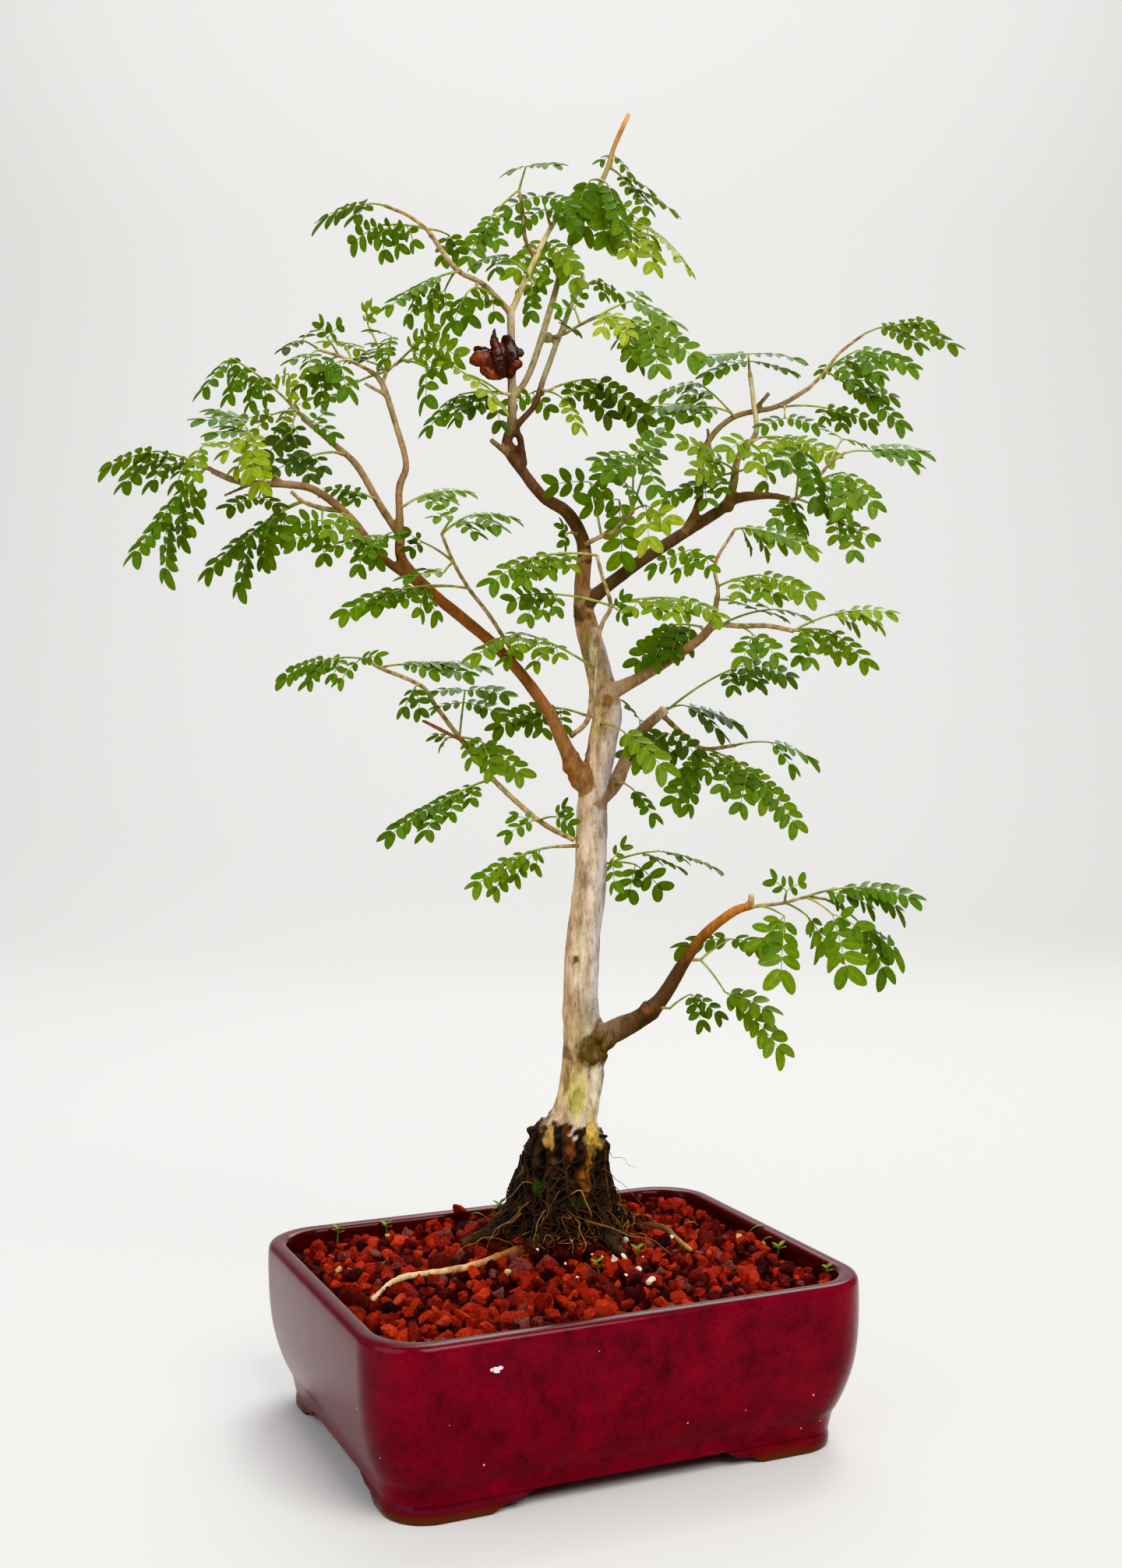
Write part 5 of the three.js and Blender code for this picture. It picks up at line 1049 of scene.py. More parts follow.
class Paint:
    """A procedural material that is being put together, and what its colours are made of."""

    def __init__(self, name, roughness, gloss=None):
        self.material = bpy.data.materials.new(name)
        self.material.use_nodes = True
        self.nodes = self.material.node_tree.nodes
        self.shader = self.nodes["Principled BSDF"]
        self.set("Roughness", roughness)
        if gloss is not None:
            self.set("Specular IOR Level", gloss)

    def set(self, socket, value):
        self.shader.inputs[socket].default_value = value

    def link(self, output, socket):
        self.material.node_tree.links.new(output, socket)

    def node(self, kind, **settings):
        node = self.nodes.new(kind)
        for key, value in settings.items():
            if key in node.inputs:
                node.inputs[key].default_value = value
            else:
                setattr(node, key, value)
        return node

    def value(self, name):
        """The value of each point that the pieces carry under this name."""
        return self.node("ShaderNodeAttribute", attribute_name=name).outputs["Fac"]

    def noise(self, scale, detail=4.0, fineness=0.55, stretch=None):
        """Noise over the object, drawn out along its height where a stretch is given."""
        where = self.nodes.new("ShaderNodeTexCoord").outputs["Object"]
        if stretch:
            squeeze = self.nodes.new("ShaderNodeMapping")
            squeeze.inputs["Scale"].default_value = (1.0, 1.0, 1.0 / stretch)
            self.link(where, squeeze.inputs["Vector"])
            where = squeeze.outputs["Vector"]
        texture = self.node("ShaderNodeTexNoise", Scale=scale, Detail=detail, Roughness=fineness)
        self.link(where, texture.inputs["Vector"])
        return texture.outputs["Fac"]

    def height_fade(self, start, end):
        """0 at the start height, 1 at the end height, in millimetres."""
        split = self.nodes.new("ShaderNodeSeparateXYZ")
        self.link(self.nodes.new("ShaderNodeTexCoord").outputs["Object"], split.inputs["Vector"])
        fade = self.nodes.new("ShaderNodeMapRange")
        fade.inputs["From Min"].default_value = start * MM
        fade.inputs["From Max"].default_value = end * MM
        self.link(split.outputs["Z"], fade.inputs["Value"])
        return fade.outputs["Result"]

    def ramp(self, share, stops):
        """Colours by a share from 0 to 1, as [share, colour] stops."""
        ramp = self.nodes.new("ShaderNodeValToRGB")
        elements = ramp.color_ramp.elements
        while len(elements) < len(stops):
            elements.new(0.5)
        for element, (at, colour) in zip(elements, stops):
            element.position = at
            element.color = linear(colour)
        self.link(share, ramp.inputs["Fac"])
        return ramp.outputs["Color"]

    def mix(self, factor, first, second, mode="MIX"):
        """A colour mix. The factor is an output or a number, and a colour an output or a #rrggbb code."""
        mix = self.nodes.new("ShaderNodeMix")
        mix.data_type = "RGBA"
        mix.blend_type = mode
        for index, value in ((0, factor), (6, first), (7, second)):
            if isinstance(value, bpy.types.NodeSocket):
                self.link(value, mix.inputs[index])
            else:
                mix.inputs[index].default_value = linear(value) if isinstance(value, str) else value
        return mix.outputs[2]

    def bump(self, height, strength, distance):
        """Raises the surface by a height, over a distance in millimetres."""
        node = self.node("ShaderNodeBump", Strength=strength, Distance=distance * MM)
        self.link(height, node.inputs["Height"])
        self.link(node.outputs["Normal"], self.shader.inputs["Normal"])

    def done(self, colour):
        self.link(colour, self.shader.inputs["Base Color"])
        return self.material


def glaze_material():
    """Oxblood: clouded reds, worn brown low down, a painted shade and dull sheen at the west end, an inside
    darkened partly by painted shade, and bare feet.
    """
    paint = Paint("oxblood_glaze", roughness=0.22, gloss=0.12)
    paint.set("Coat Weight", 0.1)
    paint.set("Coat Roughness", 0.06)
    cloud = paint.ramp(
        paint.noise(scale=60.0, detail=8.0, fineness=0.72),
        [[0.3, "#38030d"], [0.44, "#560514"], [0.6, "#680617"], [0.78, "#74141c"]],
    )
    flecks = paint.ramp(
        paint.noise(scale=700.0, detail=4.0, fineness=0.7),
        [[0.36, "#a08080"], [0.5, "#ffffff"], [0.68, "#ffe6e2"]],
    )
    flecked = paint.mix(0.55, cloud, flecks, "MULTIPLY")
    worn = paint.ramp(
        paint.noise(scale=55.0, detail=5.0, fineness=0.6),
        [[0.52, "#000000"], [0.68, "#b0b0b0"]],
    )
    low_band = paint.mix(paint.height_fade(34, 16), "#000000", worn)
    browned = paint.mix(low_band, flecked, "#4f1a15")
    # Painted shade and a dull sheen on the west end, where the shade value is 1
    west_shade_and_sheen = paint.mix(paint.value("shade"), browned, paint.mix(0.5, flecked, "#3d1c22"))
    rimmed = paint.mix(paint.height_fade(82.6, 83.9), west_shade_and_sheen, "#43161a")
    footed = paint.mix(paint.height_fade(5.5, 1.5), rimmed, "#4f2917")
    paint.bump(paint.noise(scale=70.0, detail=3.0), strength=0.1, distance=0.5)
    # The inside's near-black is partly its own colour and partly painted shade
    return paint.done(paint.mix(paint.value("rim"), footed, "#2e0d0c"))


def bark_material():
    paint = Paint("bark", roughness=0.72, gloss=0.3)
    tint = paint.node("ShaderNodeVertexColor", layer_name="tint").outputs["Color"]
    patches = paint.ramp(
        paint.noise(scale=130.0, detail=8.0, fineness=0.68, stretch=2.2),
        [[0.34, "#8b7458"], [0.47, "#d9d0c0"], [0.6, "#fffdf8"], [0.72, "#e9e4dc"]],
    )
    specks = paint.ramp(
        paint.noise(scale=700.0, detail=6.0, fineness=0.75, stretch=3.5),
        [[0.36, "#6d5a44"], [0.47, "#ffffff"]],
    )
    mottled = paint.mix(0.75, tint, patches, "MULTIPLY")
    paint.bump(paint.noise(scale=420.0, detail=9.0, fineness=0.72, stretch=2.5), strength=0.7, distance=0.9)
    return paint.done(paint.mix(0.55, mottled, specks, "MULTIPLY"))


def twig_material():
    paint = Paint("twig_bark", roughness=0.75)
    streaks = paint.noise(scale=260.0, detail=5.0)
    paint.bump(streaks, strength=0.4, distance=0.4)
    return paint.done(paint.ramp(streaks, [[0.32, "#5a4529"], [0.5, "#8a7448"], [0.7, "#b09a68"]]))


def two_tone_material(name, scale, stops):
    """A dull material of two colours that noise mixes."""
    paint = Paint(name, roughness=0.6)
    return paint.done(paint.ramp(paint.noise(scale), stops))


def leaf_material():
    """Leaf green by each point's shade, paler on its midrib, with a painted highlight along its edge, and
    with light that shines through.
    """
    paint = Paint("leaf_blade", roughness=0.5, gloss=0.22)
    greens = paint.ramp(paint.value("shade"), LEAF_GREENS)
    # A paler midrib, and a painted highlight along the blade's edge
    midrib_and_edge_glint = paint.ramp(
        paint.value("rim"), [[0.0, "#b4c070"], [0.13, "#7c7c7c"], [0.9, "#7c7c7c"], [1.0, "#a3ad72"]]
    )
    ribbed_and_glinted = paint.mix(0.7, greens, midrib_and_edge_glint, "OVERLAY")
    mottle = paint.noise(scale=380.0, detail=4.0)
    colour = paint.mix(0.6, ribbed_and_glinted, paint.ramp(mottle, [[0.32, "#b8bd98"], [0.6, "#ffffff"]]), "MULTIPLY")
    paint.bump(mottle, strength=0.25, distance=0.25)
    glow = paint.nodes.new("ShaderNodeBsdfTranslucent")
    paint.link(paint.mix(0.35, colour, "#a8c41e"), glow.inputs["Color"])
    blend = paint.nodes.new("ShaderNodeMixShader")
    blend.inputs[0].default_value = 0.22
    paint.link(paint.shader.outputs["BSDF"], blend.inputs[1])
    paint.link(glow.outputs["BSDF"], blend.inputs[2])
    paint.link(blend.outputs["Shader"], paint.nodes["Material Output"].inputs["Surface"])
    return paint.done(colour)


def grit_material():
    paint = Paint("lava_grit", roughness=0.9, gloss=0.25)
    reds = paint.ramp(paint.value("shade"), GRIT_REDS)
    pores = paint.noise(scale=620.0, detail=7.0, fineness=0.75)
    paint.bump(pores, strength=1.0, distance=1.0)
    pored = paint.ramp(pores, [[0.36, "#4a2c2a"], [0.5, "#e0d0cc"], [0.64, "#ffffff"]])
    return paint.done(paint.mix(0.8, reds, pored, "MULTIPLY"))


def shaded_material(name, stops, roughness, scale, strength=0.6):
    """A material whose colour follows the points' shade, roughened by fine noise."""
    paint = Paint(name, roughness)
    colours = paint.ramp(paint.value("shade"), stops)
    speck = paint.noise(scale, detail=5.0, fineness=0.7)
    paint.bump(speck, strength=0.6, distance=0.5)
    specks = paint.ramp(speck, [[0.35, "#75695c"], [0.55, "#ffffff"]])
    return paint.done(paint.mix(strength, colours, specks, "MULTIPLY"))


def pod_material():
    paint = Paint("seed_pod", roughness=0.34, gloss=0.3)
    blotch = paint.noise(scale=170.0, detail=6.0, fineness=0.65)
    dark = paint.ramp(blotch, [[0.36, "#0e0404"], [0.5, "#240a08"], [0.64, "#45150d"], [0.78, "#6e2b14"]])
    bright = paint.ramp(blotch, [[0.34, "#4a180d"], [0.5, "#7e3417"], [0.66, "#a65424"], [0.8, "#b8702e"]])
    body = paint.mix(paint.value("shade"), dark, bright)
    paint.bump(blotch, strength=0.6, distance=1.0)
    return paint.done(paint.mix(paint.value("rim"), body, "#22100c"))


def paper_material():
    paint = Paint("studio_paper", roughness=0.9)
    paint.set("Base Color", linear("#bfbebc"))
    return paint.material


# Pot


def corner_radius(inset):
    return max(POT_CORNER_RADIUS - inset * CORNER_TIGHTENING, SMALLEST_CORNER)


def pan_ring(inset, height):
    """The rim's rounded rectangle, inset, at a height, counter-clockwise from above."""
    radius = corner_radius(inset)
    half_length = POT_LENGTH / 2 - inset
    half_width = POT_WIDTH / 2 - inset
    ring = []
    for corner in range(4):
        centre_x = (1 if corner in (0, 3) else -1) * (half_length - radius)
        centre_y = (1 if corner < 2 else -1) * (half_width - radius)
        for step in range(POT_CORNER_STEPS + 1):
            angle = math.pi / 2 * (corner + step / POT_CORNER_STEPS)
            ring.append([centre_x + radius * math.cos(angle), centre_y + radius * math.sin(angle), height])
    return np.array(ring) + POT_CENTRE


def fine_profile(profile):
    """The profile with its corners cut off again and again, so that it runs smoothly."""
    rows = np.array(profile, float)
    for _ in range(PROFILE_ROUNDS):
        starts, ends = rows[:-1], rows[1:]
        cut = np.empty((2 * len(starts), 2))
        cut[0::2] = (1 - CORNER_CUT) * starts + CORNER_CUT * ends
        cut[1::2] = CORNER_CUT * starts + (1 - CORNER_CUT) * ends
        rows = np.vstack([rows[:1], cut, rows[-1:]])
    return rows


def foot_section(low):
    """A foot's section as [out, height] rows, where its lower edge is at a height."""
    top = FOOT_HEIGHT + FOOT_SUNK
    return [
        [-FOOT_SUNK, top], [-FOOT_NECK, FOOT_HEIGHT], [FOOT_SWELL, (low + FOOT_HEIGHT) / 2],
        [FOOT_LIP, low + FOOT_LIP_HEIGHT], [-FOOT_ROUNDING, low], [-FOOT_THICKNESS, low],
        [-FOOT_THICKNESS, top],
    ]


def foot_geometry(sign_x, sign_y):
    """A cloud foot's points and faces: its section, carried round one corner of the pot."""
    outer_x = POT_LENGTH / 2 - FOOT_OUTER_INSET
    outer_y = POT_WIDTH / 2 - FOOT_OUTER_INSET
    radius = corner_radius(FOOT_OUTER_INSET)
    straight_x = FOOT_LONG_ARM - radius
    straight_y = FOOT_SHORT_ARM - radius
    arc = math.pi / 2 * radius
    edge = np.array(FOOT_EDGE)
    rings = []
    for share in np.linspace(0, 1, FOOT_STEPS):
        distance = share * (straight_x + arc + straight_y)
        if distance < straight_x:
            x, y, normal = outer_x - radius - (straight_x - distance), outer_y, (0, 1)
        elif distance < straight_x + arc:
            angle = math.pi / 2 - (distance - straight_x) / radius
            normal = (math.cos(angle), math.sin(angle))
            x, y = outer_x - radius + radius * normal[0], outer_y - radius + radius * normal[1]
        else:
            x, y, normal = outer_x, outer_y - radius - (distance - straight_x - arc), (1, 0)
        section = foot_section(float(np.interp(share, edge[:, 0], edge[:, 1])))
        ring = [[sign_x * (x + normal[0] * out), sign_y * (y + normal[1] * out), z] for out, z in section]
        rings.append(ring if sign_x * sign_y < 0 else ring[::-1])
    return np.vstack(rings) + POT_CENTRE, loft_faces(FOOT_STEPS, len(section))


def wavy(ring):
    """A hand-made pot's slight waviness, in millimetres, that fades towards its foot."""
    points = ring.copy()
    waves = POT_WAVES * lumps(points, wavelength=90, seed=21)
    swell = waves * np.clip(points[:, 2] / POT_WAVES_FULL_HEIGHT, 0, 1)
    outward = points - POT_CENTRE
    outward[:, 2] = 0
    return points + outward / np.linalg.norm(outward, axis=1)[:, None] * swell[:, None]


def make_pot(material):
    """The glazed pot and its feet. The rim value marks the inside, whose dark is partly painted shade, and
    the shade the west end's painted shade and sheen.
    """
    piece = Piece()
    profile = fine_profile([*POT_OUTSIDE, *POT_INSIDE])
    rim = int(np.argmax(profile[:, 1] > POT_INSIDE[0][1] - RIM_TOP_SLACK))
    rings = [wavy(pan_ring(inset, height)) for inset, height in profile]
    around = len(rings[0])
    # The inside rows, whose dark colour is partly painted shade
    inside = [float(row >= rim and height <= RIM_EDGE_HEIGHT) for row, (_, height) in enumerate(profile)]
    points = np.vstack(rings)
    # The west end's painted shade and sheen: 1 at the end, fading to 0 over the fade's width
    painted_west_shade = np.clip((POT_CENTRE[0] - points[:, 0] - POT_LENGTH / 2 + WEST_SHADE_FADE) / WEST_SHADE_FADE, 0, 1)
    piece.add(points, loft_faces(len(rings), around), rim=np.repeat(inside, around), shade=painted_west_shade)
    pot = piece.make("glazed_pot", [material])
    for side in (-1, 1):
        cut_drain_hole(pot, side * DRAIN_HOLE_OFFSET)
    feet = Piece()
    for sign_x in (-1, 1):
        for sign_y in (-1, 1):
            # The west feet take the west end's painted shade and sheen
            feet.add(*foot_geometry(sign_x, sign_y), rim=0.0, shade=float(sign_x < 0))
    cloud_feet = feet.make("cloud_feet", [material])
    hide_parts("pot")
    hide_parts(*FOOT_NODES)
    for glazed in (pot, cloud_feet):
        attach(glazed, "root")
    return pot


def cut_drain_hole(pot, offset):
    """Cuts a round hole through the pot's floor, at an offset along its length from the middle."""
    angles = circle(DRAIN_HOLE_SIDES)
    edge = DRAIN_HOLE_RADIUS * np.column_stack([np.cos(angles), np.sin(angles)])
    middle = POT_CENTRE + [offset, 0, 0]
    rings = [np.column_stack([edge, np.full(DRAIN_HOLE_SIDES, z)]) + middle for z in (0.0, 2 * FLOOR_TOP)]
    plug = Piece()
    # The hole's wall takes the inside's dark colour, which is partly painted shade
    plug.add(np.vstack(rings), loft_faces(len(rings), DRAIN_HOLE_SIDES), rim=1.0)
    cutter = plug.make("drain_hole_plug", [])
    cut = pot.modifiers.new("cut", "BOOLEAN")
    cut.operation = "DIFFERENCE"
    cut.solver = "EXACT"
    cut.object = cutter
    apply_modifier(pot, "cut")
    bpy.data.objects.remove(cutter)


def make_chips(pot, material):
    """Small bare spots in the glaze, each where the eye's line to its reading meets the pot."""
    random = np.random.default_rng(5)
    ball, faces = rock_template()
    piece = Piece()
    for across, up, radius in GLAZE_CHIPS:
        aim = place([across, up, 0])
        found, spot, normal, _ = pot.ray_cast((EYE * MM).tolist(), unit(aim - EYE).tolist())
        if not found:
            continue
        normal = np.array(normal)
        flat = rough_stone(ball, random) * radius
        flat -= np.outer(flat @ normal, normal) * CHIP_FLATNESS
        piece.add(flat + np.array(spot) / MM, faces, shade=random.uniform(0.3, 1))
    chips = piece.make("glaze_chips", [material])
    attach(chips, "root")


# Soil


def soil_height(point):
    return SOIL_EDGE_HEIGHT + SOIL_MOUND_HEIGHT * math.exp(-(from_foot(point) / SOIL_MOUND_REACH) ** 2)


def rock_template():
    bpy.ops.mesh.primitive_ico_sphere_add(subdivisions=2, radius=1.0)
    ball = bpy.context.object
    points = np.array([vertex.co[:] for vertex in ball.data.vertices])
    faces = [list(face.vertices) for face in ball.data.polygons]
    bpy.data.objects.remove(ball)
    return points, faces


def rough_stone(ball, random):
    """An angular pebble: the ball's points pulled in to a few random flats."""
    points = ball.copy()
    for _ in range(STONE_FLATS):
        normal = unit(random.normal(size=3))
        reach = points @ normal
        limit = random.uniform(*STONE_FLAT_DEPTH)
        points -= np.outer(np.clip(reach - limit, 0, None), normal)
    points *= random.uniform(*STONE_STRETCH, size=3)
    return points + random.normal(scale=STONE_ROUGHNESS, size=points.shape)


def random_turn(random):
    """A random rotation, as the matrix of a unit quaternion."""
    w, x, y, z = unit(random.normal(size=4))
    return np.array([
        [1 - 2 * (y * y + z * z), 2 * (x * y - z * w), 2 * (x * z + y * w)],
        [2 * (x * y + z * w), 1 - 2 * (x * x + z * z), 2 * (y * z - x * w)],
        [2 * (x * z - y * w), 2 * (y * z + x * w), 1 - 2 * (x * x + y * y)],
    ])


def turned_stone(ball, random):
    return rough_stone(ball, random) @ random_turn(random).T


def inside_pot(x, y, inset):
    """Whether a place, from the pot's middle, is inside the rim's outline by the inset."""
    radius = corner_radius(inset)
    over_x = max(abs(x) - (POT_LENGTH / 2 - inset - radius), 0)
    over_y = max(abs(y) - (POT_WIDTH / 2 - inset - radius), 0)
    return math.hypot(over_x, over_y) < radius


def on_soil(across, up):
    """The point of the soil's surface that the front view shows at a reading."""
    near, far = SIGHT_NEAR, SIGHT_FAR
    for _ in range(SIGHT_ROUNDS):
        middle = (near + far) / 2
        point = place([across, up, middle])
        if point[2] > soil_height(point):
            near = middle
        else:
            far = middle
    point = place([across, up, near])
    while not inside_pot(*(point - POT_CENTRE)[:2], SOIL_INSET + GRIT_ROOM):
        near -= SIGHT_STEP
        point = place([across, up, near])
    point[2] = soil_height(point)
    return point


def root_clearance(point, radius, roots):
    """The highest that a stone may reach here, so that the roots stay on top of the grit."""
    distance = np.hypot(roots[:, 0] - point[0], roots[:, 1] - point[1])
    under = distance < radius * STONE_REACH + roots[:, 3]
    return roots[under, 2].min() if under.any() else np.inf


def add_soil_bed(piece, random):
    """The bed under the grit, near-black as painted shade in the gaps between the stones: the pot's inside
    up to its edge, then rings that close over the mound.
    """
    rings = [pan_ring(inset, height) for inset, height in SOIL_SIDE]
    outline = rings[-1]
    for ring in range(SOIL_RINGS + 1):
        points = POT_CENTRE + (outline - POT_CENTRE) * (1 - ring / (SOIL_RINGS + 0.5))
        for point in points:
            point[2] = soil_height(point) - SOIL_UNDER_GRIT + random.uniform(-SOIL_ROUGHNESS, SOIL_ROUGHNESS)
        rings.append(points)
    # Its dark shade value paints shade into the gaps between the stones
    piece.add(np.vstack(rings), loft_faces(len(rings), len(rings[0])), shade=0.1)


def add_grit(piece, template, placed, roots, random):
    """Stones all over the bed, in shaken rows, clear of the placed stones and under the roots."""
    ball, faces = template
    row_spacing = GRIT_SPACING * GRIT_ROW_SHARE
    columns = int(POT_LENGTH / GRIT_SPACING)
    rows = int(POT_WIDTH / row_spacing)
    for row in range(-rows // 2, rows // 2 + 1):
        for column in range(-columns // 2, columns // 2 + 1):
            x = (column + 0.5 * (row % 2)) * GRIT_SPACING + random.uniform(-GRIT_JITTER, GRIT_JITTER)
            y = row * row_spacing + random.uniform(-GRIT_JITTER, GRIT_JITTER)
            size = GRIT_SMALLEST + (GRIT_LARGEST - GRIT_SMALLEST) * random.beta(*GRIT_SIZE_SPREAD)
            if not inside_pot(x, y, SOIL_INSET + size * STONE_REACH):
                continue
            centre = POT_CENTRE + [x, y, 0]
            if any(math.hypot(*(centre - stone[:3])[:2]) < stone[3] * STONE_KEEPS_CLEAR for stone in placed):
                continue
            top = soil_height(centre) + random.uniform(*GRIT_RISE)
            centre[2] = min(top, root_clearance(centre, size, roots)) - size * STONE_REACH
            stone = turned_stone(ball, random) * size
            kinds = GRIT_KINDS if from_foot(centre) > OLD_SOIL_REACH else OLD_GRIT_KINDS
            dullest, brightest = GRIT_SHADES[random.choice(len(GRIT_SHADES), p=kinds)]
            piece.add(stone + centre, faces, shade=random.uniform(dullest, brightest))


def add_crumbs(piece, template, random):
    """Dark crumbs of the old soil round the trunk's foot."""
    ball, faces = template
    for _ in range(OLD_SOIL_CRUMBS):
        angle = random.uniform(0, 2 * math.pi)
        reach = random.uniform(CRUMB_START, OLD_SOIL_REACH) * random.uniform(*CRUMB_STRAY)
        centre = TRUNK_FOOT + reach * compass(angle)
        size = random.uniform(*CRUMB_SIZES)
        centre[2] = soil_height(centre) + random.uniform(*CRUMB_RISE)
        crumb = turned_stone(ball, random) * size
        piece.add(crumb + centre, faces, shade=random.uniform(*CRUMB_SHADES))


def make_soil(material, pale, roots):
    random = np.random.default_rng(11)
    piece = Piece()
    template = rock_template()
    ball, faces = template
    placed = []
    for table, shade in ((DARK_STONES, 0.02), (DUSTY_STONES, 1.0)):
        placed += [[*on_soil(across, up), radius, shade] for across, up, radius in table]
    add_soil_bed(piece, random)
    add_grit(piece, template, placed, roots, random)
    add_crumbs(piece, template, random)
    for x, y, z, size, shade in placed:
        piece.add(turned_stone(ball, random) * size + [x, y, z - size * STONE_SINKS], faces, shade=shade)
    across, up, radius = ROCK_ON_RIM
    piece.add(rough_stone(ball, random) * radius + on_soil(across, up) + UP * radius, faces, shade=0.5)
    for table, shade in ((PERLITE, 1.0), (TAN_STONES, 0.3)):
        for across, up, radius in table:
            stone = turned_stone(ball, random) * radius * PALE_STONE_SCALE
            spot = on_soil(across, up) + UP * radius * PALE_STONE_RISE
            piece.add(stone + spot, faces, shade=shade, slot=1)
    soil = piece.make("lava_grit_bed", [material, pale], smooth=False)
    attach(soil, "root")
    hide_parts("soil")


def add_sprout(piece, foot, random):
    """A seedling: a stem with four leaves round its head."""
    tall = random.uniform(*SPROUT_HEIGHTS)
    lean = unit(np.array([random.normal(), random.normal(), SPROUT_UPRIGHT]))
    stem = arch(foot - UP * SPROUT_SUNK, foot + lean * tall, SPROUT_STEM_ARCH, SPROUT_STEM_POINTS)
    piece.add(*tube(stem, np.linspace(*SPROUT_STEM_RADII, len(stem)), THIN_TUBE_SIDES), shade=0.55)
    for leaf in range(SPROUT_LEAVES):
        angle = leaf * SPROUT_LEAF_TURN + random.uniform(0, SPROUT_LEAF_STRAY)
        direction = unit(compass(angle) + UP * SPROUT_LEAF_RISE)
        start = foot + lean * tall * (1 - SPROUT_LEAF_DROP * leaf)
        length = random.uniform(*SPROUT_LEAF_LENGTHS)
        shade = random.uniform(*SPROUT_SHADES)
        add_leaflet(piece, start, direction, UP, length, SPROUT_LEAF_WIDTH, shade)


def add_grass(piece, foot, length, random):
    """A blade of grass: a strip along an arch that leans over to one side."""
    tip = foot + turn([random.choice([-1, 1]) * length * GRASS_LEAN, -2, length * GRASS_RISE])
    count = GRASS_POINTS
    curve = arch(foot, tip, length * GRASS_ARCH, count)
    widths = GRASS_WIDTH * np.sin(np.linspace(0.7, math.pi, count)) + 0.1
    side = unit(np.cross(tip - foot, UP))
    edges = np.vstack([curve + np.outer(widths, side), curve - np.outer(widths, side)])
    piece.add(edges, [[i, i + 1, count + 1 + i, count + i] for i in range(count - 1)], shade=0.7)


def make_sprouts(material):
    """Seedlings and blades of grass that come up through the grit."""
    random = np.random.default_rng(17)
    piece = Piece()
    for across, up in SPROUTS:
        add_sprout(piece, on_soil(across, up), random)
    for across, up, length in GRASS_BLADES:
        add_grass(piece, on_soil(across, up), length, random)
    sprouts = piece.make("sprouts", [material])
    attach(sprouts, "root")


# Wood


def limb_samples(limb):
    """A limb's fine route as [x, y, z, radius] rows."""
    share = PALE_ROOT_SCALE if limb == PALE_ROOT else 1.0
    rows = [[*place(row), row[3] / 2 * share] for row in LIMBS[limb]]
    return smooth_route(rows, WOOD_STEP)


def make_wood(material):
    """The whole tree's wood, fused from tubes and knots into one skin, and then roughened and coloured."""
    piece = Piece()
    places, limbs, colours = [], [], []
    for limb in LIMBS:
        if limb == HAIR_ROOT:
            continue
        fine = limb_samples(limb)
        sides = TRUNK_SIDES if limb == "trunk" else LIMB_SIDES
        piece.add(*tube(fine[:, :3], np.maximum(fine[:, 3] + THIN_WOOD_GAIN, THINNEST_WOOD), sides))
        stops = ROOT_BARK if limb in ROOT_ARMS else LIMB_BARK.get(limb, USUAL_BARK)
        places.extend(fine)
        limbs.extend([limb] * len(fine))
        colours.extend(ramp_colour(stops, share) for share in np.arange(len(fine)) / (len(fine) - 1))
    for start, end, diameter in STUBS:
        rows = [[*place(start), diameter / 2], [*place(end), diameter / STUB_TIP_DIVISOR]]
        fine = smooth_route(rows, WOOD_STEP)
        piece.add(*tube(fine[:, :3], fine[:, 3], STUB_SIDES))
    ball, faces = rock_template()
    for knot in KNOTS:
        piece.add(ball * knot[3] * KNOT_SHAPE + place(knot), faces)
    wood = piece.make("bark_skin", [material])
    remesh = wood.modifiers.new("fuse", "REMESH")
    remesh.mode = "VOXEL"
    remesh.voxel_size = WOOD_VOXEL * MM
    soften = wood.modifiers.new("soften", "SMOOTH")
    soften.factor = 0.5
    soften.iterations = SOFTEN_ROUNDS
    for modifier in ("fuse", "soften"):
        apply_modifier(wood, modifier)
    skin = Skin(wood.data, np.array(places), np.array(limbs))
    skin.roughen()
    skin.colour(np.array(colours))
    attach(wood, "root")
    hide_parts("trunk")
    return wood


def front_reading(points):
    """Where the front view shows points of the shared frame: their across and up."""
    cos, sin = math.cos(-FRONT_TURN), math.sin(-FRONT_TURN)
    local = points - POT_CENTRE
    x = local[:, 0] * cos - local[:, 1] * sin
    y = local[:, 0] * sin + local[:, 1] * cos
    spread = 1 + (y - TRUNK_BACK) / EYE_DISTANCE
    return EYE_ACROSS + (x - EYE_ACROSS) / spread, EYE_UP + (local[:, 2] - EYE_UP) / spread


def blend(colours, colour, share):
    share = np.clip(share, 0, 1)[:, None]
    return colours * (1 - share) + np.array(linear(colour)) * share


def nearest_places(points, places):
    """For each point, the number of the place that is nearest to it."""
    tree = kdtree.KDTree(len(places))
    for i, spot in enumerate(places):
        tree.insert(spot, i)
    tree.balance()
    return np.array([tree.find(point)[1] for point in points])


def vertex_values(mesh, name):
    values = np.zeros(len(mesh.vertices) * 3)
    mesh.vertices.foreach_get(name, values)
    return values.reshape(-1, 3)


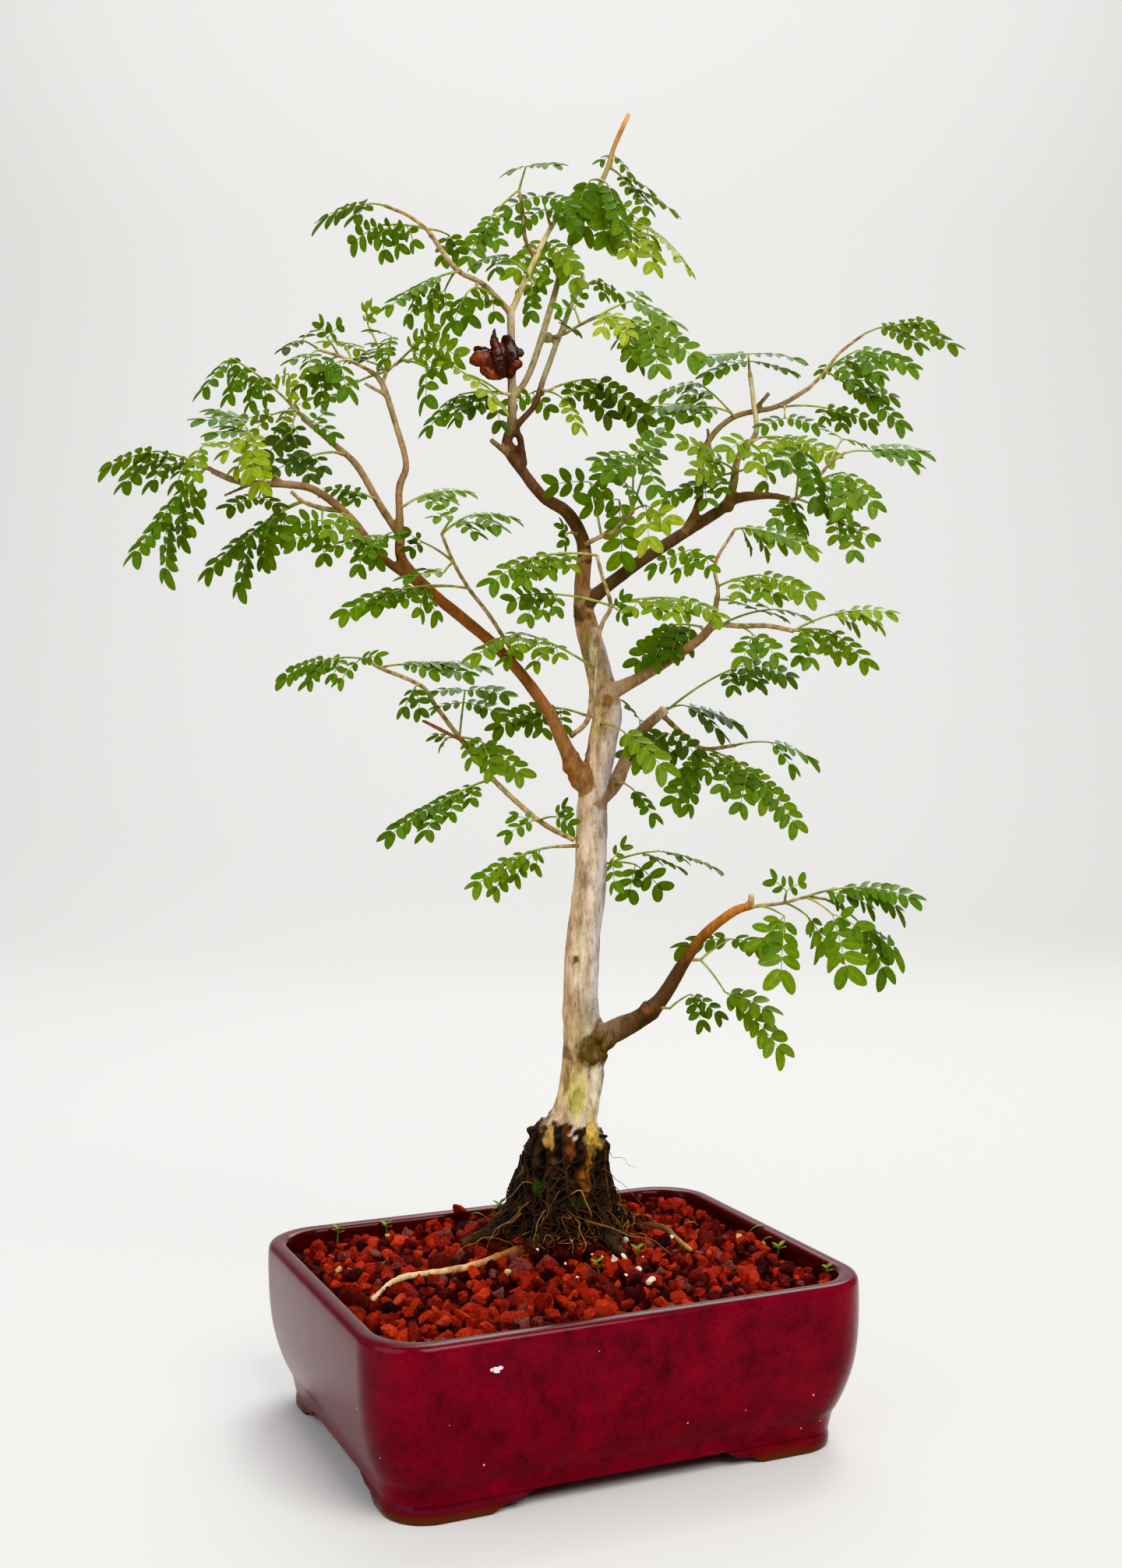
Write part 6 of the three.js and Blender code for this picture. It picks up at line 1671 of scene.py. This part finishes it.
class Skin:
    """The fused wood's skin, which gets its relief and its colours mostly from the nearest route point."""

    def __init__(self, mesh, places, limbs):
        self.mesh = mesh
        self.points = vertex_values(mesh, "co") / MM
        self.normals = vertex_values(mesh, "normal")
        self.nearest = nearest_places(self.points, places[:, :3])
        self.size = np.minimum(places[self.nearest, 3], THICKEST_BARK)
        self.limb = limbs[self.nearest]
        self.across, self.up = front_reading(self.points)
        self.frontal = np.clip(0.5 + FRONTAL_STEEPNESS * (self.normals @ FRONT), 0, 1)
        self.fine = self.lumps(4.2, seed=37)
        self.fibre = self.lumps(3.6, seed=13, upright=0.22)
        offset = self.points - TRUNK_FOOT
        furrows = FLARE_FURROWS * np.arctan2(offset[:, 1], offset[:, 0])
        furrow = np.sin(furrows + FURROW_SWERVE * self.lumps(26, seed=8, upright=0.4))
        self.lie = FURROW_SHARE * furrow + FIBRE_SHARE * self.fibre
        shoulder = FLARE_TOP + 6 * np.clip((4 - self.across) / 14, 0, 1)
        shoulder = shoulder + 3.5 * self.lumps(14, seed=31) + 3 * self.fine
        flare = np.clip((shoulder - self.up) / FLARE_EDGE, 0, 1)
        self.flare = flare * np.clip((FLARE_REACH - from_foot(self.points)) / 8, 0, 1)

    def lumps(self, wavelength, seed, upright=1):
        """Relief over the skin, drawn out along the height where `upright` is under 1."""
        return lumps(self.points * [1, 1, upright], wavelength, seed)

    def distance(self, x, y, half_x, half_y):
        """How far each point is from a front reading, in the half widths and heights of a patch there."""
        return np.hypot((self.across - x) / half_x, (self.up - y) / half_y)

    def roughen(self):
        relief = SWELLS * self.size * self.lumps(16, seed=3)
        relief += RIPPLES * self.size * self.lumps(6, seed=5, upright=0.5)
        relief += self.flare * (FLARE_STEP + FLARE_LIE * self.lie + FLARE_GRAIN * self.fine)
        relief += (self.limb == PALE_ROOT) * PALE_ROOT_LUMPS * self.lumps(7, seed=47)
        knobs = ARM_LUMPS * self.lumps(6.5, seed=43) + ARM_FINE_LUMPS * self.lumps(2.6, seed=44)
        relief += np.isin(self.limb, ROOT_ARMS) * knobs
        rough = 0.5 + self.lumps(5, seed=41) + 0.6 * self.fine
        for x, y, half_x, half_y, rise in ROUGH_SPOTS:
            relief += rise * np.clip(ROUGH_SPOT_REACH - self.distance(x, y, half_x, half_y), 0, 1) * rough
        for x, y, radius, rise in SCARS:
            distance = np.hypot(self.across - x, SCAR_SQUASH * (self.up - y)) + SCAR_WOBBLE * self.fine
            ring = np.exp(-((distance - radius) / (SCAR_EDGE * radius)) ** 2)
            hollow = SCAR_HOLLOW_DEPTH * (distance < SCAR_HOLLOW_SIZE * radius)
            relief += rise * self.frontal * (ring - hollow)
        self.points += self.normals * relief[:, None]
        self.mesh.vertices.foreach_set("co", (self.points * MM).ravel())

    def colour(self, route_colours):
        tint = route_colours[self.nearest]
        on_trunk = (self.limb == "trunk") & (self.up < FORKS_START)
        left = -(self.normals @ turn([1, 0, 0]))
        streak = self.lumps(5, seed=91, upright=0.12) + 0.5 * self.lumps(2.4, seed=92, upright=0.2) - 0.25
        # Painted light: a warm tan on the trunk's side that faces left, and a cool lavender grey on its side
        # that faces right
        tint = blend(tint, "#d2ac84", on_trunk * np.clip(left - 0.1, 0, 1) * SIDE_LIGHT_TINT)
        tint = blend(tint, "#b5b2bc", on_trunk * np.clip(-left - 0.05, 0, 1) * SIDE_LIGHT_TINT)
        tint = blend(tint, "#83764a", on_trunk * np.clip(streak, 0, 1) * STREAK_TINT * self.frontal)
        dark = 0.8 - 0.6 * self.lie - 0.3 * self.fine
        flare_colours = blend(np.array([linear("#3d2616")] * len(tint)), "#090604", dark)
        tint = tint * (1 - self.flare[:, None]) + flare_colours * self.flare[:, None]
        for seed, (x, y, half_x, half_y, colour, strength, front_only) in enumerate(BARK_PATCHES):
            wobble = PATCH_WOBBLE * self.lumps(4.6, 60 + seed, upright=0.5)
            wobble += PATCH_FINE_WOBBLE * self.lumps(1.9, 90 + seed, upright=0.35)
            distance = self.distance(x, y, half_x, half_y) + wobble
            share = np.clip((PATCH_REACH - distance) / PATCH_FADE, 0, 1) * strength
            share *= np.clip(1 - 0.35 * self.fibre, 0, 1)
            if front_only:
                share *= self.frontal
            tint = blend(tint, colour, share)
        layer = self.mesh.color_attributes.new("tint", "FLOAT_COLOR", "POINT")
        layer.data.foreach_set("color", tint.astype(np.float32).ravel())
        self.mesh.polygons.foreach_set("use_smooth", [True] * len(self.mesh.polygons))
        self.mesh.update()


def wriggle(points, amount, random):
    """A root's points, each but the first moved a little at random."""
    moved = np.array(points, float)
    moved[1:] += random.normal(scale=amount, size=moved[1:].shape)
    return moved


def mat_root(random):
    """A root's points: it leaves the flare, sinks to the soil and runs over it, a little to one side."""
    outward = compass(random.uniform(0, 2 * math.pi))
    aside = np.array([-outward[1], outward[0], 0])
    reach = random.uniform(*MAT_ROOT_REACH)
    drift = random.uniform(-MAT_ROOT_DRIFT, MAT_ROOT_DRIFT)
    start = TRUNK_FOOT + outward * random.uniform(*MAT_ROOT_STARTS)
    start[2] = random.uniform(*MAT_ROOT_HEIGHTS)
    rows = []
    for share in np.linspace(0, 1, MAT_ROOT_KNOTS):
        point = start + outward * (reach - MAT_ROOT_MIDDLE) * share + aside * drift * share ** 1.5
        ground = soil_height(point) + MAT_ROOT_LIFT
        point[2] = start[2] * (1 - share) ** 2 + ground * (1 - (1 - share) ** 2)
        rows.append(point)
    rows[-1][2] -= MAT_ROOT_END_SUNK
    return rows


def flare_fibre(wood, random):
    """A fibre's points: it starts on the flare and runs down its surface, a little to one side."""
    angle = random.uniform(0, 2 * math.pi)
    drift = random.normal(scale=FIBRE_DRIFT)
    height = random.uniform(*FIBRE_HEIGHTS)
    reach = FIBRE_SEARCH
    rows = []
    for _ in range(random.integers(*FIBRE_KNOTS)):
        outside = TRUNK_FOOT + reach * compass(angle)
        outside[2] = height
        found, near, normal, _ = wood.closest_point_on_mesh((outside * MM).tolist())
        if not found or height < soil_height(outside):
            break
        rows.append(np.array(near) / MM + np.array(normal) * FIBRE_LIFT)
        height -= FIBRE_DROP
        reach = from_foot(rows[-1]) + FIBRE_SEARCH_PAST
        angle += drift + random.normal(scale=FIBRE_STRAY)
    return rows


def make_fine_roots(material, wood):
    """Hair roots: the loose ones that the front view shows, a mat all round, and the flare's fibres."""
    random = np.random.default_rng(23)
    piece = Piece()

    def root(points, radius, shade):
        fine = smooth_route(points, ROOT_STEP)
        radii = np.linspace(radius, radius * ROOT_TAPER, len(fine))
        piece.add(*tube(fine, radii, THIN_TUBE_SIDES), shade=shade)

    for readings, radius in LOOSE_ROOTS:
        rows = smooth_route([place(reading) for reading in readings], LOOSE_ROOT_KNOT_STEP)
        points = wriggle(rows, LOOSE_ROOT_WRIGGLE, random)
        root(points, radius * LOOSE_ROOT_SCALE, random.uniform(*LOOSE_ROOT_SHADES))
    for _ in range(MAT_ROOTS):
        rows = mat_root(random)
        points = wriggle(rows, MAT_ROOT_WRIGGLE, random)
        root(points, random.uniform(*MAT_ROOT_RADII), random.beta(*MAT_ROOT_SHADE_SPREAD))
    for _ in range(FLARE_FIBRES):
        rows = flare_fibre(wood, random)
        if len(rows) > 2:
            radius = random.uniform(*FIBRE_RADII)
            root(rows, radius, random.beta(*FIBRE_SHADE_SPREAD) * FIBRE_SHADE_SCALE)
    roots = piece.make("fine_roots", [material])
    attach(roots, "root")


# Leaves


def leaflet_template():
    """An oval blade, 1 long and 1 to each side, folded a little on its midrib: points, faces, rims."""
    points = [[0, 0, 0]]
    rims = [0.0]
    for along, wide in zip(LEAFLET_ALONG[1:-1], LEAFLET_WIDE[1:-1]):
        droop = -LEAFLET_DROOP * along ** 2
        edge = LEAFLET_FOLD * wide + droop
        points += [[along, wide, edge], [along, 0, droop], [along, -wide, edge]]
        # The edges' rim of 1 carries the painted edge highlight
        rims += [1.0, 0.0, 1.0]
    points.append([1, 0, -LEAFLET_DROOP])
    rims.append(0.0)
    last = len(points) - 4
    faces = [[0, 2, 1], [0, 3, 2]]
    for first in range(1, last, 3):
        faces += [[first, first + 1, first + 4, first + 3], [first + 1, first + 2, first + 5, first + 4]]
    tip = len(points) - 1
    faces += [[last, last + 1, tip], [last + 1, last + 2, tip]]
    return np.array(points, float), faces, np.array(rims)


LEAFLET = leaflet_template()


def facing(point):
    """Where a blade at a point usually faces: up, to the front and away from the trunk."""
    outward = point - TRUNK_FOOT
    outward[2] = 0
    return unit(UP * FACE_UP + FRONT * FACE_FRONT + unit(outward) * FACE_OUT)


def face_of_fork(one, two, along, usual):
    """The face of the plane of a leaf's end pinnae, or the usual face where they hardly give one."""
    face = np.cross(one, two)
    size = np.linalg.norm(face)
    if size < NARROW_FORK:
        return usual
    face /= size
    on_stalk = abs(face.dot(along))
    on_usual = abs(face.dot(usual))
    if (on_usual < UPRIGHT_BLADE and on_stalk < FLAT_STALK) or on_stalk > STEEP_STALK:
        return usual
    return face * math.copysign(1, face.dot(usual))


def add_leaflet(piece, base, direction, face, length, width, shade):
    template, faces, rims = LEAFLET
    normal = unit(face - direction * face.dot(direction))
    across = np.cross(normal, direction)
    points = (
        base
        + np.outer(template[:, 0] * length, direction)
        + np.outer(template[:, 1] * width / 2, across)
        + np.outer(template[:, 2] * length * LEAFLET_DEPTH, normal)
    )
    piece.add(points, faces, shade=shade, rim=rims)


def add_leaflet_pair(piece, point, ahead, face, spread, size, tone, random):
    """Two leaflets, one to each side of a pinna's rib."""
    upward = unit(face - ahead * face.dot(ahead))
    left = np.cross(upward, ahead)
    for sign in (-1, 1):
        tilt = spread + math.radians(random.uniform(-LEAFLET_TILT_STRAY, LEAFLET_TILT_STRAY))
        direction = ahead * math.cos(tilt) + left * sign * math.sin(tilt)
        direction = unit(direction - upward * random.uniform(*LEAFLET_HANG))
        rolled = upward + left * sign * random.uniform(*LEAFLET_ROLL)
        own_face = unit(rolled + random.normal(scale=LEAFLET_FACE_STRAY, size=3))
        length = size * random.uniform(*LEAFLET_LENGTH_STRAY)
        shade = np.clip(tone + random.normal(scale=TONE_SPREAD), 0, 1)
        width = length * random.uniform(*LEAFLET_WIDTHS)
        add_leaflet(piece, point, direction, own_face, length, width, shade)


def add_pinna(piece, start, tip, face, tone, large, random):
    """An arched rib with its pairs of leaflets, which grow in size towards its tip."""
    length = np.linalg.norm(tip - start)
    pairs = int(np.clip(round(length / LEAFLET_SPACING), *LEAFLET_PAIRS))
    largest = float(np.clip(LEAFLET_BASE_LENGTH + LEAFLET_GROWTH * length, *LEAFLET_LENGTHS))
    if large:
        pairs = max(pairs - 1, LEAFLET_PAIRS[0])
        largest *= LARGE_LEAFLET_SCALE
    reach = length - LEAFLET_PAST_RIB * largest
    curve = arch(start, tip, length * PINNA_ARCH, PINNA_STEPS)
    travelled = length_along(curve)

    def on_curve(distance):
        return np.array([np.interp(distance, travelled, curve[:, axis]) for axis in range(3)])

    knots = 3 * pairs + 1
    rib = np.array([on_curve(distance) for distance in np.linspace(0, reach, knots)])
    piece.add(*tube(rib, np.linspace(RIB_RADIUS, RIB_RADIUS * RIB_TAPER, knots), 4), shade=0.5, slot=1)
    for pair in range(pairs):
        distance = min((pair + 0.6) / (pairs - 0.4), 1) * reach
        ahead = unit(on_curve(distance + PINNA_LOOK) - on_curve(distance - PINNA_LOOK))
        last = pair == pairs - 1
        stray = 0 if last else random.uniform(-LEAFLET_SPREAD_STRAY, LEAFLET_SPREAD_STRAY)
        spread = math.radians((END_LEAFLET_SPREAD if last else LEAFLET_SPREAD) + stray)
        size = largest * (FIRST_LEAFLET_SHARE + (1 - FIRST_LEAFLET_SHARE) * (pair + 1) / pairs)
        add_leaflet_pair(piece, on_curve(distance), ahead, face, spread, size, tone, random)


def add_leaf(piece, base, fork, tips, pairs, tone, random):
    """A leaf: its stalk, and its pairs of pinnae from the fork at its end back along it."""
    length = np.linalg.norm(fork - base)
    stalk = arch(base, fork, length * STALK_ARCH, STALK_STEPS)
    along = unit(stalk[-1] - stalk[-2])
    face = face_of_fork(*[unit(tip - fork) for tip in tips], along, facing(fork))
    reach = max(np.linalg.norm(tip - fork) for tip in tips)
    spacing = min(PINNA_SPACING * reach, PINNAE_SHARE * length / max(pairs - 1, 1))
    thickest, thinnest = [STALK_RADIUS * share for share in STALK_TAPER]
    piece.add(*tube(stalk, np.linspace(thickest, thinnest, STALK_STEPS), 6), shade=0.5, slot=1)
    large = pairs == 1 and reach > LARGE_LEAF_REACH
    tone = float(np.clip(tone + random.normal(scale=TONE_SPREAD), 0, 1))
    for from_end in range(pairs):
        at = (1 - from_end * spacing / length) * (STALK_STEPS - 1)
        knot = np.array([np.interp(at, range(STALK_STEPS), stalk[:, axis]) for axis in range(3)])
        for tip in tips:
            offset = (tip - fork) * (1 - LOWER_PINNA_LOSS * from_end)
            offset = offset - along * LOWER_PINNA_LEAN * from_end * np.linalg.norm(offset)
            add_pinna(piece, knot, knot + offset, face, tone, large, random)


def make_leafy_stem(name, stem, seed, materials):
    random = np.random.default_rng(seed)
    piece = Piece()
    width, shoot, leaves = stem
    points = [place(reading) for reading in shoot]
    rows = [[*point, width * (1 - SHOOT_TAPER * i / len(points)) / 2] for i, point in enumerate(points)]
    fine = smooth_route(rows, SHOOT_STEP)
    joints = 1 + SHOOT_JOINTS * np.sin(np.arange(len(fine)) * 2.3)
    piece.add(*tube(fine[:, :3], fine[:, 3] * joints, 8), shade=0.5, slot=2)
    for at, fork, tip_one, tip_two, pairs, tone in leaves:
        add_leaf(piece, points[at], place(fork), [place(tip_one), place(tip_two)], pairs, tone, random)
    stem_piece = piece.make("foliage_" + name, materials)
    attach(stem_piece, "root")
    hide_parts("leaves_" + name)


# Seed pod


def fold_rings(route, middle):
    """The rings of one fold, its broad side to the front and its ends rounded off."""
    rows = [[*(middle + turn([right, back, up])), half, thick] for right, up, back, half, thick in route]
    fine = smooth_route(rows, POD_STEP)
    centres = fine[:, :3]
    ahead = np.gradient(centres, axis=0)
    travelled = length_along(centres)
    to_end = np.minimum(travelled, travelled[-1] - travelled)
    roundness = np.sqrt(1 - np.clip(1 - to_end / POD_ROUND_END, 0, POD_BLUNTNESS) ** 2)
    angles = circle(POD_SIDES)
    rings = []
    for centre, direction, (half, thick), scale in zip(centres, ahead, fine[:, 3:], roundness):
        broad = unit(np.cross(direction, FRONT))
        thin = unit(np.cross(direction, broad))
        section = np.outer(half * np.cos(angles), broad) + np.outer(thick * np.sin(angles), thin)
        rings.append(centre + scale * section)
    edges = np.abs(np.cos(angles)) ** POD_EDGE_SHARPNESS
    return np.vstack(rings), len(centres), np.tile(edges, len(centres))


def make_pod(material):
    """The curled pod: a fold for each stretch of it that the front view tells apart, wrinkled all over."""
    middle = place(POD_MIDDLE)
    piece = Piece()
    for seed, (route, orange) in enumerate(zip(POD_FOLDS, POD_ORANGE)):
        points, count, edges = fold_rings(route, middle)
        inward = np.repeat(points.reshape(count, POD_SIDES, 3).mean(axis=1), POD_SIDES, axis=0)
        away = points - inward
        away /= np.maximum(np.linalg.norm(away, axis=1), 0.1)[:, None]
        crumple = lumps(points, 3.4, 200 + seed) + 0.6 * lumps(points, 1.5, 230 + seed)
        points = points + away * POD_WRINKLE * crumple[:, None]
        piece.add(points, loft_faces(count, POD_SIDES), shade=orange, rim=edges)
    pod = piece.make("curled_seed_pod", [material])
    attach(pod, "root")
    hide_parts("seed_pod")


# Camera, floor and light


def make_stage():
    """A sweep of pale paper: a floor that curves up into a backdrop."""
    profile = [[FLOOR_FRONT, 0], [FLOOR_BACK, 0]]
    for angle in np.linspace(FLOOR_BEND_START, math.pi / 2, FLOOR_BEND_STEPS):
        bend = FLOOR_BEND * np.array([math.sin(angle), 1 - math.cos(angle)])
        profile.append([FLOOR_BACK + bend[0], bend[1]])
    profile.append([FLOOR_BACK + FLOOR_BEND, BACKDROP_TOP])
    sides = (-FLOOR_HALF_WIDTH, FLOOR_HALF_WIDTH)
    rows = [[turn([x, y, z]) + POT_CENTRE for y, z in profile] for x in sides]
    count = len(profile)
    piece = Piece()
    piece.add(np.vstack(rows), [[i, i + 1, count + i + 1, count + i] for i in range(count - 1)])
    sweep = piece.make("studio_sweep", [paper_material()])


def make_camera():
    camera = bpy.data.cameras.new("camera")
    camera.lens = LENS_MM
    camera.sensor_width = SENSOR_MM
    camera.dof.use_dof = False
    holder = bpy.data.objects.new("camera", camera)
    holder.location = EYE * MM
    holder.rotation_euler = (math.pi / 2 + CAMERA_PITCH, 0, FRONT_TURN)
    bpy.context.scene.collection.objects.link(holder)
    bpy.context.scene.camera = holder


def add_area_light(name, start_mm, aim_mm, size, watts, colour):
    lamp = bpy.data.lights.new(name, "AREA")
    lamp.shape = "SQUARE"
    lamp.size = size
    lamp.energy = watts
    lamp.color = colour
    holder = bpy.data.objects.new(name, lamp)
    start = (turn(start_mm) + POT_CENTRE) * MM
    end = (turn(aim_mm) + POT_CENTRE) * MM
    holder.location = start
    holder.rotation_euler = Vector(end - start).to_track_quat("-Z", "Y").to_euler()
    bpy.context.scene.collection.objects.link(holder)


def make_light():
    world = bpy.data.worlds.new("studio")
    world.use_nodes = True
    background = world.node_tree.nodes["Background"]
    background.inputs["Color"].default_value = SKY_COLOUR
    background.inputs["Strength"].default_value = SKY_STRENGTH
    bpy.context.scene.world = world
    for lamp in LAMPS:
        add_area_light(*lamp)


bpy.context.scene.view_settings.view_transform = "Khronos PBR Neutral"
make_camera()
make_stage()
make_light()
glazed_pot = make_pot(glaze_material())
make_chips(glazed_pot, shaded_material("bare_clay", CHIP_COLOURS, 0.7, 300.0, 0.3))
root_rows = np.vstack([limb_samples(limb) for limb in SURFACE_ROOTS])
make_soil(grit_material(), shaded_material("pale_stone", PALE_STONES, 0.85, 500.0), root_rows)
bark_skin = make_wood(bark_material())
make_fine_roots(shaded_material("root_bark", ROOT_COLOURS, 0.8, 300.0), bark_skin)
make_pod(pod_material())
stalk_material = two_tone_material("leaf_stalk", 260.0, [[0.35, "#50661c"], [0.65, "#8f9140"]])
leaf_materials = [leaf_material(), stalk_material, twig_material()]
make_sprouts(leaf_materials[0])
for number, (stem_name, stem_table) in enumerate(LEAFY_STEMS.items()):
    make_leafy_stem(stem_name, stem_table, 100 + number, leaf_materials)
plastic = two_tone_material("drain_mesh_plastic", 200.0, [[0.3, "#151a18"], [0.7, "#262d29"]])
for node_name in ("drain_mesh_left", "drain_mesh_right"):
    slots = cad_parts[node_name].data.materials
    slots.clear()
    slots.append(plastic)
